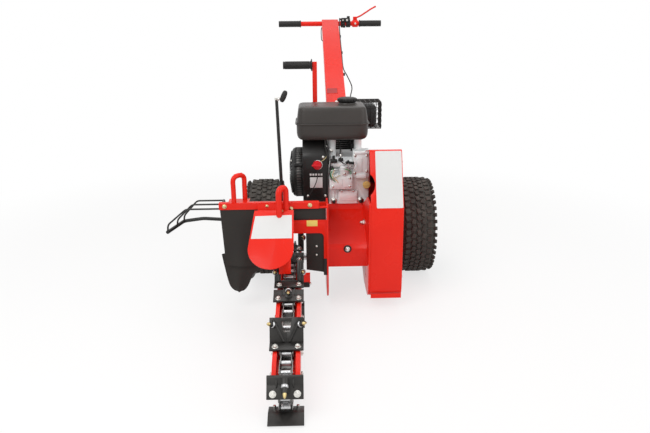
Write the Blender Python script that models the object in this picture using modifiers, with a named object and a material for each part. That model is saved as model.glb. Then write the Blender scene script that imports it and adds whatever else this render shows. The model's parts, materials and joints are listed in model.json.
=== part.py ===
"""A walk-behind chain trencher: two-wheeled frame, engine, belt drive, digging boom and handlebar.

The machine stands on its two tyres and on the scraper at the nose of its boom. X points to the
right of a viewer who faces the nose, Y from the nose to the handlebar, and Z up. All measures are
in metres. Positions are worked out from the middle of the wheel axle on the ground, and the whole
machine is then centred on its footprint. Left and right are the viewer's.
"""

from math import acos, atan2, cos, pi, radians, sin, tan

import bmesh
import bpy
from mathutils import Matrix, Vector

# Fits
GAP = 0.0003  # left between pieces that touch
RUN = 0.0006  # radial clearance of a turning piece

# Wheels and axle
TYRE_RADIUS = 0.203
TYRE_WIDTH = 0.146
TYRE_WALL = 0.012
BEAD_RADIUS = 0.104
BEAD_HALF_WIDTH = 0.058
RIM_WALL = 0.0035
RIM_FLANGE = 0.009
TYRE_CLEARANCE = 0.0244
HUB_RADIUS = 0.028
HUB_LENGTH = 0.100
AXLE_RADIUS = 0.0125
AXLE_NUT_RADIUS = 0.022
AXLE_NUT_WIDTH = 0.012
AXLE_TUBE_RADIUS = 0.021

# Welded frame
PLATE = 0.006
LEFT_PLATE_X = -0.066
RIGHT_PLATE_X = 0.094
FRAME_FRONT_Y = -0.406
FRAME_REAR_Y = 0.300
FRAME_FOOT_Z = 0.038
FRAME_NOSE_TOP_Z = 0.415
NOSE_RADIUS = 0.055
DECK_TOP_Z = 0.335
DECK_FRONT_Y = -0.125
DECK_LIP = 0.026
APRON_Y = -0.340
APRON_BEND_Z = 0.235
APRON_FOOT_Z = 0.148
APRON_SHEET = 0.004
POST_FRONT_Y = 0.236
POST_DEPTH = 0.045
POST_WIDTH = 0.056
PORTAL_Y = -0.400
PORTAL_LEFT_X = -0.300
PORTAL_TOP_Z = 0.355
PORTAL_BAR = 0.050
PORTAL_LEG = 0.014
PORTAL_FOOT_Z = 0.140
PORTAL_LEFT_FOOT_Z = 0.178
PORTAL_SHEET = 0.005

# Head shaft and chain drive
HEAD_Y = -0.288
HEAD_Z = 0.170
SHAFT_RADIUS = 0.0125
SHAFT_LEFT_X = -0.430
BEARING_RADIUS = 0.036
BEARING_WIDTH = 0.014
CHAIN_X = -0.201
CHAIN_PITCH = 0.0414
CHAIN_LINKS = 44
SPROCKET_TEETH = 8
SPROCKET_WIDTH = 0.014
TOOTH_CLEARANCE = 0.0006
TOOTH_HEIGHT = 0.008
ROLLER_RADIUS = 0.0075
LINK_HEIGHT = 0.022
LINK_WALL = 0.006
LINK_INNER_WIDTH = 0.024
TAIL_RADIUS = 0.040
TAIL_ROLLER_WIDTH = 0.017
TAIL_PIN_RADIUS = 0.0095
BOOM_WIDTH = 0.080
BOOM_RAIL = 0.013
BOOM_WALL = 0.005
BOOM_LUG_WIDTH = 0.032

# Cutters bolted to the chain
CUTTER_PLATE = 0.006
CUTTER_WIDTH = 0.100
CUTTER_LEAD = 0.024
CUTTER_HEEL = 0.016
CUTTER_TRAIL = 0.056
SIDE_CUTTER_RISE = 0.062
FORK_OPENING = 0.056
SCRAPER_RISE = 0.022
TOOTH_RADIUS = 0.010
TOOTH_TIP_RADIUS = 0.006
SIDE_TOOTH_X = 0.047
# Link number, counted from the nose along the lower run, and the cutter's kind
CUTTERS = (
    (0, "centre"),
    (2, "scraper"),
    (-4, "side"),
    (-10, "centre"),
    (-12, "fork"),
    (-16, "centre"),
    (-18, "fork"),
    (15, "side"),
)
NOSE_LINK_ANGLE = radians(134)

# Auger beside the chain
AUGER_RADIUS = 0.080
AUGER_RIGHT_X = -0.285
AUGER_PITCH = 0.090
AUGER_FLIGHT = 0.006
AUGER_HUB_RADIUS = 0.024

# Engine
CRANK_Z = 0.441
ENGINE_LEFT_X = -0.050
ENGINE_RIGHT_X = 0.112
ENGINE_FRONT_Y = -0.118
CYLINDER_TILT = radians(25)
CRANKCASE_TOP_Z = 0.520
FOOT_HEIGHT = 0.012
COVER_PLATE = 0.012
BLOWER_LEFT_X = -0.152
BLOWER_RIGHT_X = ENGINE_LEFT_X - GAP
BLOWER_TOP_Z = 0.596
FLYWHEEL_RADIUS = 0.085
RECOIL_RADIUS = 0.103
RECOIL_DEPTH = 0.052
HANDLE_RADIUS = 0.008
TANK_LEFT_X = -0.173
TANK_WIDTH = 0.280
TANK_FRONT_Y = -0.155
TANK_DEPTH = 0.195
TANK_FOOT_Z = 0.597
TANK_TOP_Z = 0.732
TANK_FLANGE_Z = 0.666
TANK_FLANGE = 0.005
CAP_RADIUS = 0.040
CAP_HEIGHT = 0.020
CAP_OFFSET = 0.063
CRANK_RADIUS = 0.0125

# Belt drive
BELT_X = 0.170
BELT_WIDTH = 0.016
BELT_DEPTH = 0.010
ENGINE_PULLEY_RADIUS = 0.045
SHAFT_PULLEY_RADIUS = 0.090
CLUTCH_RADIUS = 0.050
GUARD_SHEET = 0.0025
GUARD_RIGHT_X = 0.2136
TRACK = 2 * (GUARD_RIGHT_X + TYRE_CLEARANCE + TYRE_WIDTH / 2)
GUARD_TOP_Z = 0.594
GUARD_REAR_TOP_Z = 0.502
GUARD_FOOT_Z = 0.043
GUARD_TOP_FRONT_Y = -0.314
GUARD_KINK_Z = 0.396
GUARD_REAR_Y = 0.085
RECESS_X = 0.068
RECESS_Z = 0.476
RECESS_RADIUS = 0.0435

# Covers and guards
BAR_LEFT_X = -0.452
BAR_RIGHT_X = -0.094
BAR_TOP_Z = 0.424
BAR_HEIGHT = 0.024
BAR_DEPTH = 0.022
BAR_SHEET = 0.004
FLAP_SHEET = 0.005
FLAP_CLEARANCE = 0.002
COVER_SHEET = 0.004
COVER_TOP_Y = -0.425
COVER_TOP_Z = 0.400
COVER_SLOPE = radians(40)
COVER_LENGTH = 0.235
COVER_RIGHT_X = -0.184
COVER_TOP_WIDTH = 0.139
COVER_FOOT_WIDTH = 0.157
WIRE_RADIUS = 0.003

# Handle mast and its controls
MAST_WIDTH = 0.088
MAST_HEIGHT = 0.050
MAST_WALL = 0.003
MAST_FOOT_Y = 0.225
MAST_FOOT_TOP_Z = 0.688
MAST_TILT = radians(24.8)
MAST_LENGTH = 0.868
BAR_RADIUS = 0.0127
BAR_HALF_WIDTH = 0.2775
GRIP_RADIUS = 0.0165
GRIP_LENGTH = 0.120
CLAMP_RADIUS = 0.019
CLAMP_WIDTH = 0.030
SWITCH_WIDTH = 0.054
LIFT_LEVER_X = -0.096
LIFT_LEVER_Y = 0.200
LIFT_LEVER_Z = 0.300
LIFT_LEVER_TOP_Z = 0.877
LIFT_LEVER_BAR = 0.020
LIFT_GRIP_Z = 0.863
LIFT_GRIP_LENGTH = 0.118
LOCK_LEVER_Y = -0.222
LOCK_LEVER_Z = 0.362
LOCK_LEVER_X = -0.232
LOCK_LEVER_TOP_X = -0.243
LOCK_LEVER_TOP_Z = 0.770
LEVER_PIN_RADIUS = 0.005
LIFT_PIN_RADIUS = 0.008
STUD_RADIUS = 0.005
CABLE_RADIUS = 0.0025

# Colours with roughness and metallic value
RED = ((0.80, 0.035, 0.025), 0.35, 0.0)
BLACK_PAINT = ((0.02, 0.02, 0.02), 0.40, 0.0)
BLACK_PLASTIC = ((0.03, 0.03, 0.032), 0.55, 0.0)
RUBBER = ((0.025, 0.025, 0.025), 0.85, 0.0)
ALUMINIUM = ((0.70, 0.70, 0.69), 0.45, 1.0)
STEEL = ((0.55, 0.55, 0.56), 0.35, 1.0)
CUTTER_STEEL = ((0.06, 0.06, 0.06), 0.50, 0.6)
YELLOW = ((0.85, 0.62, 0.12), 0.50, 0.0)
SWITCH_RED = ((0.85, 0.05, 0.04), 0.40, 0.0)

# Turns a shape that was drawn in its own XY plane so that its Z lies along the named axis
TO_AXIS = {
    "X": Matrix(((0, 0, 1, 0), (1, 0, 0, 0), (0, 1, 0, 0), (0, 0, 0, 1))),
    "Y": Matrix(((1, 0, 0, 0), (0, 0, -1, 0), (0, 1, 0, 0), (0, 0, 0, 1))),
    "Z": Matrix.Identity(4),
}


def clear_scene():
    for obj in list(bpy.data.objects):
        bpy.data.objects.remove(obj, do_unlink=True)


def new_collection(name, helper=False):
    collection = bpy.data.collections.new(name)
    bpy.context.scene.collection.children.link(collection)
    collection.hide_render = helper
    return collection


def empty(name, parent, location, rotation=(0, 0, 0)):
    """An axis or a frame that pieces are placed in."""
    marker = bpy.data.objects.new(name, None)
    marker.empty_display_size = 0.05
    marker.location = location
    marker.rotation_euler = rotation
    marker.parent = parent
    PARTS.objects.link(marker)
    return marker


def add_mesh(name, parent, mesh, location=(0, 0, 0)):
    obj = bpy.data.objects.new(name, mesh)
    obj.location = location
    obj.parent = parent
    PARTS.objects.link(obj)
    return obj


def finish(obj, look):
    """Gives a piece its own material and smooth shading on its round faces."""
    colour, roughness, metallic = look
    material = bpy.data.materials.new(obj.name)
    material.use_nodes = True
    shader = material.node_tree.nodes["Principled BSDF"]
    shader.inputs["Base Color"].default_value = (*colour, 1.0)
    shader.inputs["Roughness"].default_value = roughness
    shader.inputs["Metallic"].default_value = metallic
    obj.data.materials.append(material)
    obj.data.shade_smooth()
    obj.data.set_sharp_from_angle(angle=radians(35))
    return obj


def box(name, parent, low, high):
    """A box between two opposite corners."""
    low, high = Vector(low), Vector(high)
    mesh = bpy.data.meshes.new(name)
    form = bmesh.new()
    bmesh.ops.create_cube(form, size=1.0)
    bmesh.ops.scale(form, vec=high - low, verts=form.verts)
    form.to_mesh(mesh)
    form.free()
    return add_mesh(name, parent, mesh, (low + high) / 2)


def rod(name, parent, axis, centre, radius, length, sides=16, end_radius=None):
    """A cylinder along an axis or, with an end radius, a cone."""
    mesh = bpy.data.meshes.new(name)
    form = bmesh.new()
    bmesh.ops.create_cone(
        form,
        cap_ends=True,
        segments=sides,
        radius1=radius,
        radius2=radius if end_radius is None else end_radius,
        depth=length,
    )
    form.to_mesh(mesh)
    form.free()
    mesh.transform(TO_AXIS[axis])
    return add_mesh(name, parent, mesh, centre)


def rod_between(name, parent, start, end, radius, sides=12, end_radius=None):
    """A straight rod, or a cone, from one point to another."""
    start, end = Vector(start), Vector(end)
    obj = rod(name, parent, "Z", (start + end) / 2, radius, (end - start).length, sides, end_radius)
    obj.rotation_euler = (end - start).to_track_quat("Z", "Y").to_euler()
    return obj


def turned(name, parent, axis, centre, profile, steps, ring=False):
    """A profile of (radius, height) points turned round an axis; a ring's profile closes on itself.

    The points run down the outer side, from the top of the axis to its foot.
    """
    mesh = bpy.data.meshes.new(name)
    points = [(radius, 0.0, height) for radius, height in profile]
    edges = [(i, i + 1) for i in range(len(points) - 1)]
    if ring:
        edges.append((len(points) - 1, 0))
    mesh.from_pydata(points, edges, [])
    obj = add_mesh(name, parent, mesh, centre)
    screw = obj.modifiers.new("turn", "SCREW")
    screw.axis = "Z"
    screw.steps = steps
    screw.render_steps = steps
    screw.use_merge_vertices = True
    screw.merge_threshold = 0.00001
    return bake(obj, TO_AXIS[axis])


def bake(obj, turn=None):
    """Replaces an object by the mesh that its modifiers or its curve give, with the seams welded."""
    bpy.context.view_layer.update()
    seen = obj.evaluated_get(bpy.context.evaluated_depsgraph_get())
    mesh = bpy.data.meshes.new_from_object(seen)
    form = bmesh.new()
    form.from_mesh(mesh)
    bmesh.ops.remove_doubles(form, verts=form.verts, dist=0.00001)
    bmesh.ops.dissolve_degenerate(form, edges=form.edges, dist=0.00001)
    form.to_mesh(mesh)
    form.free()
    if turn is not None:
        mesh.transform(turn)
    name, parent, matrix = obj.name, obj.parent, obj.matrix_basis.copy()
    bpy.data.objects.remove(obj, do_unlink=True)
    mesh.name = name
    solid = add_mesh(name, parent, mesh)
    solid.matrix_basis = matrix
    return solid


def slab(name, parent, axis, outline, low, high, holes=()):
    """A flat outline, with any holes, extruded along an axis from low to high."""
    curve = bpy.data.curves.new(name, "CURVE")
    curve.dimensions = "2D"
    curve.fill_mode = "BOTH"
    curve.extrude = (high - low) / 2
    for points in (outline, *holes):
        spline = curve.splines.new("POLY")
        spline.points.add(len(points) - 1)
        spline.use_cyclic_u = True
        for point, (across, up) in zip(spline.points, points):
            point.co = (across, up, 0.0, 1.0)
    obj = bpy.data.objects.new(name, curve)
    obj.parent = parent
    PARTS.objects.link(obj)
    middle = {"X": (1, 0, 0), "Y": (0, 1, 0), "Z": (0, 0, 1)}[axis]
    obj.location = Vector(middle) * (low + high) / 2
    return bake(obj, TO_AXIS[axis])


def tube(name, parent, points, radius, smooth=2):
    """A round bar bent through a list of points."""
    curve = bpy.data.curves.new(name, "CURVE")
    curve.dimensions = "3D"
    curve.bevel_depth = radius
    curve.bevel_resolution = smooth
    curve.use_fill_caps = True
    spline = curve.splines.new("POLY")
    spline.points.add(len(points) - 1)
    for point, place in zip(spline.points, points):
        point.co = (*place, 1.0)
    obj = bpy.data.objects.new(name, curve)
    obj.parent = parent
    PARTS.objects.link(obj)
    return bake(obj)


def helper(obj):
    """Moves a tool of a Boolean to the hidden collection."""
    PARTS.objects.unlink(obj)
    TOOLS.objects.link(obj)
    obj.display_type = "WIRE"
    obj.hide_render = True


def combine(target, tools, operation):
    for tool in tools:
        step = target.modifiers.new(tool.name, "BOOLEAN")
        step.operation = operation
        step.solver = "EXACT"
        step.object = tool
        helper(tool)
    return target


def join(target, *tools):
    return combine(target, tools, "UNION")


def cut(target, *tools):
    return combine(target, tools, "DIFFERENCE")


def round_edges(obj, width, segments=1, limit=radians(40)):
    bevel = obj.modifiers.new("edges", "BEVEL")
    bevel.width = width
    bevel.segments = segments
    bevel.limit_method = "ANGLE"
    bevel.angle_limit = limit
    return obj


def arc(centre, radius, start, end, steps):
    """Points on a circle from one angle to another, both ends included."""
    turn = (end - start) / steps
    return [
        (centre[0] + radius * cos(start + turn * i), centre[1] + radius * sin(start + turn * i))
        for i in range(steps + 1)
    ]


def rounded(corners, steps=3):
    """An outline of (across, up, radius) corners with each radius drawn as an arc."""
    outline = []
    for i, (across, up, radius) in enumerate(corners):
        here = Vector((across, up))
        if radius == 0:
            outline.append(tuple(here))
            continue
        back = (Vector(corners[i - 1][:2]) - here).normalized()
        on = (Vector(corners[(i + 1) % len(corners)][:2]) - here).normalized()
        half = acos(max(-1.0, min(1.0, back.dot(on)))) / 2
        centre = here + (back + on).normalized() * radius / sin(half)
        first = here + back * radius / tan(half) - centre
        last = here + on * radius / tan(half) - centre
        start = atan2(first.y, first.x)
        sweep = (atan2(last.y, last.x) - start + pi) % (2 * pi) - pi
        outline += arc(centre, radius, start, start + sweep, steps)
    return outline


def inset(outline, distance):
    """A closed anticlockwise outline moved inwards by a distance."""
    moved = []
    for i, point in enumerate(outline):
        before, here = Vector(outline[i - 1]), Vector(point)
        after = Vector(outline[(i + 1) % len(outline)])
        one = (here - before).normalized().orthogonal()
        two = (after - here).normalized().orthogonal()
        middle = (one + two).normalized()
        moved.append(tuple(here + middle * distance / middle.dot(one)))
    return moved


def belt_loop(one, one_radius, two, two_radius, steps):
    """The outline of a belt that is drawn tight round two circles, anticlockwise."""
    along = Vector(two) - Vector(one)
    lean = acos((one_radius - two_radius) / along.length)
    way = atan2(along.y, along.x)
    first = arc(two, two_radius, way - lean, way + lean, steps)
    return first + arc(one, one_radius, way + lean, way - lean + 2 * pi, steps)


def mast_top_z(y):
    """Height of the mast's upper face."""
    return MAST_FOOT_TOP_Z + (y - MAST_FOOT_Y) * tan(MAST_TILT)


def sprocket_radius():
    return CHAIN_PITCH / (2 * sin(pi / SPROCKET_TEETH))


def head_arc():
    """Chain length per radian round the sprocket, which is less than its pitch radius."""
    return CHAIN_PITCH * SPROCKET_TEETH / (2 * pi)


def boom_length():
    """Distance between the head shaft and the tail axle that a whole chain needs."""
    head, tail = sprocket_radius(), TAIL_RADIUS
    length = (CHAIN_LINKS * CHAIN_PITCH - pi * (head + tail)) / 2
    for _ in range(20):
        lean = acos((head - tail) / length)
        around = 2 * head_arc() * (pi - lean) + 2 * tail * lean + 2 * length * sin(lean)
        length += (CHAIN_LINKS * CHAIN_PITCH - around) / 2
    return length


class ChainPath:
    """The chain's pitch line in the boom's own plane: head at the origin, tail towards -Y."""

    def __init__(self):
        self.head = sprocket_radius()
        self.tail_y = -boom_length()
        self.lean = acos((self.head - TAIL_RADIUS) / -self.tail_y)
        self.run = -self.tail_y * sin(self.lean)
        self.nose_arc = 2 * TAIL_RADIUS * self.lean

    def at(self, distance):
        """Point and outward angle at a distance along the chain, from the upper run's head end."""
        total = CHAIN_LINKS * CHAIN_PITCH
        distance %= total
        top = pi - self.lean
        if distance < self.run:
            place = Vector((cos(top), sin(top))) * self.head
            return place + Vector((-sin(top), cos(top))) * distance, top
        distance -= self.run
        if distance < self.nose_arc:
            angle = top + distance / TAIL_RADIUS
            return Vector((self.tail_y, 0)) + Vector((cos(angle), sin(angle))) * TAIL_RADIUS, angle
        distance -= self.nose_arc
        foot = pi + self.lean
        if distance < self.run:
            start = Vector((self.tail_y, 0)) + Vector((cos(foot), sin(foot))) * TAIL_RADIUS
            return start + Vector((-sin(foot), cos(foot))) * distance, foot
        angle = foot + (distance - self.run) / head_arc()
        return Vector((cos(angle), sin(angle))) * self.head, angle

    def nose_link(self):
        """Distance along the chain to the middle of the link that lies round the nose."""
        return self.run + (NOSE_LINK_ANGLE - (pi - self.lean)) * TAIL_RADIUS

    def head_pin(self):
        """The pin nearest to the middle of the chain's arc round the sprocket."""
        middle = 2 * self.run + self.nose_arc + head_arc() * (pi - self.lean)
        return round((middle - self.nose_link()) / CHAIN_PITCH - 0.5)

    def pin(self, number):
        return self.at(self.nose_link() + (number + 0.5) * CHAIN_PITCH)

    def link(self, number):
        """Middle and outward angle of a link, counted from the one at the nose."""
        first, _ = self.pin(number - 1)
        second, _ = self.pin(number)
        chord = second - first
        return (first + second) / 2, atan2(chord.y, chord.x) - pi / 2


def wheel_parts(side, x):
    """A rim on its hub with the tyre that is seated on it."""
    axis = empty(f"{side}_wheel_axis", MACHINE, (x, 0, TYRE_RADIUS))
    half = TYRE_WIDTH / 2
    rim_half = BEAD_HALF_WIDTH + RIM_WALL
    seat = BEAD_RADIUS - 2 * RUN
    outer = seat + RIM_FLANGE
    web = HUB_LENGTH / 2
    rim_profile = [
        (outer, rim_half),
        (outer, rim_half - RIM_WALL + GAP),
        (seat, rim_half - RIM_WALL),
        (seat, -rim_half + RIM_WALL),
        (outer, -rim_half + RIM_WALL - GAP),
        (outer, -rim_half),
        (seat - RIM_WALL, -rim_half),
        (seat - RIM_WALL, -RIM_WALL),
        (HUB_RADIUS, -RIM_WALL),
        (HUB_RADIUS, -web),
        (AXLE_RADIUS + RUN, -web),
        (AXLE_RADIUS + RUN, web),
        (HUB_RADIUS, web),
        (HUB_RADIUS, RIM_WALL),
        (seat - RIM_WALL, RIM_WALL),
        (seat - RIM_WALL, rim_half),
    ]
    rim = turned(f"{side}_rim", axis, "X", (0, 0, 0), rim_profile, 20, ring=True)
    finish(rim, BLACK_PAINT)
    bead = BEAD_HALF_WIDTH - RIM_WALL
    skin = [
        (BEAD_RADIUS, bead),
        (BEAD_RADIUS + RIM_FLANGE, bead + 0.002),
        (0.128, half - 0.006),
        (0.152, half),
        (0.180, half - 0.005),
        (TYRE_RADIUS - 0.008, half - 0.018),
        (TYRE_RADIUS, 0.034),
    ]
    inner = [(radius - TYRE_WALL * 0.6, place - TYRE_WALL * 0.8) for radius, place in skin[2:]]
    inner.insert(0, (BEAD_RADIUS, bead - TYRE_WALL))
    down = skin + [(radius, -place) for radius, place in reversed(skin)]
    up = [(radius, -place) for radius, place in inner] + list(reversed(inner))
    tyre = turned(f"{side}_tyre", axis, "X", (0, 0, 0), down + up, 28, ring=True)
    finish(tyre, RUBBER)


def axle():
    end = TRACK / 2 + HUB_LENGTH / 2 + GAP
    profile = [
        (0, end + AXLE_NUT_WIDTH),
        (AXLE_NUT_RADIUS, end + AXLE_NUT_WIDTH),
        (AXLE_NUT_RADIUS, end),
        (AXLE_RADIUS, end),
        (AXLE_RADIUS, -end),
        (AXLE_NUT_RADIUS, -end),
        (AXLE_NUT_RADIUS, -end - AXLE_NUT_WIDTH),
        (0, -end - AXLE_NUT_WIDTH),
    ]
    finish(turned("axle", MACHINE, "X", (0, 0, TYRE_RADIUS), profile, 16), STEEL)


def side_plate_outline():
    """Side view of a frame plate: upright nose, rounded foot, and a tail under the deck."""
    under_deck = DECK_TOP_Z - PLATE / 2
    return rounded(
        [
            (FRAME_FRONT_Y, FRAME_NOSE_TOP_Z, 0.015),
            (FRAME_FRONT_Y, FRAME_FOOT_Z, NOSE_RADIUS),
            (HEAD_Y + 0.060, FRAME_FOOT_Z, 0.060),
            (0.055, 0.150, 0.030),
            (FRAME_REAR_Y, 0.280, 0.020),
            (FRAME_REAR_Y, under_deck, 0),
            (DECK_FRONT_Y, under_deck, 0),
            (FRAME_FRONT_Y + 0.090, FRAME_NOSE_TOP_Z, 0.030),
        ],
        steps=4,
    )


def main_frame():
    """Side plates, deck, apron, portal for the chain, mast post and the tube that holds the axle."""
    outline = side_plate_outline()
    hole = arc((HEAD_Y, HEAD_Z), SHAFT_RADIUS + 0.004, 0, 2 * pi, 16)[:-1]
    left = slab(
        "main_frame", MACHINE, "X", outline, LEFT_PLATE_X, LEFT_PLATE_X + PLATE, [hole]
    )
    right = slab(
        "right_plate", MACHINE, "X", outline, RIGHT_PLATE_X - PLATE, RIGHT_PLATE_X, [hole]
    )
    inner_left, inner_right = LEFT_PLATE_X + PLATE / 2, RIGHT_PLATE_X - PLATE / 2
    deck = box(
        "deck",
        MACHINE,
        (LEFT_PLATE_X, DECK_FRONT_Y, DECK_TOP_Z - PLATE),
        (RIGHT_PLATE_X, FRAME_REAR_Y, DECK_TOP_Z),
    )
    lip = box(
        "lip",
        MACHINE,
        (LEFT_PLATE_X, DECK_FRONT_Y, DECK_TOP_Z - DECK_LIP),
        (RIGHT_PLATE_X, DECK_FRONT_Y + PLATE, DECK_TOP_Z - PLATE / 2),
    )
    lip_foot = DECK_TOP_Z - DECK_LIP
    apron_line = [
        (DECK_FRONT_Y + PLATE / 2, lip_foot + 0.004),
        (APRON_Y + 0.012, APRON_BEND_Z),
        (APRON_Y, APRON_BEND_Z - 0.015),
        (APRON_Y, APRON_FOOT_Z),
        (APRON_Y + APRON_SHEET, APRON_FOOT_Z),
        (APRON_Y + APRON_SHEET, APRON_BEND_Z - 0.017),
        (APRON_Y + 0.014, APRON_BEND_Z - APRON_SHEET),
        (DECK_FRONT_Y + PLATE / 2, lip_foot),
    ]
    apron = slab("apron", MACHINE, "X", apron_line, inner_left, inner_right)
    sleeve_half = TRACK / 2 - HUB_LENGTH / 2 - GAP
    sleeve = rod(
        "sleeve", MACHINE, "X", (0, 0, TYRE_RADIUS), AXLE_TUBE_RADIUS, 2 * sleeve_half, 16
    )
    bore = rod(
        "axle_bore", MACHINE, "X", (0, 0, TYRE_RADIUS), AXLE_RADIUS + RUN, 2 * sleeve_half + 0.02, 16
    )
    join(left, right, deck, lip, apron, sleeve, mast_post(), *portal(), *lever_mounts())
    cut(left, bore)
    finish(left, RED)


def mast_post():
    """Upright that carries the mast, cut to the mast's slope at its top."""
    rear = POST_FRONT_Y + POST_DEPTH
    drop = MAST_HEIGHT / cos(MAST_TILT) + GAP
    outline = [
        (POST_FRONT_Y, DECK_TOP_Z - PLATE / 2),
        (rear, DECK_TOP_Z - PLATE / 2),
        (rear, mast_top_z(rear) - drop),
        (POST_FRONT_Y, mast_top_z(POST_FRONT_Y) - drop),
    ]
    return slab("mast_post", MACHINE, "X", outline, -POST_WIDTH / 2, POST_WIDTH / 2)


def portal():
    """The upright plate that the chain runs through, and what ties it to the cross bar."""
    right = LEFT_PLATE_X + PLATE / 2
    leg_right, leg_left = right - PORTAL_LEG, PORTAL_LEFT_X + PORTAL_LEG
    bar_foot = PORTAL_TOP_Z - PORTAL_BAR
    outline = rounded(
        [
            (PORTAL_LEFT_X, PORTAL_TOP_Z, 0),
            (PORTAL_LEFT_X, PORTAL_LEFT_FOOT_Z, 0),
            (leg_left, PORTAL_LEFT_FOOT_Z, 0),
            (leg_left, bar_foot, 0.015),
            (leg_right, bar_foot, 0.015),
            (leg_right, PORTAL_FOOT_Z, 0),
            (right, PORTAL_FOOT_Z, 0),
            (right, PORTAL_TOP_Z, 0),
        ]
    )
    rear = PORTAL_Y + PORTAL_SHEET
    plate = slab("portal", MACHINE, "Y", outline, PORTAL_Y, rear)
    strap = box(
        "strap",
        MACHINE,
        (PORTAL_LEFT_X, PORTAL_Y, PORTAL_TOP_Z - 0.02),
        (PORTAL_LEFT_X + 0.045, rear, BAR_TOP_Z - BAR_SHEET - GAP),
    )
    tab = box(
        "tab",
        MACHINE,
        (BAR_RIGHT_X - 0.040, PORTAL_Y, BAR_TOP_Z - BAR_HEIGHT),
        (right, rear, FRAME_NOSE_TOP_Z - 0.008),
    )
    return plate, strap, tab


def lever_mounts():
    """The arms and pins that the boom lift lever and the lock lever turn on."""
    lift_end = LIFT_LEVER_X - LIFT_LEVER_BAR / 2 - 0.006
    lift_pin = rod_between(
        "lift_pin",
        MACHINE,
        (LEFT_PLATE_X + PLATE / 2, LIFT_LEVER_Y, LIFT_LEVER_Z),
        (lift_end, LIFT_LEVER_Y, LIFT_LEVER_Z),
        LIFT_PIN_RADIUS,
    )
    lift_ear = box(
        "lift_ear",
        MACHINE,
        (LEFT_PLATE_X + 0.001, LIFT_LEVER_Y - 0.022, LIFT_LEVER_Z - 0.022),
        (LEFT_PLATE_X + PLATE - 0.001, LIFT_LEVER_Y + 0.022, DECK_TOP_Z - PLATE / 2),
    )
    arm_end = LOCK_LEVER_X + 0.012
    lock_arm = box(
        "lock_arm",
        MACHINE,
        (arm_end, LOCK_LEVER_Y - 0.009, LOCK_LEVER_Z - 0.009),
        (LEFT_PLATE_X + PLATE / 2, LOCK_LEVER_Y + 0.009, LOCK_LEVER_Z + 0.009),
    )
    lock_foot = box(
        "lock_foot",
        MACHINE,
        (LEFT_PLATE_X - 0.012, LOCK_LEVER_Y - 0.009, 0.300),
        (LEFT_PLATE_X + PLATE / 2, LOCK_LEVER_Y + 0.009, LOCK_LEVER_Z + 0.009),
    )
    lock_pin = rod_between(
        "lock_pin",
        MACHINE,
        (arm_end + 0.004, LOCK_LEVER_Y, LOCK_LEVER_Z),
        (LOCK_LEVER_X - 0.014, LOCK_LEVER_Y, LOCK_LEVER_Z),
        LEVER_PIN_RADIUS,
    )
    return lift_ear, lift_pin, lock_foot, lock_arm, lock_pin


def head_shaft_parts():
    """Head shaft with its sprocket, auger and driven pulley, and the bearings on the frame."""
    right_end = BELT_X + BELT_WIDTH / 2 + 0.010
    length = right_end - SHAFT_LEFT_X
    middle = (right_end + SHAFT_LEFT_X) / 2
    shaft = rod("head_shaft", BOOM_PIVOT, "X", (middle, 0, 0), SHAFT_RADIUS, length, 16)
    finish(shaft, STEEL)
    head = (HEAD_Y, HEAD_Z)
    for name, start in (
        ("left_bearing", LEFT_PLATE_X - GAP - BEARING_WIDTH),
        ("right_bearing", RIGHT_PLATE_X - PLATE - GAP - BEARING_WIDTH),
    ):
        ring = [
            (BEARING_RADIUS, BEARING_WIDTH / 2),
            (BEARING_RADIUS, -BEARING_WIDTH / 2),
            (SHAFT_RADIUS + RUN, -BEARING_WIDTH / 2),
            (SHAFT_RADIUS + RUN, BEARING_WIDTH / 2),
        ]
        centre = (start + BEARING_WIDTH / 2, *head)
        finish(turned(name, MACHINE, "X", centre, ring, 16, ring=True), STEEL)
    sprocket()
    auger()
    pulley = pulley_profile(SHAFT_PULLEY_RADIUS, SHAFT_RADIUS + GAP, BELT_WIDTH + 0.012)
    finish(
        turned("driven_pulley", BOOM_PIVOT, "X", (BELT_X, 0, 0), pulley, 24, ring=True), BLACK_PAINT
    )


def pulley_profile(radius, bore, width):
    """A flat-bottomed belt groove between two flanges, on a bore."""
    half, groove = width / 2, BELT_WIDTH / 2 + 2 * GAP
    bottom = radius - BELT_DEPTH - GAP
    return [
        (radius, half),
        (radius, groove),
        (bottom, groove),
        (bottom, -groove),
        (radius, -groove),
        (radius, -half),
        (bore, -half),
        (bore, half),
    ]


def sprocket():
    """Toothed wheel that turns just inside the chain's rollers, with its gaps in line with them."""
    path = ChainPath()
    place, _ = path.pin(path.head_pin())
    phase = atan2(place.y, place.x)
    tip = sprocket_radius() - ROLLER_RADIUS - TOOTH_CLEARANCE
    root = tip - TOOTH_HEIGHT
    outline = []
    step = 2 * pi / SPROCKET_TEETH
    for tooth in range(SPROCKET_TEETH):
        for share, radius in ((-0.18, root), (0, root), (0.18, root), (0.36, tip), (0.5, tip), (0.64, tip)):
            way = phase + (tooth + share) * step
            outline.append((radius * cos(way), radius * sin(way)))
    bore = arc((0, 0), SHAFT_RADIUS + GAP, 0, 2 * pi, 16)[:-1]
    low = CHAIN_X - SPROCKET_WIDTH / 2
    wheel = slab("sprocket", BOOM_PIVOT, "X", outline, low, low + SPROCKET_WIDTH, [bore])
    finish(wheel, STEEL)


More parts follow.
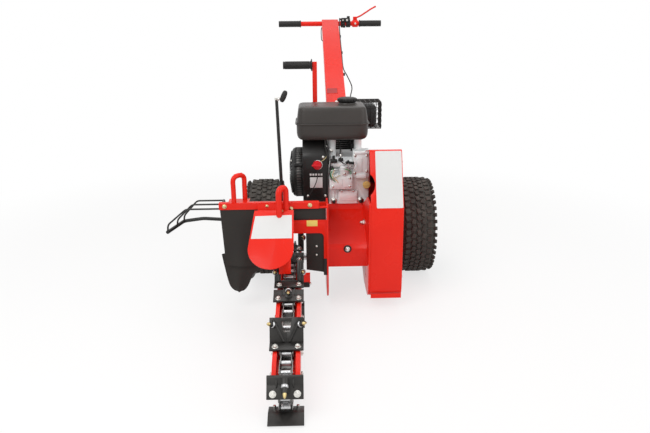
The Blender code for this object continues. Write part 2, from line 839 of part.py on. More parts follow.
def auger():
    """A flight wound once and a half round a hub, which throws the soil to the left."""
    length = AUGER_RIGHT_X - SHAFT_LEFT_X - 0.006
    hub = turned(
        "auger",
        BOOM_PIVOT,
        "X",
        (AUGER_RIGHT_X - length / 2, 0, 0),
        [
            (AUGER_HUB_RADIUS, length / 2),
            (AUGER_HUB_RADIUS, -length / 2),
            (SHAFT_RADIUS + GAP, -length / 2),
            (SHAFT_RADIUS + GAP, length / 2),
        ],
        16,
        ring=True,
    )
    mesh = bpy.data.meshes.new("flight")
    inner, outer = AUGER_HUB_RADIUS - 0.003, AUGER_RADIUS
    mesh.from_pydata([(inner, 0, 0), (outer, 0, 0)], [(0, 1)], [])
    flight = add_mesh("flight", BOOM_PIVOT, mesh, (AUGER_RIGHT_X - length + 0.008, 0, 0))
    screw = flight.modifiers.new("turns", "SCREW")
    screw.axis = "Z"
    screw.angle = 3 * pi
    screw.screw_offset = AUGER_PITCH * 1.5
    screw.steps = 26
    screw.render_steps = 26
    sheet = flight.modifiers.new("sheet", "SOLIDIFY")
    sheet.thickness = AUGER_FLIGHT
    sheet.offset = 0.0
    flight = bake(flight, TO_AXIS["X"])
    join(hub, flight)
    finish(hub, RED)


def chain():
    """Two rows of link plates joined by rollers, all round the boom."""
    path = ChainPath()
    half = LINK_HEIGHT / 2
    tail = (path.tail_y, 0)
    outer = belt_loop(tail, TAIL_RADIUS + half, (0, 0), path.head + half, 9)
    inner = belt_loop(tail, TAIL_RADIUS - half, (0, 0), path.head - half, 9)
    start = CHAIN_X + LINK_INNER_WIDTH / 2
    right = slab("digging_chain", BOOM_PIVOT, "X", outer, start, start + LINK_WALL, [inner])
    end = CHAIN_X - LINK_INNER_WIDTH / 2
    left = slab("left_links", BOOM_PIVOT, "X", outer, end - LINK_WALL, end, [inner])
    form = bmesh.new()
    for number in range(CHAIN_LINKS):
        place, angle = path.pin(number)
        turn = Matrix.Translation((CHAIN_X, *place)) @ Matrix.Rotation(angle, 4, "X")
        bmesh.ops.create_cone(
            form,
            cap_ends=True,
            segments=6,
            radius1=ROLLER_RADIUS,
            radius2=ROLLER_RADIUS,
            depth=LINK_INNER_WIDTH + LINK_WALL,
            matrix=turn @ TO_AXIS["X"] @ Matrix.Rotation(pi / 6, 4, "Z"),
        )
    mesh = bpy.data.meshes.new("rollers")
    form.to_mesh(mesh)
    form.free()
    join(right, left, add_mesh("rollers", BOOM_PIVOT, mesh))
    finish(right, STEEL)


def boom():
    """The bar between the chain's runs, with a rail on each side of each run."""
    path = ChainPath()
    tail_y = path.tail_y
    half = BOOM_WIDTH / 2
    channel = LINK_INNER_WIDTH / 2 + LINK_WALL + 0.003
    near, far = -path.head - 0.030, tail_y + TAIL_RADIUS + 0.004
    body_half = TAIL_RADIUS - LINK_HEIGHT / 2 - 0.004
    bar = box(
        "boom_bar",
        BOOM_PIVOT,
        (CHAIN_X - half, far, -body_half),
        (CHAIN_X + half, near, body_half),
    )
    hollow = box(
        "boom_hollow",
        BOOM_PIVOT,
        (CHAIN_X - half + BOOM_RAIL, far - 0.01, -body_half + BOOM_WALL),
        (CHAIN_X + half - BOOM_RAIL, near + 0.01, body_half - BOOM_WALL),
    )
    rails = []
    rail_top_near = path.head + LINK_HEIGHT / 2 - 0.012
    rail_top_far = TAIL_RADIUS + LINK_HEIGHT / 2 - 0.002
    for name, low, high in (
        ("left_cheek", CHAIN_X - half, CHAIN_X - half + BOOM_RAIL),
        ("right_cheek", CHAIN_X + half - BOOM_RAIL, CHAIN_X + half),
    ):
        outline = [
            (near, -rail_top_near),
            (near, rail_top_near),
            (far + 0.010, rail_top_far),
            (tail_y - 0.012, 0.016),
            (tail_y - 0.012, -0.016),
            (far + 0.010, -rail_top_far),
        ]
        rails.append(slab(name, BOOM_PIVOT, "X", outline, low, high))
    arms = []
    collar = SHAFT_RADIUS + RUN
    for name, low in (
        ("left_arm", CHAIN_X - half),
        ("right_arm", CHAIN_X + half - BOOM_WALL),
    ):
        outline = arc((0, 0), collar + 0.014, -pi / 2, pi / 2, 8)
        outline += [(near - 0.01, collar + 0.014), (near - 0.01, -collar - 0.014)]
        eye = arc((0, 0), collar, 0, 2 * pi, 16)[:-1]
        arms.append(slab(name, BOOM_PIVOT, "X", outline, low, low + BOOM_WALL, [eye]))
    join(bar, *rails)
    cut(bar, hollow)
    lug = box(
        "tension_lug",
        BOOM_PIVOT,
        (CHAIN_X + half - 0.003, -0.222, 0.014),
        (CHAIN_X + half + BOOM_LUG_WIDTH, -0.208, 0.052),
    )
    join(bar, *arms, lug)
    slot = box(
        "tail_slot",
        BOOM_PIVOT,
        (CHAIN_X - channel, tail_y - 0.06, -0.06),
        (CHAIN_X + channel, far, 0.06),
    )
    cut(bar, slot)
    pin = rod(
        "tail_pin",
        BOOM_PIVOT,
        "X",
        (CHAIN_X, tail_y, 0),
        TAIL_PIN_RADIUS,
        BOOM_WIDTH - BOOM_RAIL,
        12,
    )
    join(bar, pin)
    finish(bar, RED)
    bore = TAIL_PIN_RADIUS + RUN
    roller = [
        (TAIL_RADIUS - ROLLER_RADIUS - GAP, TAIL_ROLLER_WIDTH / 2),
        (TAIL_RADIUS - ROLLER_RADIUS - GAP, -TAIL_ROLLER_WIDTH / 2),
        (bore, -TAIL_ROLLER_WIDTH / 2),
        (bore, TAIL_ROLLER_WIDTH / 2),
    ]
    wheel = turned("tail_roller", BOOM_PIVOT, "X", (CHAIN_X, tail_y, 0), roller, 32, ring=True)
    finish(wheel, STEEL)


def cutter(number, link, kind):
    """A bent plate bolted over the chain: side teeth on a plate or a fork, a centre tooth, or none."""
    path = ChainPath()
    place, angle = path.link(link)
    name = f"cutter_{number}"
    frame = empty(f"{name}_seat", BOOM_PIVOT, (CHAIN_X, *place), (angle - pi / 2, 0, 0))
    trail = CUTTER_HEEL + 0.024 if kind == "centre" else CUTTER_TRAIL
    rise = {"scraper": SCRAPER_RISE, "centre": 0.008}.get(kind, SIDE_CUTTER_RISE)
    seat = seat_height(path, link)
    half = CUTTER_WIDTH / 2
    profile = [
        (-CUTTER_LEAD, seat),
        (CUTTER_HEEL, seat),
        (trail, seat + rise),
        (trail - CUTTER_PLATE, seat + rise + CUTTER_PLATE / 2),
        (CUTTER_HEEL - CUTTER_PLATE / 2, seat + CUTTER_PLATE),
        (-CUTTER_LEAD, seat + CUTTER_PLATE),
    ]
    plate = slab(name, frame, "X", profile, -half, half)
    teeth = []
    if kind in ("side", "fork"):
        for side, x in (("left", -SIDE_TOOTH_X), ("right", SIDE_TOOTH_X)):
            root, tip = (x, 0.038, seat + 0.026), (x, 0.006, seat + 0.042)
            teeth.append(tooth(f"{name}_{side}_tooth", frame, root, tip))
    elif kind == "centre":
        root, tip = (0, 0.024, seat + 0.004), (0, -0.004, seat + 0.040)
        teeth.append(tooth(f"{name}_tooth", frame, root, tip))
    join(plate, *teeth)
    if kind == "fork":
        opening = box(
            f"{name}_opening",
            frame,
            (-FORK_OPENING / 2, CUTTER_HEEL + 0.002, seat - 0.010),
            (FORK_OPENING / 2, CUTTER_TRAIL + 0.010, seat + SIDE_CUTTER_RISE + 0.010),
        )
        cut(plate, opening)
    finish(plate, CUTTER_STEEL)


def tooth(name, frame, root, tip):
    return rod_between(name, frame, root, tip, TOOTH_RADIUS, 8, TOOTH_TIP_RADIUS)


def seat_height(path, link):
    """Height above the link's own line at which a flat plate clears the chain under it."""
    place, angle = path.link(link)
    out = Vector((cos(angle), sin(angle)))
    along = Vector((-sin(angle), cos(angle)))
    height = LINK_HEIGHT / 2
    middle = path.nose_link() + link * CHAIN_PITCH
    for step in range(-20, 21):
        point, way = path.at(middle + step * CHAIN_PITCH / 10)
        edge = point + Vector((cos(way), sin(way))) * (LINK_HEIGHT / 2) - place
        if -CUTTER_LEAD <= edge.dot(along) <= CUTTER_HEEL:
            height = max(height, edge.dot(out))
    return height + GAP


def engine():
    crank = (0.0, CRANK_Z)
    foot_z = DECK_TOP_Z + GAP
    rear_low = (0.122, 0.405)
    rear_high = (
        rear_low[0] - (CRANKCASE_TOP_Z - rear_low[1]) * tan(CYLINDER_TILT),
        CRANKCASE_TOP_Z,
    )
    outline = [
        (ENGINE_FRONT_Y, foot_z + FOOT_HEIGHT / 2),
        (0.100, foot_z + FOOT_HEIGHT / 2),
        rear_low,
        rear_high,
        (ENGINE_FRONT_Y + 0.030, CRANKCASE_TOP_Z),
        (ENGINE_FRONT_Y, CRANKCASE_TOP_Z - 0.050),
    ]
    case = slab("crankcase", MACHINE, "X", outline, ENGINE_LEFT_X, ENGINE_RIGHT_X)
    feet = box(
        "feet",
        MACHINE,
        (ENGINE_LEFT_X + 0.002, ENGINE_FRONT_Y - 0.006, foot_z),
        (ENGINE_RIGHT_X - 0.008, 0.118, foot_z + FOOT_HEIGHT),
    )
    boss_foot = CRANKCASE_TOP_Z - 0.030
    boss_height = TANK_FOOT_Z - GAP - boss_foot
    boss_z = boss_foot + boss_height / 2
    boss_left = rod("boss_left", MACHINE, "Z", (-0.034, -0.080, boss_z), 0.015, boss_height, 10)
    boss_right = rod("boss_right", MACHINE, "Z", (0.070, -0.080, boss_z), 0.013, boss_height, 10)
    gear_case = box(
        "gear_case",
        MACHINE,
        (0.048, ENGINE_FRONT_Y - 0.010, 0.445),
        (ENGINE_RIGHT_X, ENGINE_FRONT_Y + 0.040, 0.553),
    )
    front_boss = box(
        "front_boss",
        MACHINE,
        (-0.010, ENGINE_FRONT_Y - 0.014, foot_z + 0.002),
        (0.066, ENGINE_FRONT_Y + 0.010, 0.390),
    )
    bore = rod("crank_bore", MACHINE, "X", (0.03, *crank), CRANK_RADIUS + RUN, 0.4, 16)
    join(case, feet, boss_left, boss_right, gear_case, front_boss)
    cut(case, bore)
    finish(case, ALUMINIUM)
    cover = [
        (0.078, COVER_PLATE / 2),
        (0.078, -COVER_PLATE / 2),
        (CRANK_RADIUS + RUN, -COVER_PLATE / 2),
        (CRANK_RADIUS + RUN, COVER_PLATE / 2),
    ]
    plate = turned(
        "side_cover",
        MACHINE,
        "X",
        (ENGINE_RIGHT_X + GAP + COVER_PLATE / 2, *crank),
        cover,
        16,
        ring=True,
    )
    finish(plate, ALUMINIUM)
    cylinder_parts(rear_low, rear_high)
    blower_parts()
    rotor_parts()
    tank_parts()
    exhaust_and_intake()


def cylinder_parts(rear_low, rear_high):
    """Finned barrel and rocker cover on the crankcase's sloping rear face."""
    middle = Vector((0.022, (rear_low[0] + rear_high[0]) / 2, (rear_low[1] + rear_high[1]) / 2))
    frame = empty("cylinder_frame", MACHINE, middle, (CYLINDER_TILT, 0, 0))
    barrel = box("cylinder", frame, (-0.040, GAP, -0.040), (0.040, 0.088, 0.040))
    fins = []
    for i in range(6):
        start = 0.006 + 0.014 * i
        fins.append(box(f"fin_{i}", frame, (-0.060, start, -0.058), (0.060, start + 0.005, 0.058)))
    join(barrel, *fins)
    finish(barrel, ALUMINIUM)
    top = 0.088 + GAP
    cover = box("rocker_cover", frame, (-0.048, top, -0.050), (0.048, top + 0.026, 0.050))
    finish(round_edges(cover, 0.008, 2), STEEL)


def blower_parts():
    """Fan housing beside the crankcase and the starter on its left."""
    outline = rounded(
        [
            (ENGINE_FRONT_Y - 0.016, 0.340, 0.020),
            (0.140, 0.340, 0.030),
            (0.140, BLOWER_TOP_Z, 0.010),
            (ENGINE_FRONT_Y + 0.030, BLOWER_TOP_Z, 0.040),
            (ENGINE_FRONT_Y - 0.016, BLOWER_TOP_Z - 0.060, 0.040),
        ]
    )
    housing = slab("blower_housing", MACHINE, "X", outline, BLOWER_LEFT_X, BLOWER_RIGHT_X)
    pocket_depth = BLOWER_RIGHT_X - BLOWER_LEFT_X - 0.004
    pocket = rod(
        "fan_pocket",
        MACHINE,
        "X",
        (BLOWER_LEFT_X - 0.01 + pocket_depth / 2, 0, CRANK_Z),
        FLYWHEEL_RADIUS + 0.010,
        pocket_depth + 0.02,
        24,
    )
    hole = rod("fan_hole", MACHINE, "X", (BLOWER_RIGHT_X, 0, CRANK_Z), 0.030, 0.05, 16)
    cut(housing, pocket, hole)
    finish(housing, BLACK_PAINT)
    start = BLOWER_LEFT_X - GAP
    wall = 0.003
    dome = [
        (0.030, -RECOIL_DEPTH),
        (0.070, -RECOIL_DEPTH + 0.002),
        (RECOIL_RADIUS - 0.008, -RECOIL_DEPTH + 0.012),
        (RECOIL_RADIUS, -RECOIL_DEPTH + 0.026),
        (RECOIL_RADIUS, 0.0),
        (RECOIL_RADIUS - wall, 0.0),
        (RECOIL_RADIUS - wall, -RECOIL_DEPTH + 0.027),
        (RECOIL_RADIUS - 0.010, -RECOIL_DEPTH + 0.015),
        (0.070, -RECOIL_DEPTH + 0.005),
        (0.030, -RECOIL_DEPTH + 0.003),
    ]
    starter = turned("recoil_starter", MACHINE, "X", (start, 0, CRANK_Z), dome[::-1], 24, ring=True)
    finish(starter, BLACK_PLASTIC)
    reach = RECOIL_RADIUS + HANDLE_RADIUS - 0.0004
    way = radians(153)
    handle = rod(
        "recoil_handle",
        MACHINE,
        "X",
        (start - RECOIL_DEPTH * 0.35, reach * cos(way), CRANK_Z + reach * sin(way)),
        HANDLE_RADIUS,
        0.034,
        10,
    )
    finish(handle, BLACK_PLASTIC)


def rotor_parts():
    """Crankshaft with the flywheel at its left end and the clutch pulley at its right end."""
    axis = empty("crank_axis", MACHINE, (0, 0, CRANK_Z))
    left = BLOWER_LEFT_X + 0.010
    right = BELT_X + BELT_WIDTH / 2 + 0.012
    shaft = rod("crankshaft", axis, "X", ((left + right) / 2, 0, 0), CRANK_RADIUS, right - left, 16)
    finish(shaft, STEEL)
    half = 0.030
    middle = BLOWER_LEFT_X + 0.012 + half
    wheel = [
        (FLYWHEEL_RADIUS - 0.020, half),
        (FLYWHEEL_RADIUS, half - 0.010),
        (FLYWHEEL_RADIUS, -half),
        (FLYWHEEL_RADIUS - 0.016, -half),
        (FLYWHEEL_RADIUS - 0.016, -0.004),
        (0.026, -0.004),
        (0.026, -half),
        (CRANK_RADIUS + GAP, -half),
        (CRANK_RADIUS + GAP, half),
    ]
    finish(turned("flywheel", axis, "X", (middle, 0, 0), wheel, 24, ring=True), ALUMINIUM)
    groove = BELT_WIDTH / 2 + 2 * GAP
    side = ENGINE_RIGHT_X + 2 * GAP + COVER_PLATE + 0.002 - BELT_X
    bottom = ENGINE_PULLEY_RADIUS - BELT_DEPTH - GAP
    drum = [
        (ENGINE_PULLEY_RADIUS, groove + 0.004),
        (ENGINE_PULLEY_RADIUS, groove),
        (bottom, groove),
        (bottom, -groove),
        (CLUTCH_RADIUS, -groove),
        (CLUTCH_RADIUS, side),
        (CRANK_RADIUS + GAP, side),
        (CRANK_RADIUS + GAP, groove + 0.004),
    ]
    clutch = turned("clutch_pulley", axis, "X", (BELT_X, 0, 0), drum, 24, ring=True)
    finish(clutch, BLACK_PAINT)
    head, engine_end = (HEAD_Y, HEAD_Z), (0.0, CRANK_Z)
    outer = belt_loop(head, SHAFT_PULLEY_RADIUS, engine_end, ENGINE_PULLEY_RADIUS, 14)
    inner = belt_loop(
        head,
        SHAFT_PULLEY_RADIUS - BELT_DEPTH + GAP,
        engine_end,
        ENGINE_PULLEY_RADIUS - BELT_DEPTH + GAP,
        14,
    )
    low = BELT_X - BELT_WIDTH / 2
    belt = slab("drive_belt", MACHINE, "X", outer, low, low + BELT_WIDTH, [inner])
    finish(belt, RUBBER)


def tank_parts():
    right, rear = TANK_LEFT_X + TANK_WIDTH, TANK_FRONT_Y + TANK_DEPTH
    tank = box(
        "fuel_tank", MACHINE, (TANK_LEFT_X, TANK_FRONT_Y, TANK_FOOT_Z), (right, rear, TANK_TOP_Z)
    )
    round_edges(tank, 0.022, 3)
    flange = box(
        "tank_flange",
        MACHINE,
        (TANK_LEFT_X - TANK_FLANGE, TANK_FRONT_Y - TANK_FLANGE, TANK_FLANGE_Z - TANK_FLANGE / 2),
        (right + TANK_FLANGE, rear + TANK_FLANGE, TANK_FLANGE_Z + TANK_FLANGE / 2),
    )
    round_edges(flange, 0.0015)
    join(tank, flange)
    finish(tank, BLACK_PAINT)
    cap_x = TANK_LEFT_X + TANK_WIDTH / 2 + CAP_OFFSET
    centre = (cap_x, TANK_FRONT_Y + TANK_DEPTH * 0.62, TANK_TOP_Z + GAP)
    profile = [
        (0, CAP_HEIGHT),
        (CAP_RADIUS - 0.006, CAP_HEIGHT),
        (CAP_RADIUS, CAP_HEIGHT - 0.005),
        (CAP_RADIUS, 0.004),
        (CAP_RADIUS - 0.008, 0),
        (0, 0),
    ]
    finish(turned("fuel_cap", MACHINE, "Z", centre, profile, 20), BLACK_PLASTIC)


def exhaust_and_intake():
    """Muffler with its cage, air cleaner, carburettor, oil cap and the engine's switch."""
    muffler = box("muffler", MACHINE, (0.040, 0.096, 0.606), (0.163, 0.196, 0.703))
    round_edges(muffler, 0.014, 2)
    foot = box("muffler_foot", MACHINE, (0.050, 0.030, 0.575), (0.080, 0.135, 0.588))
    leg = box("muffler_leg", MACHINE, (0.050, 0.030, CRANKCASE_TOP_Z + GAP), (0.080, 0.042, 0.588))
    riser = box("muffler_riser", MACHINE, (0.050, 0.118, 0.580), (0.080, 0.135, 0.620))
    join(muffler, foot, leg, riser)
    finish(muffler, BLACK_PAINT)
    cage = box("muffler_guard", MACHINE, (0.030, 0.086, 0.604), (0.183, 0.206, 0.716))
    room = box("cage_room", MACHINE, (0.0325, 0.0885, 0.590), (0.1805, 0.2035, 0.7135))
    shelf = box("cage_shelf", MACHINE, (0.048, 0.084, 0.589), (0.082, 0.112, 0.6055))
    join(cut(cage, room), shelf)
    finish(cage, BLACK_PAINT)
    cleaner = box(
        "air_cleaner",
        MACHINE,
        (BLOWER_LEFT_X + 0.004, 0.062, BLOWER_TOP_Z + GAP),
        (-0.030, 0.176, 0.708),
    )
    round_edges(cleaner, 0.016, 2)
    finish(cleaner, BLACK_PLASTIC)
    front = ENGINE_FRONT_Y - GAP
    carburettor = box(
        "carburettor", MACHINE, (-0.046, front - 0.036, 0.405), (0.044, front, 0.462)
    )
    bowl = rod("bowl", MACHINE, "Z", (0.012, front - 0.022, 0.478), 0.018, 0.040, 12)
    throat = rod("throat", MACHINE, "X", (-0.002, front - 0.020, 0.505), 0.014, 0.080, 12)
    join(carburettor, bowl, throat)
    finish(carburettor, ALUMINIUM)
    cap = rod("oil_cap", MACHINE, "Y", (0.103, front - 0.009, 0.414), 0.0155, 0.018, 12)
    finish(cap, YELLOW)
    face = ENGINE_FRONT_Y - 0.016
    switch = rod("engine_switch", MACHINE, "Y", (-0.094, face - GAP - 0.010, 0.500), 0.018, 0.020, 12)
    finish(switch, SWITCH_RED)


def belt_guard():
    """A pressed cover, open towards the engine, round both pulleys and the belt."""
    outline = rounded(
        [
            (FRAME_FRONT_Y, GUARD_KINK_Z, 0),
            (FRAME_FRONT_Y, GUARD_FOOT_Z, NOSE_RADIUS - 0.015),
            (-0.160, GUARD_FOOT_Z, 0.050),
            (-0.030, 0.255, 0.040),
            (GUARD_REAR_Y, 0.380, 0.030),
            (GUARD_REAR_Y, GUARD_REAR_TOP_Z, 0.030),
            (GUARD_TOP_FRONT_Y, GUARD_TOP_Z, 0.012),
        ]
    )
    start = RIGHT_PLATE_X + GAP
    guard = slab("belt_guard", MACHINE, "X", outline, start, GUARD_RIGHT_X)
    room = slab(
        "guard_room",
        MACHINE,
        "X",
        inset(outline, GUARD_SHEET),
        start - 0.02,
        GUARD_RIGHT_X - GUARD_SHEET,
    )
    notch = box(
        "engine_notch",
        MACHINE,
        (start - 0.02, ENGINE_FRONT_Y - 0.028, 0.300),
        (ENGINE_RIGHT_X + COVER_PLATE + 4 * GAP, GUARD_REAR_Y + 0.02, 0.620),
    )
    recess = rod(
        "filler_recess",
        MACHINE,
        "Y",
        (RECESS_X, GUARD_TOP_FRONT_Y - 0.040, RECESS_Z),
        RECESS_RADIUS,
        0.150,
        32,
    )
    cut(guard, room, notch, recess)
    finish(guard, RED)


def covers():
    """Cross bar, rubber flaps, auger cover and wire guard."""
    front = PORTAL_Y - GAP
    bar = box(
        "cross_bar",
        MACHINE,
        (BAR_LEFT_X, front - BAR_SHEET, BAR_TOP_Z - BAR_HEIGHT),
        (BAR_RIGHT_X, front, BAR_TOP_Z),
    )
    ledge = box(
        "ledge",
        MACHINE,
        (BAR_LEFT_X, front - BAR_SHEET / 2, BAR_TOP_Z - BAR_SHEET),
        (BAR_RIGHT_X, front - BAR_SHEET + BAR_DEPTH, BAR_TOP_Z),
    )
    loop = tube(
        "lift_loop",
        MACHINE,
        loop_points((-0.398, front + 0.008), (-0.362, front + 0.045), BAR_TOP_Z - 0.003, 0.519),
        0.0085,
    )
    shelf = box(
        "loop_shelf",
        MACHINE,
        (-0.420, front + 0.008, BAR_TOP_Z - BAR_SHEET),
        (-0.345, front + 0.060, BAR_TOP_Z - 0.0005),
    )
    join(bar, ledge, shelf, loop)
    finish(bar, RED)
    flaps(front)
    auger_cover(front - BAR_SHEET)
    wire_guard(front)


def loop_points(front_foot, rear_foot, foot_z, top_z):
    """A handle bent from round bar: up from one foot, over with round corners, and down again."""
    one = Vector((*front_foot, foot_z))
    two = Vector((*rear_foot, foot_z))
    across = (two - one) / 4
    rise = Vector((0, 0, top_z - foot_z))
    shoulder = rise - Vector((0, 0, 0.012))
    return [one, one + shoulder, one + across + rise, two - across + rise, two + shoulder, two]


def flaps(front):
    """Rubber sheets that hang from the cross bar and beside the chain."""
    top = BAR_TOP_Z - BAR_SHEET - GAP
    rear = front - BAR_SHEET + BAR_DEPTH
    face = front + GAP
    outline = [
        (BAR_LEFT_X + 0.002, top),
        (BAR_LEFT_X + 0.010, 0.186),
        (-0.312, 0.178),
        (-0.312, top),
    ]
    flap = slab("front_flap", MACHINE, "Y", outline, face, face + FLAP_SHEET)
    finish(flap, RUBBER)
    lobe = rounded(
        [
            (BAR_LEFT_X - 0.004, top, 0),
            (BAR_LEFT_X - 0.002, 0.215, 0.030),
            (-0.436, 0.086, 0.030),
            (-0.405, 0.056, 0.020),
            (-0.378, 0.078, 0.020),
            (-0.350, 0.146, 0.020),
            (-0.308, 0.146, 0),
            (-0.308, top, 0),
        ]
    )
    start = rear - FLAP_SHEET - GAP
    tongue = slab("rear_flap", MACHINE, "Y", lobe, start, start + FLAP_SHEET)
    finish(tongue, RUBBER)
    left = CHAIN_X + SIDE_TOOTH_X + TOOTH_RADIUS + FLAP_CLEARANCE
    right = LEFT_PLATE_X - 0.003
    curtain = [
        (CHAIN_X, 0.400),
        (CHAIN_X, 0.312),
        (left, 0.306),
        (left, 0.160),
        (right - 0.012, 0.150),
        (right, 0.140),
        (right, 0.400),
    ]
    back = PORTAL_Y + PORTAL_SHEET + GAP
    side = slab("chain_flap", MACHINE, "Y", curtain, back, back + FLAP_SHEET)
    finish(side, RUBBER)


def auger_cover(face):
    """A sloping shield with a round foot, on a plate and a loop bolted to the cross bar."""
    frame = empty(
        "cover_frame", MACHINE, (COVER_RIGHT_X, COVER_TOP_Y, COVER_TOP_Z), (COVER_SLOPE, 0, 0)
    )
    radius = COVER_FOOT_WIDTH / 2
    straight = COVER_LENGTH - radius
    outline = [(0, 0), (-COVER_TOP_WIDTH, 0)]
    outline += arc((-radius, -straight), radius, pi, 2 * pi, 14)
    shield = slab("auger_cover", frame, "Z", outline, 0, COVER_SHEET)
    hanger = box(
        "cover_hanger",
        MACHINE,
        (COVER_RIGHT_X - COVER_TOP_WIDTH + 0.010, face - GAP - 0.004, COVER_TOP_Z - 0.020),
        (COVER_RIGHT_X - 0.012, face - GAP, BAR_TOP_Z - 0.002),
    )
    shelf = box(
        "cover_shelf",
        MACHINE,
        (COVER_RIGHT_X - COVER_TOP_WIDTH + 0.010, COVER_TOP_Y - 0.010, COVER_TOP_Z - 0.012),
        (COVER_RIGHT_X - 0.012, face - GAP - 0.002, COVER_TOP_Z - 0.004),
    )
    post_x = -0.235
    front_foot, rear_foot = (post_x, COVER_TOP_Y - 0.018), (post_x + 0.024, face - GAP - 0.012)
    foot_z = COVER_TOP_Z - 0.027
    loop = tube("cover_loop", MACHINE, loop_points(front_foot, rear_foot, foot_z, 0.484), 0.0105)
    guide = box(
        "chain_guide",
        MACHINE,
        (CHAIN_X - 0.034, COVER_TOP_Y - 0.155, 0.222),
        (CHAIN_X + 0.007, COVER_TOP_Y - 0.149, 0.2745),
    )
    join(shield, hanger, shelf, loop, guide)
    finish(shield, RED)


def wire_guard(front):
    """Three bent rods over a flat bar that keep feet clear of the thrown soil."""
    low_z = 0.320
    bar_y = front + 0.005
    rods = []
    near_y = front - BAR_SHEET / 2
    for name, y, bend, tip in (
        ("wire_guard", near_y, -0.562, -0.638),
        ("middle_wire", bar_y + 0.052, -0.550, -0.615),
        ("far_wire", bar_y + 0.104, -0.540, -0.600),
    ):
        top = BAR_TOP_Z - BAR_HEIGHT + 0.004
        points = [
            (BAR_LEFT_X - GAP if y == near_y else BAR_LEFT_X + 0.004, y, top),
            (bend - 0.006, y, top),
            (bend - 0.016, y, top - 0.006),
            (tip, y, 0.345),
            (tip - 0.003, y, low_z),
        ]
        rods.append(tube(name, MACHINE, points, WIRE_RADIUS, 1))
    base_line = [
        (-0.641, near_y - 0.004, low_z),
        (-0.603, bar_y + 0.108, low_z + 0.004),
        (-0.530, bar_y + 0.112, low_z + 0.012),
        (BAR_LEFT_X + 0.004, bar_y + 0.112, low_z + 0.006),
    ]
    base = tube("foot_wire", MACHINE, base_line, 0.0045, 1)
    upright = tube(
        "wire_upright",
        MACHINE,
        [
            (BAR_LEFT_X + 0.004, bar_y + 0.112, low_z),
            (BAR_LEFT_X + 0.004, bar_y + 0.108, 0.404),
            (BAR_LEFT_X + 0.004, bar_y + 0.024, 0.404),
        ],
        0.0045,
        1,
    )
    join(rods[0], rods[1], rods[2], base, upright)
    finish(rods[0], BLACK_PAINT)


def mast():
    """The square mast with the handlebar through its upper end."""
    foot = (0, MAST_FOOT_Y, MAST_FOOT_TOP_Z)
    frame = empty("mast_frame", MACHINE, foot, (MAST_TILT, 0, 0))
    half = MAST_WIDTH / 2
    beam = box("handle_mast", frame, (-half, 0, -MAST_HEIGHT), (half, MAST_LENGTH, 0))
    inner = half - MAST_WALL
    hollow = box(
        "mast_hollow",
        frame,
        (-inner, -0.01, -MAST_HEIGHT + MAST_WALL),
        (inner, MAST_LENGTH + 0.01, -MAST_WALL),
    )
    bar_place = (0, MAST_LENGTH - 0.018, -MAST_WALL - BAR_RADIUS - GAP)
    hole = rod("bar_hole", frame, "X", bar_place, BAR_RADIUS + GAP, MAST_WIDTH + 0.02, 16)
    cut(beam, hollow, hole)
    finish(beam, RED)
    turn = Matrix.Rotation(MAST_TILT, 3, "X")
    centre = Vector(foot) + turn @ Vector(bar_place)
    bar = rod("handlebar", MACHINE, "X", centre, BAR_RADIUS, 2 * BAR_HALF_WIDTH, 16)
    switch_x, clamp_x = bar_stations()
    clamp = rod(
        "lever_clamp", MACHINE, "X", centre + Vector((clamp_x, 0, 0)), CLAMP_RADIUS, CLAMP_WIDTH, 12
    )
    ear = box(
        "lever_ear",
        MACHINE,
        centre + Vector((clamp_x - 0.011, -0.006, 0.010)),
        centre + Vector((clamp_x + 0.011, 0.002, 0.036)),
    )
    pivot = centre + Vector((clamp_x, 0.002, 0.028))
    pin = rod("lever_pin", MACHINE, "Y", pivot + Vector((0, 0.004, 0)), 0.003, 0.012, 10)
    join(bar, clamp, ear, pin)
    finish(bar, RED)
    bar_parts(centre, pivot, switch_x)
    throttle_cable(centre)


def bar_stations():
    """Where the switch box and the lever's clamp stand between the mast and the right grip."""
    room = BAR_HALF_WIDTH + 0.001 - GRIP_LENGTH - MAST_WIDTH / 2
    spare = room - SWITCH_WIDTH - CLAMP_WIDTH
    switch_x = MAST_WIDTH / 2 + 0.459 * spare + SWITCH_WIDTH / 2
    clamp_x = switch_x + SWITCH_WIDTH / 2 + 0.328 * spare + CLAMP_WIDTH / 2
    return switch_x, clamp_x


def bar_parts(centre, pivot, switch_x):
    """Grips, stop switch and throttle lever on the handlebar."""
    for side, sign in (("left", -1), ("right", 1)):
        ring = [
            (GRIP_RADIUS, GRIP_LENGTH / 2),
            (GRIP_RADIUS, -GRIP_LENGTH / 2),
            (BAR_RADIUS + GAP, -GRIP_LENGTH / 2),
            (BAR_RADIUS + GAP, GRIP_LENGTH / 2),
        ]
        place = centre + Vector((sign * (BAR_HALF_WIDTH + 0.001 - GRIP_LENGTH / 2), 0, 0))
        finish(turned(f"{side}_grip", MACHINE, "X", place, ring, 16, ring=True), RUBBER)
    body = box(
        "switch_box",
        MACHINE,
        centre + Vector((switch_x - SWITCH_WIDTH / 2, -0.026, -0.022)),
        centre + Vector((switch_x + SWITCH_WIDTH / 2, 0.022, 0.034)),
    )
    round_edges(body, 0.006, 2)
    through = centre + Vector((switch_x, 0, 0))
    hole = rod("switch_hole", MACHINE, "X", through, BAR_RADIUS + GAP, 0.1, 16)
    finish(cut(body, hole), BLACK_PLASTIC)
    axis = empty("throttle_axis", MACHINE, pivot)
    gap = 0.0022
    tip = Vector((0.112, gap + 0.004, 0.060))
    bar = rod("throttle_lever", axis, "Y", (0, gap + 0.004, 0), 0.008, 0.006, 12)
    arm = rod_between("lever_arm", axis, (0.004, gap + 0.004, 0.002), tip, 0.0042, 8)
    bore = rod("lever_bore", axis, "Y", (0, gap + 0.004, 0), 0.003 + GAP * 2, 0.03, 10)
    finish(cut(join(bar, arm), bore), RED)


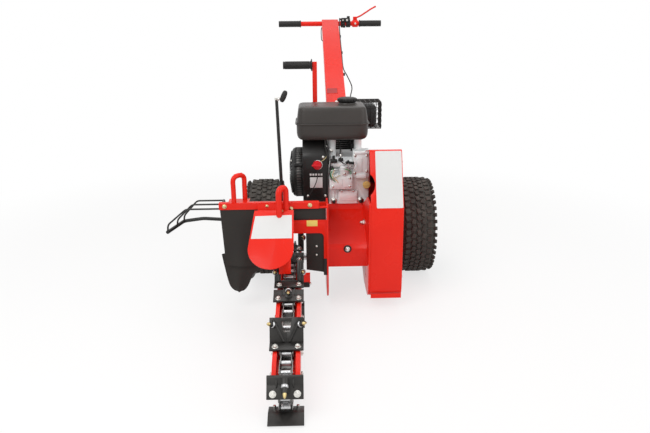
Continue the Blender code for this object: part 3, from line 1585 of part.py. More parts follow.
def throttle_cable(centre):
    """The cable's own route from the lever, down the mast's right side, to the carburettor."""
    side = MAST_WIDTH / 2 + CABLE_RADIUS + 0.0015
    route = [
        centre + Vector((0.0555, -0.010, 0.020)),
        centre + Vector((0.0515, -0.030, 0.026)),
        Vector((side + 0.001, 0.940, mast_top_z(0.940) + 0.004)),
        Vector((side, 0.860, mast_top_z(0.860) - 0.016)),
        Vector((side, 0.700, mast_top_z(0.700) - 0.020)),
        Vector((side, 0.560, mast_top_z(0.560) - 0.018)),
        Vector((side + 0.016, 0.480, 0.790)),
        Vector((side + 0.032, 0.410, 0.748)),
        Vector((side + 0.020, 0.330, 0.712)),
        Vector((0.052, 0.246, 0.640)),
        Vector((0.034, 0.216, 0.592)),
        Vector((0.012, 0.175, 0.577)),
        Vector((-0.002, 0.080, 0.576)),
        Vector((-0.004, -0.060, 0.572)),
        Vector((-0.002, ENGINE_FRONT_Y - 0.010, 0.556)),
        Vector((-0.002, ENGINE_FRONT_Y - 0.020, 0.505 + 0.0143)),
    ]
    finish(tube("throttle_cable", MACHINE, smooth_line(route, 5), CABLE_RADIUS, 1), RUBBER)


def smooth_line(points, steps):
    """Points along the smooth curve that passes through the given points."""
    padded = [points[0], *points, points[-1]]
    line = []
    for before, start, end, after in zip(padded, padded[1:], padded[2:], padded[3:]):
        for i in range(steps):
            t = i / steps
            line.append(
                start
                + (end - before) * t / 2
                + (2 * before - 5 * start + 4 * end - after) * t**2 / 2
                + (3 * start - before - 3 * end + after) * t**3 / 2
            )
    return line + [points[-1]]


def lift_lever():
    """The long lever that sets the digging depth, with its grip."""
    axis = empty("lift_axis", MACHINE, (LIFT_LEVER_X, LIFT_LEVER_Y, LIFT_LEVER_Z))
    half = LIFT_LEVER_BAR / 2
    top = LIFT_LEVER_TOP_Z - LIFT_LEVER_Z
    arm = box("lift_lever", axis, (-half, -half, -0.018), (half, half, top))
    grip_z = LIFT_GRIP_Z - LIFT_LEVER_Z
    spindle_end = -half - 0.006 - LIFT_GRIP_LENGTH
    spindle = rod_between("spindle", axis, (0, 0, grip_z), (spindle_end, 0, grip_z), 0.010)
    bore = rod("lift_bore", axis, "X", (0, 0, 0), LIFT_PIN_RADIUS + RUN, 0.05, 12)
    finish(cut(join(arm, spindle), bore), RED)
    ring = [
        (0.0255, LIFT_GRIP_LENGTH / 2),
        (0.0255, LIFT_GRIP_LENGTH / 2 - 0.005),
        (0.016, LIFT_GRIP_LENGTH / 2 - 0.008),
        (0.0155, -LIFT_GRIP_LENGTH / 2),
        (0.010 + GAP, -LIFT_GRIP_LENGTH / 2),
        (0.010 + GAP, LIFT_GRIP_LENGTH / 2),
    ]
    place = (-half - GAP - LIFT_GRIP_LENGTH / 2, 0, grip_z)
    finish(turned("lift_grip", axis, "X", place, ring, 16, ring=True), RUBBER)


def lock_lever():
    """The thin upright lever in front of the left wheel, with its oval knob."""
    axis = empty("lock_axis", MACHINE, (LOCK_LEVER_X, LOCK_LEVER_Y, LOCK_LEVER_Z))
    top = Vector((LOCK_LEVER_TOP_X - LOCK_LEVER_X, 0, LOCK_LEVER_TOP_Z - LOCK_LEVER_Z))
    hub = rod("lock_lever", axis, "X", (0, 0, 0), 0.012, 0.018, 12)
    stem = rod_between("lock_stem", axis, (0, 0, 0.007), top, 0.0065, 10)
    root, end = top - Vector((0, 0, 0.008)), top + Vector((0.012, 0, 0.004))
    stud = rod_between("lock_stud", axis, root, end, STUD_RADIUS, 8)
    bore = rod("lock_bore", axis, "X", (0, 0, 0), LEVER_PIN_RADIUS + RUN, 0.05, 12)
    finish(cut(join(hub, stem, stud), bore), BLACK_PAINT)
    knob = rod_between(
        "lock_knob",
        axis,
        top + Vector((0.0175, 0, -0.012)),
        top + Vector((0.0385, 0, 0.036)),
        0.010,
        12,
    )
    round_edges(knob, 0.004, 2)
    reach = (end - root).normalized() * GAP
    socket = rod_between("knob_socket", axis, root, end + reach, STUD_RADIUS + 2 * GAP, 8)
    finish(cut(knob, socket), BLACK_PLASTIC)


def rest_on_floor(pivot):
    """Tilts the boom until its lowest point touches the ground."""
    bpy.context.view_layer.update()
    graph = bpy.context.evaluated_depsgraph_get()
    points = []
    for obj in PARTS.objects:
        if obj.type != "MESH" or not obj.name.startswith("cutter_"):
            continue
        seen = obj.evaluated_get(graph)
        local = pivot.matrix_world.inverted() @ seen.matrix_world
        points += [local @ vertex.co for vertex in seen.data.vertices]

    def lowest(tilt):
        return min(HEAD_Z + point.y * sin(tilt) + point.z * cos(tilt) for point in points)

    low, high = 0.0, radians(30)
    for _ in range(40):
        middle = (low + high) / 2
        if lowest(middle) > 0:
            low = middle
        else:
            high = middle
    pivot.rotation_euler.x = low


def centre_on_footprint(root):
    """Moves the machine so that the origin is at the middle of its outline on the ground."""
    bpy.context.view_layer.update()
    graph = bpy.context.evaluated_depsgraph_get()
    corners = []
    for obj in PARTS.objects:
        if obj.type == "MESH":
            seen = obj.evaluated_get(graph)
            corners += [seen.matrix_world @ vertex.co for vertex in seen.data.vertices]
    for axis in (0, 1):
        values = [corner[axis] for corner in corners]
        root.location[axis] = -(min(values) + max(values)) / 2


def build():
    wheel_parts("left", -TRACK / 2)
    wheel_parts("right", TRACK / 2)
    axle()
    main_frame()
    head_shaft_parts()
    chain()
    boom()
    for number, (link, kind) in enumerate(CUTTERS, start=1):
        cutter(number, link, kind)
    engine()
    belt_guard()
    covers()
    mast()
    lift_lever()
    lock_lever()
    rest_on_floor(BOOM_PIVOT)
    centre_on_footprint(MACHINE)


clear_scene()
PARTS = new_collection("chain_trencher")
TOOLS = new_collection("cutters", helper=True)
MACHINE = empty("machine", None, (0, 0, 0))
BOOM_PIVOT = empty("boom_pivot", MACHINE, (0, HEAD_Y, HEAD_Z))
build()
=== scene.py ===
"""Looks of a walk-behind chain trencher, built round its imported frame.

Places are written in the machine's own coordinates: the origin lies on the ground under the middle
of the wheel axle, X points to the right of a viewer who faces the boom's nose, Y from the nose to
the handlebar, and Z up. All sizes are in metres.
"""

import json
import logging
from collections.abc import Callable
from dataclasses import dataclass
from enum import Enum
from math import acos, atan2, cos, pi, radians, sin, tan

import bmesh
import bpy
from mathutils import Euler, Matrix, Vector


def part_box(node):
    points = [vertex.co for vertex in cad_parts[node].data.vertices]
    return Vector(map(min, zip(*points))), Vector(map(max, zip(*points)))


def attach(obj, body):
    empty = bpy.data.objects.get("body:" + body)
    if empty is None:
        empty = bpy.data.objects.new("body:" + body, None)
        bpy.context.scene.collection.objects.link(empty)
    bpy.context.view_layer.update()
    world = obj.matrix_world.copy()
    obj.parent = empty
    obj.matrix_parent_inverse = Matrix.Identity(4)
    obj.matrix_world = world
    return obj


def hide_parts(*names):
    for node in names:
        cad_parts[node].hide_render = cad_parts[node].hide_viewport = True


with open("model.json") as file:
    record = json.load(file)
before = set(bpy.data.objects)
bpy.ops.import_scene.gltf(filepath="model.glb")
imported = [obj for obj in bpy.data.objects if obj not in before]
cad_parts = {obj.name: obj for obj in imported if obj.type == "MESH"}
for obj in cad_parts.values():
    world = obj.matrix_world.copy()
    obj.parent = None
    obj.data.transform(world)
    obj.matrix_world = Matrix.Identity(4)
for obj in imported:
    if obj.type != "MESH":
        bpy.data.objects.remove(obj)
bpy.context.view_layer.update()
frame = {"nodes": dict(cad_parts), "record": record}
LOG = logging.getLogger("trencher")
SCENE = bpy.context.scene.collection

Point = tuple[float, float, float]
Pair = tuple[float, float]
Place = Point | Vector
Outline = list[Pair]
Tree = bpy.types.NodeTree
Node = bpy.types.Node
Socket = bpy.types.NodeSocket
Ends = tuple[Tree, Node, Node]


def joint_place(name: str) -> Vector:
    """A point on the named joint's axis, in the frame's coordinates."""
    joints = {joint["name"]: joint for joint in frame["record"]["behaviour"]["joints"]}
    return Vector(joints[name]["pos_m"])


AXLE = (joint_place("left_wheel_spin") + joint_place("right_wheel_spin")) / 2
ORIGIN = Vector((AXLE.x, AXLE.y, 0.0))
MACHINE = Matrix.Translation(ORIGIN)
CENTRE = Vector((0, 0, 0))
HEAD = joint_place("boom_pivot")
TAIL = joint_place("boom_tail_spin")
BOOM_TILT = atan2(HEAD.z - TAIL.z, HEAD.y - TAIL.y)
BOOM = Matrix.Translation(HEAD) @ Matrix.Rotation(BOOM_TILT, 4, "X")
AXLE_Z = 0.203
SHAFT_RADIUS = 0.0125
CRANK_Z = 0.441
BELT_X = 0.17
MAST_FOOT = Vector((0.0, 0.225, 0.688))
MAST_TILT = radians(24.8)
MAST = MACHINE @ Matrix.Translation(MAST_FOOT) @ Matrix.Rotation(MAST_TILT, 4, "X")

# Turns a shape drawn in its own XY plane so that its Z lies along the named axis, for "Y" along -Y
TO_AXIS = {
    "X": Matrix(((0, 0, 1, 0), (1, 0, 0, 0), (0, 1, 0, 0), (0, 0, 0, 1))),
    "Y": Matrix(((1, 0, 0, 0), (0, 0, -1, 0), (0, 1, 0, 0), (0, 0, 0, 1))),
    "Z": Matrix.Identity(4),
}
RIGHT = Vector((1, 0, 0))
LEFT = Vector((-1, 0, 0))
FRONT = Vector((0, -1, 0))
REAR = Vector((0, 1, 0))
UP = Vector((0, 0, 1))


def halfway(low: Point, high: Point) -> Vector:
    """The middle of a node's box, in the machine's coordinates."""
    return (Vector(low) + Vector(high)) / 2 - ORIGIN


def at(place: Place) -> Matrix:
    """The machine's coordinates moved to a point of it."""
    return MACHINE @ Matrix.Translation(Vector(place))


class Surface(Enum):
    """The families of relief that the finishes use."""

    PAINT = "smooth coat with a faint orange peel"
    CAST = "sand-cast or die-cast metal"
    BRUSHED = "turned or ground metal"
    RUBBER = "moulded rubber"
    PLASTIC = "fine leather grain"
    PAPER = "laminated film"


def group_of(name: str, inputs: dict[str, float | None], outputs: list[str]) -> Ends:
    """A new shader group with its two end nodes.

    Args:
        name: the group's name.
        inputs: each input with its default, or None for a vector.
        outputs: the names of the values that it puts out.

    Returns:
        The tree, its input node and its output node.
    """
    tree = bpy.data.node_groups.new(name, "ShaderNodeTree")
    for label, default in inputs.items():
        kind = "NodeSocketVector" if default is None else "NodeSocketFloat"
        socket = tree.interface.new_socket(label, in_out="INPUT", socket_type=kind)
        if default is not None:
            socket.default_value = default
    for label in outputs:
        tree.interface.new_socket(label, in_out="OUTPUT", socket_type="NodeSocketFloat")
    return tree, tree.nodes.new("NodeGroupInput"), tree.nodes.new("NodeGroupOutput")


def set_inputs(node: Node, values: dict) -> None:
    """Sets the values of a node's inputs, given by name or number."""
    for label, value in values.items():
        node.inputs[label].default_value = value


def node_of(tree: Tree, kind: str, values: dict | None = None, **settings: object) -> Node:
    """A new node.

    Args:
        tree: the tree that it stands in.
        kind: the type of the node.
        values: the values of its inputs, by name or number.
        settings: the node's own attributes.

    Returns:
        The node.
    """
    node = tree.nodes.new(kind)
    for name, value in settings.items():
        setattr(node, name, value)
    set_inputs(node, values or {})
    return node


def wire(tree: Tree, *links: tuple) -> None:
    """Joins sockets, each link given as node, output, node and input."""
    for source, output, target, label in links:
        tree.links.new(source.outputs[output], target.inputs[label])


def grain_group() -> Tree:
    """Broad patches, fine grain and small cells over a surface, each from 0 to 1.

    Returns:
        The shader group.
    """
    tree, start, end = group_of(
        "surface grain", {"Vector": None, "Broad Scale": 9.0, "Fine Scale": 600.0},
        ["Broad", "Fine", "Cells"]
    )
    for label, scale, detail in (("Broad", "Broad Scale", 4.0), ("Fine", "Fine Scale", 3.0)):
        noise = node_of(tree, "ShaderNodeTexNoise", {"Detail": detail})
        wire(
            tree, (start, "Vector", noise, "Vector"), (start, scale, noise, "Scale"),
            (noise, "Fac", end, label),
        )
    cells = node_of(tree, "ShaderNodeTexVoronoi")
    wire(
        tree, (start, "Vector", cells, "Vector"), (start, "Fine Scale", cells, "Scale"),
        (cells, "Distance", end, "Cells"),
    )
    return tree


def streak_group() -> Tree:
    """Fine parallel marks across X, such as a cutting tool leaves.

    Returns:
        The shader group.
    """
    tree, start, end = group_of("tool marks", {"Vector": None, "Scale": 900.0}, ["Streak"])
    squeeze = node_of(tree, "ShaderNodeMapping", {"Scale": (1.0, 0.03, 0.03)})
    noise = node_of(tree, "ShaderNodeTexNoise")
    wire(
        tree, (start, "Vector", squeeze, "Vector"), (squeeze, "Vector", noise, "Vector"),
        (start, "Scale", noise, "Scale"), (noise, "Fac", end, "Streak"),
    )
    return tree


def dust_group() -> Tree:
    """Where dust settles: on faces that look up, in patches.

    Returns:
        The shader group.
    """
    tree, start, end = group_of("settled dust", {"Vector": None, "Amount": 0.3}, ["Mask"])
    shape = node_of(tree, "ShaderNodeNewGeometry")
    split = node_of(tree, "ShaderNodeSeparateXYZ")
    rise = node_of(tree, "ShaderNodeMapRange", {"From Min": -0.4})
    noise = node_of(tree, "ShaderNodeTexNoise", {"Scale": 34.0, "Detail": 6.0})
    patch = node_of(tree, "ShaderNodeMapRange", {"From Min": 0.38, "From Max": 0.72})
    both = node_of(tree, "ShaderNodeMath", operation="MULTIPLY")
    level = node_of(tree, "ShaderNodeMath", operation="MULTIPLY")
    wire(
        tree, (shape, "Normal", split, "Vector"), (split, "Z", rise, "Value"),
        (start, "Vector", noise, "Vector"), (noise, "Fac", patch, "Value"),
        (rise, "Result", both, 0), (patch, "Result", both, 1),
        (both, "Value", level, 0), (start, "Amount", level, 1), (level, "Value", end, "Mask"),
    )
    return tree


GROUPS: dict[str, Tree] = {}
DUST_COLOUR = (0.34, 0.31, 0.27)
COAT_ROUGHNESS = 0.08
NOISE_RANGE = (0.25, 0.75)


@dataclass(frozen=True)
class Finish:
    """A finish of the machine: its colours, its gloss and the relief of its surface."""

    name: str
    colour: Point
    shade: Point
    rough: Pair
    kind: Surface
    metallic: float = 0.0
    coat: float = 0.0
    relief: float = 0.0001
    fine_scale: float = 700.0
    broad_scale: float = 9.0
    dust: float = 0.0
    gleam: float = 0.3

    def material(self) -> bpy.types.Material:
        """The finish as a material, made once.

        Returns:
            The material.
        """
        found = bpy.data.materials.get(self.name)
        if found:
            return found
        material = bpy.data.materials.new(self.name)
        material.use_nodes = True
        tree = material.node_tree
        shader = tree.nodes["Principled BSDF"]
        coat = {"Coat Weight": self.coat, "Coat Roughness": COAT_ROUGHNESS}
        set_inputs(shader, {"Metallic": self.metallic, "Specular IOR Level": self.gleam, **coat})
        place = node_of(tree, "ShaderNodeTexCoord").outputs["Object"]
        scales = {"Broad Scale": self.broad_scale, "Fine Scale": self.fine_scale}
        grain = self.group(tree, "grain", grain_group, place, scales)
        colour = self.blend(tree, grain.outputs["Broad"], self.colour, self.shade)
        if self.dust:
            dust = self.group(tree, "dust", dust_group, place, {"Amount": self.dust})
            colour = self.blend(tree, dust.outputs["Mask"], colour, DUST_COLOUR)
        tree.links.new(colour, shader.inputs["Base Color"])
        labels = ("From Min", "From Max", "To Min", "To Max")
        gloss = node_of(tree, "ShaderNodeMapRange", dict(zip(labels, NOISE_RANGE + self.rough)))
        wire(tree, (grain, "Broad", gloss, "Value"), (gloss, "Result", shader, "Roughness"))
        height = self.height(tree, grain, place)
        bump = node_of(tree, "ShaderNodeBump", {"Strength": 1.0, "Distance": self.relief})
        tree.links.new(height, bump.inputs["Height"])
        wire(tree, (bump, "Normal", shader, "Normal"))
        return material

    def group(self, tree: Tree, key: str, maker: Callable[[], Tree], place: Socket, values: dict) -> Node:
        """Places a shared group in this material and gives it the surface's coordinates.

        Args:
            tree: the material's tree.
            key: the group's name in the store of groups.
            maker: the function that builds the group.
            place: the socket of the coordinates.
            values: the group's other inputs by name.

        Returns:
            The group's node.
        """
        if key not in GROUPS:
            GROUPS[key] = maker()
        node = node_of(tree, "ShaderNodeGroup", node_tree=GROUPS[key])
        set_inputs(node, values)
        tree.links.new(place, node.inputs["Vector"])
        return node

    def blend(self, tree: Tree, mask: Socket, one: Point | Socket, two: Point) -> Socket:
        """Mixes two colours, or a colour and another node's colour, by a mask.

        Args:
            tree: the material's tree.
            mask: the socket that holds the mask.
            one: a colour, or the socket of one.
            two: the colour where the mask is 1.

        Returns:
            The socket of the mixed colour.
        """
        mix = node_of(tree, "ShaderNodeMix", data_type="RGBA")
        tree.links.new(mask, mix.inputs["Factor"])
        if isinstance(one, tuple):
            mix.inputs["A"].default_value = (*one, 1.0)
        else:
            tree.links.new(one, mix.inputs["A"])
        mix.inputs["B"].default_value = (*two, 1.0)
        return mix.outputs["Result"]

    def height(self, tree: Tree, grain: Node, place: Socket) -> Socket:
        """The socket of the relief that this kind of surface has.

        Args:
            tree: the material's tree.
            grain: the node of the surface's grain.
            place: the socket of the coordinates.

        Returns:
            The socket.
        """
        if self.kind is Surface.BRUSHED:
            return self.group(
                tree, "marks", streak_group, place, {"Scale": self.fine_scale}
            ).outputs["Streak"]
        if self.kind in (Surface.PLASTIC, Surface.RUBBER):
            return grain.outputs["Cells"]
        return grain.outputs["Fine"]


def paint(name: str, colour: Point, shade: Point, rough: Pair = (0.24, 0.34), **more: float) -> Finish:
    """A powder coat."""
    look = {"coat": 0.1, "relief": 0.00004, "fine_scale": 420.0, **more}
    return Finish(name, colour, shade, rough, Surface.PAINT, **look)


def metal(
    name: str, colour: Point, shade: Point, rough: Pair, kind: Surface = Surface.BRUSHED, **more: float
) -> Finish:
    """A bare metal."""
    return Finish(name, colour, shade, rough, kind, **{"metallic": 1.0, "gleam": 0.5, **more})


RED = paint("red_powder_coat", (0.8, 0.022, 0.009), (0.7, 0.014, 0.006), gleam=0.18, coat=0.05)
# Painted shade: a darker red that stands in for the shade inside a recess.
RED_SHADE = paint("red_painted_shade", (0.42, 0.006, 0.006), (0.34, 0.004, 0.004), rough=(0.35, 0.5))
BLACK = paint("black_satin_coat", (0.009, 0.0085, 0.008), (0.015, 0.014, 0.013), rough=(0.3, 0.42))
TANK_BLACK = Finish(
    "black_tank_coat", (0.034, 0.03, 0.027), (0.05, 0.044, 0.04), (0.3, 0.46), Surface.PAINT,
    relief=0.00008, fine_scale=900.0,
)
CAGE_BLACK = paint("black_wire_coat", (0.01, 0.009, 0.008), (0.02, 0.018, 0.016), rough=(0.42, 0.6))
PLASTIC = Finish(
    "black_moulded_plastic", (0.01, 0.0095, 0.009), (0.018, 0.017, 0.016), (0.38, 0.54), Surface.PLASTIC,
    relief=0.00012, fine_scale=1100.0,
)
TYRE = Finish(
    "tyre_rubber", (0.03, 0.027, 0.024), (0.062, 0.055, 0.048), (0.72, 0.92), Surface.RUBBER,
    relief=0.0002, fine_scale=500.0, broad_scale=22.0, dust=0.22,
)
RUBBER = Finish(
    "flap_rubber", (0.012, 0.01, 0.009), (0.03, 0.026, 0.022), (0.5, 0.72), Surface.RUBBER,
    relief=0.00015, fine_scale=800.0, broad_scale=14.0,
)
GRIP = Finish(
    "grip_rubber", (0.01, 0.0095, 0.009), (0.022, 0.021, 0.02), (0.5, 0.66), Surface.RUBBER,
    relief=0.00012, fine_scale=1300.0,
)
CAST = metal(
    "die_cast_aluminium", (0.92, 0.95, 0.95), (0.8, 0.82, 0.82), (0.4, 0.56), Surface.CAST,
    metallic=0.0, relief=0.00022, fine_scale=850.0, broad_scale=26.0,
)
STEEL = metal("machined_steel", (0.58, 0.58, 0.58), (0.46, 0.46, 0.47), (0.22, 0.36), relief=0.00008)
ZINC = metal("zinc_plated_bolt", (0.72, 0.71, 0.68), (0.58, 0.56, 0.52), (0.2, 0.34), relief=0.00006)
LINK = metal(
    "oiled_chain_steel", (0.3, 0.29, 0.28), (0.1, 0.095, 0.09), (0.24, 0.42), Surface.CAST,
    relief=0.00014, fine_scale=600.0, broad_scale=60.0,
)
FORGED = Finish(
    "blackened_forged_steel", (0.01, 0.0095, 0.009), (0.034, 0.031, 0.028), (0.3, 0.48), Surface.CAST,
    metallic=0.35, gleam=0.5, relief=0.00025, fine_scale=480.0, broad_scale=40.0,
)
CARBIDE = metal("brazed_tooth_tip", (0.62, 0.5, 0.24), (0.44, 0.34, 0.16), (0.3, 0.46), Surface.CAST)
BRASS = metal("passivated_zinc", (0.62, 0.52, 0.26), (0.48, 0.42, 0.26), (0.26, 0.4))
WHITE_FILM = Finish(
    "plain_white_film", (0.72, 0.72, 0.71), (0.67, 0.67, 0.66), (0.24, 0.34), Surface.PAPER, gleam=0.2,
    relief=0.00002
)
YELLOW_FILM = Finish(
    "plain_yellow_film", (0.8, 0.62, 0.16), (0.74, 0.55, 0.12), (0.24, 0.34), Surface.PAPER, relief=0.00002
)
YELLOW_PLASTIC = Finish(
    "yellow_cap_plastic", (0.78, 0.56, 0.2), (0.66, 0.45, 0.14), (0.36, 0.5), Surface.PLASTIC, relief=0.00008
)
RED_PLASTIC = Finish(
    "red_switch_plastic", (0.74, 0.02, 0.03), (0.6, 0.012, 0.02), (0.3, 0.42), Surface.PLASTIC,
    relief=0.00006
)
GREEN_WIRE = Finish(
    "green_wire_jacket", (0.03, 0.3, 0.05), (0.02, 0.22, 0.035), (0.4, 0.55), Surface.PLASTIC, relief=0.00004
)
SCREEN = metal("starter_screen", (0.16, 0.15, 0.14), (0.08, 0.08, 0.08), (0.4, 0.6), Surface.CAST)


SEAM_GAP = 0.00002
FLAT_ANGLE = radians(1.0)


def arc(centre: Pair, radius: float, start: float, end: float, steps: int) -> Outline:
    """Points on a circle from one angle to another, both ends included.

    Args:
        centre: the circle's centre.
        radius: its radius.
        start: the first point's angle.
        end: the last point's angle.
        steps: how many runs lie between them.

    Returns:
        The points.
    """
    turn = (end - start) / steps
    angles = [start + turn * i for i in range(steps + 1)]
    return [(centre[0] + radius * cos(a), centre[1] + radius * sin(a)) for a in angles]


def rounded(corners: list[tuple[float, float, float]], steps: int = 6) -> Outline:
    """An outline of (across, up, radius) corners with each radius drawn as an arc.

    Args:
        corners: the corners, in order.
        steps: how many runs an arc has.

    Returns:
        The outline.
    """
    outline = []
    for i, (across, up, radius) in enumerate(corners):
        here = Vector((across, up))
        if radius == 0:
            outline.append(tuple(here))
            continue
        back = (Vector(corners[i - 1][:2]) - here).normalized()
        on = (Vector(corners[(i + 1) % len(corners)][:2]) - here).normalized()
        half = acos(max(-1.0, min(1.0, back.dot(on)))) / 2
        centre = here + (back + on).normalized() * radius / sin(half)
        first = here + back * radius / tan(half) - centre
        last = here + on * radius / tan(half) - centre
        start = atan2(first.y, first.x)
        sweep = (atan2(last.y, last.x) - start + pi) % (2 * pi) - pi
        outline += arc(tuple(centre), radius, start, start + sweep, steps)
    return outline


def smooth_line(points: list[Point], steps: int) -> list[Vector]:
    """Points along the smooth curve that passes through the given points.

    Args:
        points: the points, in order.
        steps: how many runs lie between two of them.

    Returns:
        The curve's points.
    """
    way = [Vector(point) for point in points]
    padded = [way[0], *way, way[-1]]
    line = []
    for before, start, end, after in zip(padded, padded[1:], padded[2:], padded[3:]):
        for i in range(steps):
            t = i / steps
            line.append(
                start
                + (end - before) * t / 2
                + (2 * before - 5 * start + 4 * end - after) * t**2 / 2
                + (3 * start - before - 3 * end + after) * t**3 / 2
            )
    return line + [way[-1]]


def circle(count: int, phase: float = 0.0) -> list[float]:
    """Equally spaced angles round a circle."""
    return [phase + 2 * pi * i / count for i in range(count)]


def skin(part: bmesh.types.BMesh, rings: list[list]) -> None:
    """Joins rings of as many points with faces and closes both ends.

    Args:
        part: the mesh that the rings are in.
        rings: the rings' vertices, in order.
    """
    for one, two in zip(rings, rings[1:]):
        for i in range(len(one)):
            j = (i + 1) % len(one)
            part.faces.new([one[i], one[j], two[j], two[i]])
    part.faces.new(rings[0])
    part.faces.new(rings[-1])


def turn_to(direction: Vector) -> Matrix:
    """A rotation that lays a shape's Z along a direction."""
    return Vector(direction).to_track_quat("Z", "Y").to_matrix().to_4x4()


def button(radius: float, rim: float, crown: float, height: float) -> Outline:
    """The profile of a flat round form: its radius up to its rim, then in to its crown."""
    return [(0, 0), (radius, 0), (radius, rim), (crown, height), (0, height)]


def collar(bore: float, foot: float, radius: float, ease: float, length: float) -> Outline:
    """The profile of a ring whose outer edges are eased."""
    return [(bore, 0), (foot, 0), (radius, ease), (radius, length - ease), (foot, length), (bore, length)]


class Form:
    """A mesh that is being made, in the coordinates of the part of the machine that carries it."""

    def __init__(self, place: Matrix = MACHINE) -> None:
        """Starts an empty mesh in the given coordinates.

        Args:
            place: the coordinates of what is added, in the frame's.
        """
        self.mesh = bmesh.new()
        self.place = place
        self.finishes: list[Finish] = []
        self.index = 0

    def use(self, finish: Finish) -> "Form":
        """Sets the finish of what is added next.

        Args:
            finish: the finish.

        Returns:
            The form.
        """
        if finish not in self.finishes:
            self.finishes.append(finish)
        self.index = self.finishes.index(finish)
        return self

    def add(self, part: bmesh.types.BMesh, turn: Matrix = TO_AXIS["Z"], outwards: bool = True) -> "Form":
        """Takes in a part, with its faces turned outwards and in the finish in use.

        Args:
            part: the part, which is freed.
            turn: moves the part to its place.
            outwards: whether its faces still have to be turned.

        Returns:
            The form.
        """
        if outwards:
            bmesh.ops.recalc_face_normals(part, faces=part.faces)
        part.transform(self.place @ turn)
        for face in part.faces:
            face.material_index = self.index
            face.smooth = True
        mesh = bpy.data.meshes.new("part")
        part.to_mesh(mesh)
        part.free()
        self.mesh.from_mesh(mesh)
        bpy.data.meshes.remove(mesh)
        return self

    def box(
        self, low: Place, high: Place, edge: float = 0.0, turn: Matrix = TO_AXIS["Z"], segments: int = 2
    ) -> "Form":
        """Adds a box between two corners, with its edges rounded by the given radius.

        Args:
            low: the lowest corner.
            high: the highest corner.
            edge: the radius.
            turn: moves the box to its place.
            segments: how many faces a rounding has.

        Returns:
            The form.
        """
        low, high = Vector(low), Vector(high)
        part = bmesh.new()
        bmesh.ops.create_cube(part, size=1.0)
        bmesh.ops.scale(part, vec=high - low, verts=part.verts)
        bmesh.ops.translate(part, vec=(low + high) / 2, verts=part.verts)
        if edge:
            bmesh.ops.bevel(
                part, geom=part.edges[:], offset=edge, segments=segments, profile=0.5, affect="EDGES"
            )
        return self.add(part, turn)

    def boxes(self, rows: list[tuple]) -> "Form":
        """Adds boxes given as (low corner, high corner, edge radius) rows.

        Args:
            rows: the boxes.

        Returns:
            The form.
        """
        for low, high, edge in rows:
            self.box(low, high, edge)
        return self

    def lathe(
        self, centre: Place, direction: Vector, profile: Outline, sides: int = 48, ring: bool = False
    ) -> "Form":
        """Adds a profile of (radius, height) points turned about a direction.

        Args:
            centre: the point of height 0.
            direction: the way in which height grows.
            profile: the points, in order.
            sides: how many steps the turn has.
            ring: whether the profile closes on itself.

        Returns:
            The form.
        """
        part = bmesh.new()
        rings = []
        for radius, height in profile:
            if radius < 1e-6:
                rings.append([part.verts.new((0, 0, height))])
                continue
            rings.append([part.verts.new((radius * cos(a), radius * sin(a), height)) for a in circle(sides)])
        pairs = list(zip(rings, rings[1:]))
        if ring:
            pairs.append((rings[-1], rings[0]))
        for one, two in pairs:
            for i in range(sides):
                j = (i + 1) % sides
                corners = [one[i % len(one)], one[j % len(one)], two[j % len(two)], two[i % len(two)]]
                corners = list(dict.fromkeys(corners))
                if len(corners) > 2:
                    part.faces.new(corners)
        return self.add(part, Matrix.Translation(Vector(centre)) @ turn_to(direction))

    def rod(
        self, start: Place, end: Place, radius: float, end_radius: float | None = None,
        edge: float = 0.0006, sides: int = 32,
    ) -> "Form":
        """Adds a round bar, or a cone, with its end edges eased.

        Args:
            start: the middle of one end.
            end: the middle of the other.
            radius: the first end's radius.
            end_radius: the other end's, where it differs.
            edge: the size of the ease.
            sides: how many faces the bar has.

        Returns:
            The form.
        """
        start, end = Vector(start), Vector(end)
        length = (end - start).length
        last = radius if end_radius is None else end_radius
        edge = min(edge, radius / 2, last / 2, length / 3)
        profile = [
            (0, 0), (radius - edge, 0), (radius, edge), (last, length - edge), (last - edge, length),
            (0, length),
        ]
        return self.lathe(start, end - start, profile, sides)

    def tube(self, points: list[Place], radius: float, sides: int = 12) -> "Form":
        """Adds a round wire or bar that follows a line of points.

        Args:
            points: the line.
            radius: the wire's radius.
            sides: how many faces it has round it.

        Returns:
            The form.
        """
        line = [Vector(point) for point in points]
        part = bmesh.new()
        side = (line[1] - line[0]).orthogonal().normalized()
        rings = []
        for i, point in enumerate(line):
            ahead = (line[min(i + 1, len(line) - 1)] - line[max(i - 1, 0)]).normalized()
            side = (side - ahead * side.dot(ahead)).normalized()
            other = ahead.cross(side)
            rings.append(
                [part.verts.new(point + (side * cos(a) + other * sin(a)) * radius) for a in circle(sides)]
            )
        skin(part, rings)
        return self.add(part)

    def wire(self, points: list[Place], radius: float, sides: int, steps: int) -> "Form":
        """Adds a wire along the smooth curve through some points."""
        return self.tube(smooth_line(points, steps), radius, sides)

    def slab(
        self, outline: Outline, axis: str, low: float, high: float, edge: float = 0.0, segments: int = 2
    ) -> "Form":
        """Adds a flat outline extruded along X, Z or the reverse of Y, with its rims rounded.

        Args:
            outline: the outline.
            axis: the axis: X, Y or Z.
            low: where it starts.
            high: where it ends.
            edge: the radius.
            segments: how many faces a rounding has.

        Returns:
            The form.
        """
        part = bmesh.new()
        lower = [part.verts.new((x, y, low)) for x, y in outline]
        upper = [part.verts.new((x, y, high)) for x, y in outline]
        part.faces.new(lower)
        part.faces.new(upper)
        for i in range(len(outline)):
            j = (i + 1) % len(outline)
            part.faces.new([lower[i], lower[j], upper[j], upper[i]])
        bmesh.ops.recalc_face_normals(part, faces=part.faces)
        if edge:
            rims = [e for e in part.edges if e.calc_face_angle(0) > radians(30)]
            bmesh.ops.bevel(part, geom=rims, offset=edge, segments=segments, profile=0.5, affect="EDGES")
        return self.add(part, TO_AXIS[axis])

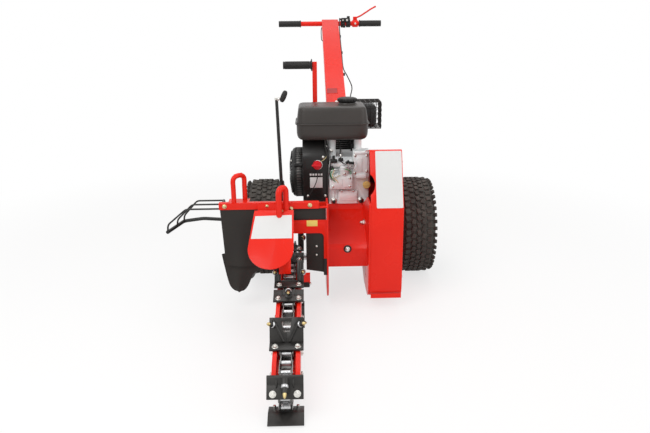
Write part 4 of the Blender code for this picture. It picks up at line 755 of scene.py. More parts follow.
    def loft(self, low: Pair, high: Pair, sections: list[Pair], corner: float, steps: int = 8) -> "Form":
        """Adds an upright body of rounded-rectangle sections between two corners.

        Args:
            low: the corner of least X and Y.
            high: the corner of most X and Y.
            sections: (height, inset) pairs from the foot to the top.
            corner: the corner radius of a section with no inset.
            steps: how many faces a corner has.

        Returns:
            The form.
        """
        part = bmesh.new()
        rings = []
        for height, inset in sections:
            radius = max(corner - inset, corner / 4)
            x0, y0, x1, y1 = low[0] + inset, low[1] + inset, high[0] - inset, high[1] - inset
            outline = rounded(
                [(x0, y0, radius), (x1, y0, radius), (x1, y1, radius), (x0, y1, radius)], steps
            )
            rings.append([part.verts.new((x, y, height)) for x, y in outline])
        skin(part, rings)
        return self.add(part)

    def copy_of(self, node: str, edge: float, segments: int = 2, sharp: float = 30.0) -> "Form":
        """Adds a solid of the frame with its seams merged and its sharp edges eased.

        Args:
            node: the solid's node.
            edge: the size of the ease.
            segments: how many faces an eased edge has.
            sharp: the angle in degrees past which an edge is eased.

        Returns:
            The form.
        """
        part = bmesh.new()
        part.from_mesh(frame["nodes"][node].data)
        bmesh.ops.remove_doubles(part, verts=part.verts, dist=SEAM_GAP)
        bmesh.ops.dissolve_limit(part, angle_limit=FLAT_ANGLE, verts=part.verts, edges=part.edges)
        if edge:
            rims = [e for e in part.edges if e.is_manifold and e.calc_face_angle(0) > radians(sharp)]
            bmesh.ops.bevel(
                part, geom=rims, offset=edge, segments=segments, profile=0.5, affect="EDGES",
                clamp_overlap=True
            )
        return self.add(part, self.place.inverted(), outwards=False)

    def repeat(self, item: "Form", places: list["Placed"]) -> "Form":
        """Adds copies of an item, through Geometry Nodes, in the finish in use."""
        return self.take(scattered(item, places, self.finishes[self.index]))

    def ring_of(
        self, item: "Form", count: int, radius: float, centre: Place, direction: Vector, phase: float = 0.0
    ) -> "Form":
        """Adds copies of an item round a circle; the item's X points outwards and its Z along the axis."""
        turn = Matrix.Translation(Vector(centre)) @ turn_to(direction) @ Matrix.Rotation(phase, 4, "Z")
        return self.take(ringed(item, count, radius, self.finishes[self.index]), turn)

    def take(self, mesh: bpy.types.Mesh, turn: Matrix = TO_AXIS["Z"]) -> "Form":
        """Takes in a finished mesh.

        Args:
            mesh: the mesh, which is removed.
            turn: moves the mesh to its place.

        Returns:
            The form.
        """
        part = bmesh.new()
        part.from_mesh(mesh)
        bpy.data.meshes.remove(mesh)
        return self.add(part, turn)

    def piece(self, name: str, slot: str, body: str = "frame", sharp: float = 35.0) -> None:
        """Makes the form a piece of the object.

        Args:
            name: the piece's name.
            slot: the record's material slot, which has the name of the node that the piece stands for.
            body: the body that it rides on.
            sharp: the angle in degrees past which an edge is shown sharp.
        """
        mesh = bpy.data.meshes.new(name)
        self.mesh.to_mesh(mesh)
        self.mesh.free()
        for finish in self.finishes:
            mesh.materials.append(finish.material())
        mesh.set_sharp_from_angle(angle=radians(sharp))
        obj = bpy.data.objects.new(name, mesh)
        SCENE.objects.link(obj)
        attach(obj, body)
        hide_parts(slot)
        LOG.info("%s: %d faces on %s", name, len(mesh.polygons), body)


@dataclass
class Placed:
    """Where a copy of an item stands, how it is turned and how large it is."""

    place: Vector
    turn: Matrix
    size: float = 1.0


def tree_start(name: str, inputs: list[tuple[str, str]]) -> Ends:
    """A new geometry tree with named inputs and one geometry output.

    Args:
        name: the tree's name.
        inputs: each input's name and type of socket.

    Returns:
        The tree, its input node and its output node.
    """
    tree = bpy.data.node_groups.new(name, "GeometryNodeTree")
    tree.interface.new_socket("Geometry", in_out="INPUT", socket_type="NodeSocketGeometry")
    for label, kind in inputs:
        tree.interface.new_socket(label, in_out="INPUT", socket_type=kind)
    tree.interface.new_socket("Geometry", in_out="OUTPUT", socket_type="NodeSocketGeometry")
    return tree, tree.nodes.new("NodeGroupInput"), tree.nodes.new("NodeGroupOutput")


def tree_end(tree: Tree, start: Node, end: Node, copies: Node) -> None:
    """Makes the copies real and gives them their finish.

    Args:
        tree: the geometry tree.
        start: its input node.
        end: its output node.
        copies: the node that puts out the copies.
    """
    real = node_of(tree, "GeometryNodeRealizeInstances")
    dressed = node_of(tree, "GeometryNodeSetMaterial")
    wire(
        tree, (copies, "Instances", real, "Geometry"), (real, "Geometry", dressed, "Geometry"),
        (start, "Finish", dressed, "Material"), (dressed, "Geometry", end, "Geometry"),
    )


def scatter_tree() -> Tree:
    """Puts the item on every point, turned and sized by the point's own attributes.

    Returns:
        The geometry tree.
    """
    tree, start, end = tree_start(
        "copies on points",
        [
            ("Item", "NodeSocketObject"), ("Overall Size", "NodeSocketFloat"),
            ("Finish", "NodeSocketMaterial"),
        ],
    )
    item = node_of(tree, "GeometryNodeObjectInfo")
    copies = node_of(tree, "GeometryNodeInstanceOnPoints")
    turn = node_of(tree, "GeometryNodeInputNamedAttribute", {"Name": "turn"}, data_type="FLOAT_VECTOR")
    euler = node_of(tree, "FunctionNodeEulerToRotation")
    size = node_of(tree, "GeometryNodeInputNamedAttribute", {"Name": "size"}, data_type="FLOAT")
    product = node_of(tree, "ShaderNodeMath", operation="MULTIPLY")
    wire(
        tree, (start, "Geometry", copies, "Points"), (start, "Item", item, "Object"),
        (item, "Geometry", copies, "Instance"), (turn, "Attribute", euler, "Euler"),
        (euler, "Rotation", copies, "Rotation"), (size, "Attribute", product, 0),
        (start, "Overall Size", product, 1), (product, "Value", copies, "Scale"),
    )
    tree_end(tree, start, end, copies)
    return tree


def ring_tree() -> Tree:
    """Puts the item round a circle, each copy turned with its place on it.

    Returns:
        The geometry tree.
    """
    tree, start, end = tree_start(
        "copies round a circle",
        [
            ("Item", "NodeSocketObject"), ("Count", "NodeSocketInt"),
            ("Radius", "NodeSocketFloat"), ("Finish", "NodeSocketMaterial"),
        ],
    )
    item = node_of(tree, "GeometryNodeObjectInfo")
    circle = node_of(tree, "GeometryNodeMeshCircle")
    copies = node_of(tree, "GeometryNodeInstanceOnPoints")
    index = node_of(tree, "GeometryNodeInputIndex")
    step = node_of(tree, "ShaderNodeMath", {0: 2 * pi}, operation="DIVIDE")
    angle = node_of(tree, "ShaderNodeMath", operation="MULTIPLY")
    euler = node_of(tree, "ShaderNodeCombineXYZ")
    rotation = node_of(tree, "FunctionNodeEulerToRotation")
    wire(
        tree, (start, "Count", circle, "Vertices"), (start, "Radius", circle, "Radius"),
        (circle, "Mesh", copies, "Points"), (start, "Item", item, "Object"),
        (item, "Geometry", copies, "Instance"), (start, "Count", step, 1),
        (index, "Index", angle, 0), (step, "Value", angle, 1), (angle, "Value", euler, "Z"),
        (euler, "Vector", rotation, "Euler"), (rotation, "Rotation", copies, "Rotation"),
    )
    tree_end(tree, start, end, copies)
    return tree


TREES: dict[str, Tree] = {}


def grown(
    host_mesh: bpy.types.Mesh, item: Form, key: str, maker: Callable[[], Tree], finish: Finish,
    values: dict,
) -> bpy.types.Mesh:
    """Runs a geometry tree on a host mesh and returns the plain mesh that it gives.

    Args:
        host_mesh: the points that the tree starts from.
        item: what is repeated, made at the world's origin.
        key: the tree's name in the store of trees.
        maker: the function that builds the tree.
        finish: the finish of the copies.
        values: the tree's other inputs by name.

    Returns:
        The mesh of all the copies.
    """
    if key not in TREES:
        TREES[key] = maker()
    tree = TREES[key]
    item_mesh = bpy.data.meshes.new("item")
    item.mesh.to_mesh(item_mesh)
    item_object = bpy.data.objects.new("item", item_mesh)
    host = bpy.data.objects.new("host", host_mesh)
    for obj in (item_object, host):
        SCENE.objects.link(obj)
    modifier = host.modifiers.new("copies", "NODES")
    modifier.node_group = tree
    sockets = {
        socket.name: socket.identifier for socket in tree.interface.items_tree if socket.in_out == "INPUT"
    }
    for label, value in {"Item": item_object, "Finish": finish.material(), **values}.items():
        modifier[sockets[label]] = value
    bpy.context.view_layer.update()
    seen = host.evaluated_get(bpy.context.evaluated_depsgraph_get())
    result = bpy.data.meshes.new_from_object(seen)
    for obj in (host, item_object):
        mesh = obj.data
        bpy.data.objects.remove(obj, do_unlink=True)
        bpy.data.meshes.remove(mesh)
    return result


def scattered(item: Form, places: list[Placed], finish: Finish) -> bpy.types.Mesh:
    """Copies of an item at the given places.

    Args:
        item: what is copied.
        places: where the copies stand.
        finish: the finish of the copies.

    Returns:
        The mesh of all the copies.
    """
    mesh = bpy.data.meshes.new("places")
    mesh.from_pydata([tuple(placed.place) for placed in places], [], [])
    mesh.attributes.new("turn", "FLOAT_VECTOR", "POINT")
    mesh.attributes.new("size", "FLOAT", "POINT")
    turns, sizes = mesh.attributes["turn"].data, mesh.attributes["size"].data
    for i, placed in enumerate(places):
        turns[i].vector = placed.turn.to_euler("XYZ")
        sizes[i].value = placed.size
    return grown(mesh, item, "scatter", scatter_tree, finish, {"Overall Size": 1.0})


def ringed(item: Form, count: int, radius: float, finish: Finish) -> bpy.types.Mesh:
    """Copies of an item round a circle about Z."""
    mesh = bpy.data.meshes.new("centre")
    return grown(mesh, item, "ring", ring_tree, finish, {"Count": count, "Radius": radius})


def loose(finish: Finish) -> Form:
    """A form at the world's origin, for an item that is repeated."""
    return Form(TO_AXIS["Z"]).use(finish)


def hex_bolt(washer: bool = True) -> Form:
    """A hexagon bolt head of unit size on its washer, with its axis along Z and its seat at 0.

    Args:
        washer: whether it has a washer.

    Returns:
        The bolt.
    """
    item = loose(ZINC)
    foot = 0.0
    if washer:
        item.lathe(CENTRE, UP, button(1.1, 0.12, 1.02, 0.18), 20)
        foot = 0.18
    item.lathe(CENTRE, UP, [(0, foot), (0.86, foot), (0.86, 0.66), (0.74, 0.76), (0, 0.76)], 6)
    item.lathe(CENTRE, UP, [(0, 0.74), (0.42, 0.74), (0.42, 0.95), (0.36, 1.0), (0, 1.0)], 12)
    return item


def bolts(
    form: Form, rows: list[tuple[Vector, float, list[Point]]], finish: Finish = ZINC,
    washer: bool = True,
) -> Form:
    """Adds hexagon bolts in (way, radius, seats) rows."""
    spots = [Placed(Vector(seat), turn_to(way), radius) for way, radius, seats in rows for seat in seats]
    return form.use(finish).repeat(hex_bolt(washer), spots)


@dataclass
class Wheel:
    """A wheel: turf tyre on a black rim that is bolted to its hub."""

    side: str
    tyre_radius: float = AXLE_Z
    carcass_radius: float = 0.1968
    shoulder_x: float = 0.06
    tyre_half: float = 0.073
    bead_radius: float = 0.1035
    rim_half: float = 0.0612
    hub_radius: float = 0.028
    hub_half: float = 0.0498
    bore: float = 0.0131
    blocks: int = 44
    crown_half: float = 0.04
    shoulder_drop: float = 0.0022

    def centre(self) -> Vector:
        """The middle of the wheel, in the machine's coordinates."""
        return joint_place(f"{self.side}_wheel_spin") - ORIGIN

    def block(self, wide: float, long: float, tall: float, skew: float, lean: float) -> Form:
        """A tread block whose X points outwards, with its length round the tyre.

        Args:
            wide: its width along the axle.
            long: its length round the tyre.
            tall: how far it stands out of the carcass.
            skew: its turn on the tread.
            lean: its tilt towards the sidewall.

        Returns:
            The block, with its top at X 0.
        """
        item = loose(TYRE)
        turn = Matrix.Rotation(lean, 4, "Y") @ Matrix.Rotation(skew, 4, "X")
        item.box((-tall - 0.004, -long / 2, -wide / 2), (0, long / 2, wide / 2), 0.0013, turn, 1)
        return item

    def tyre(self) -> None:
        """Carcass with its sidewall ribs, and the tread's rows of blocks."""
        half = [
            (self.carcass_radius, 0.0), (self.carcass_radius - 0.0004, 0.03), (0.194, 0.047),
            (0.1885, self.shoulder_x), (0.18, 0.0675), (0.17, 0.0708), (0.1685, 0.0722), (0.166, 0.0722),
            (0.1645, 0.0712), (0.152, self.tyre_half), (0.14, 0.0722), (0.1385, 0.0734), (0.136, 0.0732),
            (0.1345, 0.0712), (0.124, 0.0672), (0.115, 0.0608), (0.1105, 0.057), (self.bead_radius, 0.0548),
        ]
        inner = [(0.1035, 0.044), (0.125, 0.056), (0.15, 0.0625), (0.174, 0.058), (0.186, 0.03)]
        profile = [(r, -x) for r, x in reversed(half)] + half[1:]
        profile += inner + [(r, -x) for r, x in reversed(inner)]
        form = Form().use(TYRE).lathe(self.centre(), RIGHT, profile, 96, ring=True)
        step = 2 * pi / self.blocks
        rows = [
            (0.0, 0.015, 0.0205, 0.0062, 0.3, 0.0, 0.0),
            (0.0205, 0.0165, 0.019, 0.0062, -0.3, 0.0, 0.5),
            (-0.0205, 0.0165, 0.019, 0.0062, -0.3, 0.0, 0.5),
            (0.043, 0.019, 0.0185, 0.006, 0.15, 0.16, 0.0),
            (-0.043, 0.019, 0.0185, 0.006, 0.15, -0.16, 0.0),
        ]
        for across, wide, long, tall, skew, lean, phase in rows:
            drop = self.shoulder_drop if abs(across) > self.crown_half else 0.0
            item = self.block(wide, long, tall, skew, lean)
            place = self.centre() + RIGHT * across
            form.ring_of(item, self.blocks, self.tyre_radius - drop, place, RIGHT, phase * step)
        for sign in (1, -1):
            item = self.block(0.0165, 0.015, 0.005, 0.0, sign * 0.98)
            place = self.centre() + RIGHT * sign * (self.shoulder_x + 0.004)
            form.ring_of(item, self.blocks, self.tyre_radius - 0.012, place, RIGHT, step / 2)
        form.piece(f"{self.side}_turf_tyre", f"{self.side}_tyre", f"{self.side}_wheel", 28)

    def rim(self) -> None:
        """Two-part pressed rim with its hub, wheel bolts and valve."""
        outside = 1 if self.side == "right" else -1
        lip, wall, web = self.rim_half, 0.0034, 0.0035
        profile = [
            (0.1112, lip - 0.0012), (0.112, lip), (0.1085, lip), (0.1005, lip - 0.0022),
            (0.0985, lip - 0.008),
            (0.098, 0.026), (0.093, 0.018), (0.0925, web + 0.004), (0.0895, web), (0.04, web),
            (self.hub_radius + 0.002, web + 0.002), (self.hub_radius, web + 0.006),
            (self.hub_radius, self.hub_half - 0.002),
            (self.hub_radius - 0.002, self.hub_half), (self.bore, self.hub_half),
        ]
        back = [(r, -x) for r, x in reversed(profile)]
        seat = [
            (0.102, -lip + wall), (0.1018, -0.03), (0.0965, -0.022), (0.0965, 0.022), (0.1018, 0.03),
            (0.102, lip - wall),
        ]
        form = Form().use(BLACK).lathe(self.centre(), RIGHT, profile + back + seat, 72, ring=True)
        form.use(ZINC)
        way = RIGHT * outside
        nut = loose(ZINC)
        nut.lathe(
            CENTRE, UP,
            [
                (0, 0), (0.0118, 0), (0.0118, 0.0015), (0.0098, 0.0018), (0.0098, 0.0088), (0.0084, 0.01),
                (0, 0.01),
            ],
            6,
        )
        nut.lathe(
            CENTRE, UP, [(0, 0.009), (0.0048, 0.009), (0.0048, 0.015), (0.0042, 0.0158), (0, 0.0158)], 14
        )
        form.ring_of(nut, 4, 0.056, self.centre() + way * (web + 0.0002), way, pi / 4)
        form.use(GRIP).rod(
            self.centre() + Vector((outside * (web + 0.001), 0.0, 0.079)),
            self.centre() + Vector((outside * 0.034, 0.0, 0.084)), 0.0042, 0.0036, 0.0008, 16,
        )
        form.piece(f"{self.side}_pressed_rim", f"{self.side}_rim", f"{self.side}_wheel")

    def build(self) -> None:
        """Makes the tyre and the rim."""
        self.tyre()
        self.rim()


class ChainPath:
    """The chain's pitch line in the boom's own plane: head at the origin, tail towards -Y."""

    pitch = 0.0414
    links = 44
    teeth = 8
    tail_radius = 0.04
    link_height = 0.022
    nose_angle = radians(134)

    def __init__(self) -> None:
        """Works the path out from the head and tail axes of the frame."""
        self.head = self.pitch / (2 * sin(pi / self.teeth))
        self.head_arc = self.pitch * self.teeth / (2 * pi)
        self.tail_y = -(TAIL - Vector((TAIL.x, HEAD.y, HEAD.z))).length
        self.lean = acos((self.head - self.tail_radius) / -self.tail_y)
        self.run = -self.tail_y * sin(self.lean)
        self.nose_arc = 2 * self.tail_radius * self.lean

    def at(self, distance: float) -> tuple[Vector, float]:
        """The point and the outward angle at a distance along the chain.

        Args:
            distance: the distance from the path's start.

        Returns:
            The point and the angle.
        """
        distance %= self.links * self.pitch
        top, foot = pi - self.lean, pi + self.lean
        tail = Vector((self.tail_y, 0))
        if distance < self.run:
            way = Vector((cos(top), sin(top)))
            return way * self.head + Vector((-way.y, way.x)) * distance, top
        distance -= self.run
        if distance < self.nose_arc:
            angle = top + distance / self.tail_radius
            return tail + Vector((cos(angle), sin(angle))) * self.tail_radius, angle
        distance -= self.nose_arc
        if distance < self.run:
            way = Vector((cos(foot), sin(foot)))
            return tail + way * self.tail_radius + Vector((-way.y, way.x)) * distance, foot
        angle = foot + (distance - self.run) / self.head_arc
        return Vector((cos(angle), sin(angle))) * self.head, angle

    def nose_link(self) -> float:
        """Distance along the chain to the middle of the link that lies round the nose."""
        return self.run + (self.nose_angle - (pi - self.lean)) * self.tail_radius

    def pin(self, number: int) -> Vector:
        """The place of a pin, counted from the link at the nose."""
        return self.at(self.nose_link() + (number + 0.5) * self.pitch)[0]

    def link(self, number: int) -> tuple[Vector, float]:
        """The middle and the outward angle of a link.

        Args:
            number: the link's number, counted from the one at the nose.

        Returns:
            The middle and the angle.
        """
        first, second = self.pin(number - 1), self.pin(number)
        chord = second - first
        return (first + second) / 2, atan2(chord.y, chord.x) - pi / 2

    def seat(self, number: int, lead: float, heel: float) -> float:
        """Height above a link's line at which a flat plate clears the chain under it.

        Args:
            number: the link that carries the plate.
            lead: how far the plate reaches ahead.
            heel: how far it reaches behind.

        Returns:
            The height.
        """
        place, angle = self.link(number)
        out, along = Vector((cos(angle), sin(angle))), Vector((-sin(angle), cos(angle)))
        height = self.link_height / 2
        middle = self.nose_link() + number * self.pitch
        for step in range(-20, 21):
            point, way = self.at(middle + step * self.pitch / 10)
            edge = point + Vector((cos(way), sin(way))) * self.link_height / 2 - place
            if -lead <= edge.dot(along) <= heel:
                height = max(height, edge.dot(out))
        return height + 0.0003


PATH = ChainPath()
CHAIN_X = TAIL.x - AXLE.x


@dataclass
class DiggingChain:
    """The roller chain with its side plates and pins."""

    inner_x: float = 0.0138
    plate: float = 0.0027
    outer_x: float = 0.0168
    pin_end: float = 0.0205
    roller: float = 0.0075
    waist: float = 0.0082

    def side_plate(self, start: float) -> Form:
        """A waisted link plate on each side, with X across, Y along the chain and Z outwards.

        Args:
            start: how far its inner faces lie from the chain's middle.

        Returns:
            Both plates.
        """
        half, end = PATH.pitch / 2, PATH.link_height / 2
        outline = arc((half, 0), end - 0.0004, -pi / 2, pi / 2, 7) + [(0.0, self.waist)]
        outline += arc((-half, 0), end - 0.0004, pi / 2, 3 * pi / 2, 7) + [(0.0, -self.waist)]
        item = loose(LINK)
        for low in (start, -start - self.plate):
            item.slab(outline, "X", low, low + self.plate, 0.0005, 1)
        return item

    def pins(self) -> Form:
        """A roller on its pin, whose ends are riveted over.

        Returns:
            The pin with its roller.
        """
        item = loose(STEEL)
        item.rod(
            (-self.inner_x + 0.0002, 0, 0), (self.inner_x - 0.0002, 0, 0), self.roller, None, 0.0006, 18
        )
        for sign in (-1, 1):
            item.rod((sign * 0.01, 0, 0), (sign * self.pin_end, 0, 0), 0.0046, 0.0042, 0.0008, 14)
        return item

    def build(self) -> None:
        """Places every link and every pin along the path."""
        form = Form(BOOM)
        inner, outer, pins = [], [], []
        for number in range(PATH.links):
            place, angle = PATH.link(number)
            turn = Matrix.Rotation(angle - pi / 2, 4, "X")
            spot = Placed(Vector((CHAIN_X, *place)), turn)
            (inner if number % 2 else outer).append(spot)
            pins.append(Placed(Vector((CHAIN_X, *PATH.pin(number))), turn))
        form.use(LINK).repeat(self.side_plate(self.inner_x), inner)
        form.use(LINK).repeat(self.side_plate(self.outer_x), outer)
        form.use(STEEL).repeat(self.pins(), pins)
        form.piece("roller_chain", "digging_chain", "boom")


class Cut(Enum):
    """The kinds of cutter on the chain."""

    CENTRE = "centre"
    SCRAPER = "scraper"
    SIDE = "side"
    FORK = "fork"


@dataclass
class Cutter:
    """A bent plate bolted over the chain, with the teeth of its kind."""

    number: int
    link: int
    kind: Cut
    plate: float = 0.006
    half: float = 0.05
    lead: float = 0.024
    heel: float = 0.016
    trail: float = 0.056
    tooth_x: float = 0.047
    tooth_radius: float = 0.01
    bolt_x: float = 0.033
    bolt_y: float = -0.0105
    bolt_radius: float = 0.0088

    def place(self) -> Matrix:
        """The cutter's own coordinates: X across, Y along the chain, Z outwards."""
        place, angle = PATH.link(self.link)
        return BOOM @ Matrix.Translation((CHAIN_X, *place)) @ Matrix.Rotation(angle - pi / 2, 4, "X")

    def tooth(self, form: Form, root: Vector, tip: Vector) -> None:
        """A conical pick: shank, polished collar and a hard tip.

        Args:
            form: the form that takes it.
            root: the middle of its foot.
            tip: the end of its tip.
        """
        way, end, big = (tip - root).normalized(), (tip - root).length, self.tooth_radius
        for finish, sides, profile in (
            (FORGED, 24, [(0, -0.08), (1, -0.08), (1, 0.4), (0.94, 0.44), (0, 0.44)]),
            (STEEL, 28, [(0, 0.34), (1.02, 0.35), (1.06, 0.42), (1.0, 0.48), (0.86, 0.52), (0, 0.52)]),
            (FORGED, 24, [(0, 0.5), (0.86, 0.5), (0.74, 0.66), (0.6, 0.84), (0, 0.84)]),
            (CARBIDE, 20, [(0, 0.82), (0.58, 0.82), (0.54, 0.92), (0.4, 1.05), (0.14, 1.14), (0, 1.15)]),
        ):
            form.use(finish).lathe(root, way, [(big * r, end * along) for r, along in profile], sides)

    def profile(self, seat: float, rise: float, trail: float) -> Outline:
        """The bent plate's side view.

        Args:
            seat: the height of the plate's foot.
            rise: how far its trailing end rises.
            trail: how far that end reaches back.

        Returns:
            The outline.
        """
        return rounded(
            [
                (-self.lead, seat, 0), (self.heel, seat, 0.006), (trail, seat + rise, 0),
                (trail - self.plate, seat + rise + self.plate / 2, 0),
                (self.heel - self.plate / 2, seat + self.plate, 0.004), (-self.lead, seat + self.plate, 0),
            ],
            4,
        )

    def centre_form(self, form: Form, seat: float) -> None:
        """A short plate with a ribbed holder for one tooth in its middle.

        Args:
            form: the form that takes it.
            seat: the height of the plate's foot.
        """
        trail = self.heel + 0.024
        form.use(FORGED).slab(self.profile(seat, 0.008, trail), "X", -self.half, self.half, 0.0012)
        top = seat + self.plate
        form.slab(
            [
                (-0.01, top - 0.001), (0.032, top - 0.001), (0.034, top + 0.01), (0.012, top + 0.016),
                (-0.006, top + 0.006),
            ],
            "X", -0.011, 0.011, 0.0025,
        )
        for sign in (-1, 1):
            wing = [(0.004, top - 0.001), (0.03, top - 0.001), (0.026, top + 0.006), (0.01, top + 0.005)]
            low = sign * 0.021
            form.slab(wing, "X", min(low, low + sign * 0.004), max(low, low + sign * 0.004), 0.001)
        self.tooth(form, Vector((0, 0.026, seat + 0.016)), Vector((0, -0.018, seat + 0.0315)))

    def scraper_form(self, form: Form, seat: float) -> None:
        """A plate whose trailing edge has its corners cut off, with a raised grip on its back.

        Args:
            form: the form that takes it.
            seat: the height of the plate's foot.
        """
        low, high = -self.half, self.half
        form.use(FORGED).slab(self.profile(seat, 0.0215, self.trail), "X", low, high, 0.0012)
        form.slab(self.profile(seat + 0.0058, 0.008, 0.03), "X", low * 0.55, high * 0.55, 0.0012)

    def side_form(self, form: Form, seat: float) -> None:
        """A plate that rises to a tooth at each upper corner, with ribs that meet in its middle.

        Args:
            form: the form that takes it.
            seat: the height of the plate's foot.
        """
        fork = self.kind is Cut.FORK
        rise = 0.062
        slope = atan2(rise, self.trail - self.heel)
        length = (self.trail - self.heel) / cos(slope)
        form.use(FORGED).slab(
            [
                (-self.lead, seat), (self.heel, seat), (self.heel, seat + self.plate),
                (-self.lead, seat + self.plate),
            ],
            "X", -self.half, self.half, 0.0014,
        )
        wall = Matrix.Translation((0, self.heel, seat)) @ Matrix.Rotation(slope, 4, "X")
        form.place = form.place @ wall
        half, middle = self.half, length * 0.42
        if fork:
            arm = [(0.028, -0.004), (half, -0.004), (half, length), (0.028, length)]
            tie = [(-0.03, -0.004), (0.03, -0.004), (0.026, 0.006), (-0.026, 0.006)]
            edge, tie_low, tie_high = 0.0014, -0.001, self.plate
            rib = [(0.04, length - 0.006, 0.009), (0.038, length * 0.5, 0.0085), (0.036, 0.004, 0.007)]
            root, tip = (self.tooth_x, 0.038, 0.024), (self.tooth_x, 0.01, 0.044)
        else:
            arm = [
                (0.0, -0.004), (half, -0.004), (half, length), (0.016, length), (0.01, middle), (0.0, middle)
            ]
            tie = [
                (-0.018, length - 0.012), (0.018, length - 0.012), (0.02, length - 0.001),
                (-0.02, length - 0.001),
            ]
            edge, tie_low, tie_high = 0.001, 0.0, self.plate - 0.0006
            rib = [(0.04, length - 0.006, 0.01), (0.024, length * 0.5, 0.009), (0.009, 0.004, 0.007)]
            root, tip = (0.032, 0.044, 0.044), (0.0535, 0.03, 0.058)
        for sign in (-1, 1):
            outline = [(sign * x, y) for x, y in arm]
            form.slab(outline[::sign], "Z", -0.001, self.plate, edge)
        form.slab(tie, "Z", tie_low, tie_high, 0.001)
        for sign in (-1, 1):
            form.wire([(sign * x, y, z) for x, y, z in rib], 0.0042, 10, 4)
        form.place = form.place @ wall.inverted()
        for sign in (-1, 1):
            ends = [Vector((sign * x, y, seat + z)) for x, y, z in (root, tip)]
            self.tooth(form, *ends)

    def build(self) -> None:
        """Makes the cutter of this kind with its two bolts."""
        form = Form(self.place())
        seat = PATH.seat(self.link, self.lead, self.heel)
        makers = {Cut.CENTRE: self.centre_form, Cut.SCRAPER: self.scraper_form}
        makers.get(self.kind, self.side_form)(form, seat)
        spots = [(sign * self.bolt_x, self.bolt_y) for sign in (-1, 1)]
        bolts(form, [(UP, self.bolt_radius, [(*spot, seat + self.plate) for spot in spots])])
        for spot in spots:
            form.use(ZINC).rod((*spot, seat - 0.009), (*spot, seat + 0.001), 0.0048, None, 0.0008, 12)
        name = f"{self.kind.value}_cutter_{self.number}"
        form.piece(name, f"cutter_{self.number}", "boom")


@dataclass
class Boom:
    """The digging boom: red bar with its rails, the chain, the cutters and the tail roller."""

    order: tuple[tuple[int, Cut], ...] = (
        (0, Cut.CENTRE), (2, Cut.SCRAPER), (-4, Cut.SIDE), (-10, Cut.CENTRE),
        (-12, Cut.FORK), (-16, Cut.CENTRE), (-18, Cut.FORK), (15, Cut.SIDE),
    )

    def bar(self) -> None:
        """The welded bar with the bolts of its wear rails, dark strips of painted shade on its floor and its
        tension lug.
        """
        form = Form(BOOM).use(RED).copy_of("boom_bar", 0.0008)
        for i in range(6):
            along = PATH.tail_y + 0.075 + i * 0.095
            bolts(form, [(way, 0.0085, [(CHAIN_X + 0.0402 * way.x, along, 0)]) for way in (LEFT, RIGHT)])
        # Painted shade: dark steel strips on the bar's floor under both runs of the chain darken the floor
        # between the rails.
        form.use(LINK)
        for low, high in ((0.0247, 0.0262), (-0.0262, -0.0247)):
            foot = (CHAIN_X - 0.0203, PATH.tail_y + 0.062, low)
            top = (CHAIN_X + 0.0203, -PATH.head - 0.034, high)
            form.box(foot, top, 0.0004, segments=1)
        stop = (CHAIN_X + 0.07, -0.215, 0.01)
        form.use(PLASTIC).rod((CHAIN_X + 0.0405, *stop[1:]), stop, 0.013, None, 0.002, 24)
        bolts(form, [(RIGHT, 0.006, [stop])])
        form.piece("boom_rail_bar", "boom_bar", "boom")

    def roller(self) -> None:
        """The tail roller with its bearing rings."""
        half, rim = 0.0085, PATH.tail_radius - 0.0078
        form = Form(BOOM).use(STEEL)
        profile = [
            (rim - 0.001, -half), (rim, -half + 0.001), (rim, half - 0.001), (rim - 0.001, half),
            (0.022, half), (0.021, half - 0.0015), (0.0101, half - 0.0015),
        ]
        form.lathe(
            (CHAIN_X, PATH.tail_y, 0), RIGHT,
            profile + [(0.0101, 0.0015 - half), (0.021, 0.0015 - half), (0.022, -half)], 48, ring=True,
        )
        form.piece("tail_wheel", "tail_roller", "boom_tail")

    def build(self) -> None:
        """Makes the bar, the roller, the chain and every cutter."""
        self.bar()
        self.roller()
        DiggingChain().build()
        for number, (link, kind) in enumerate(self.order, start=1):
            Cutter(number, link, kind).build()


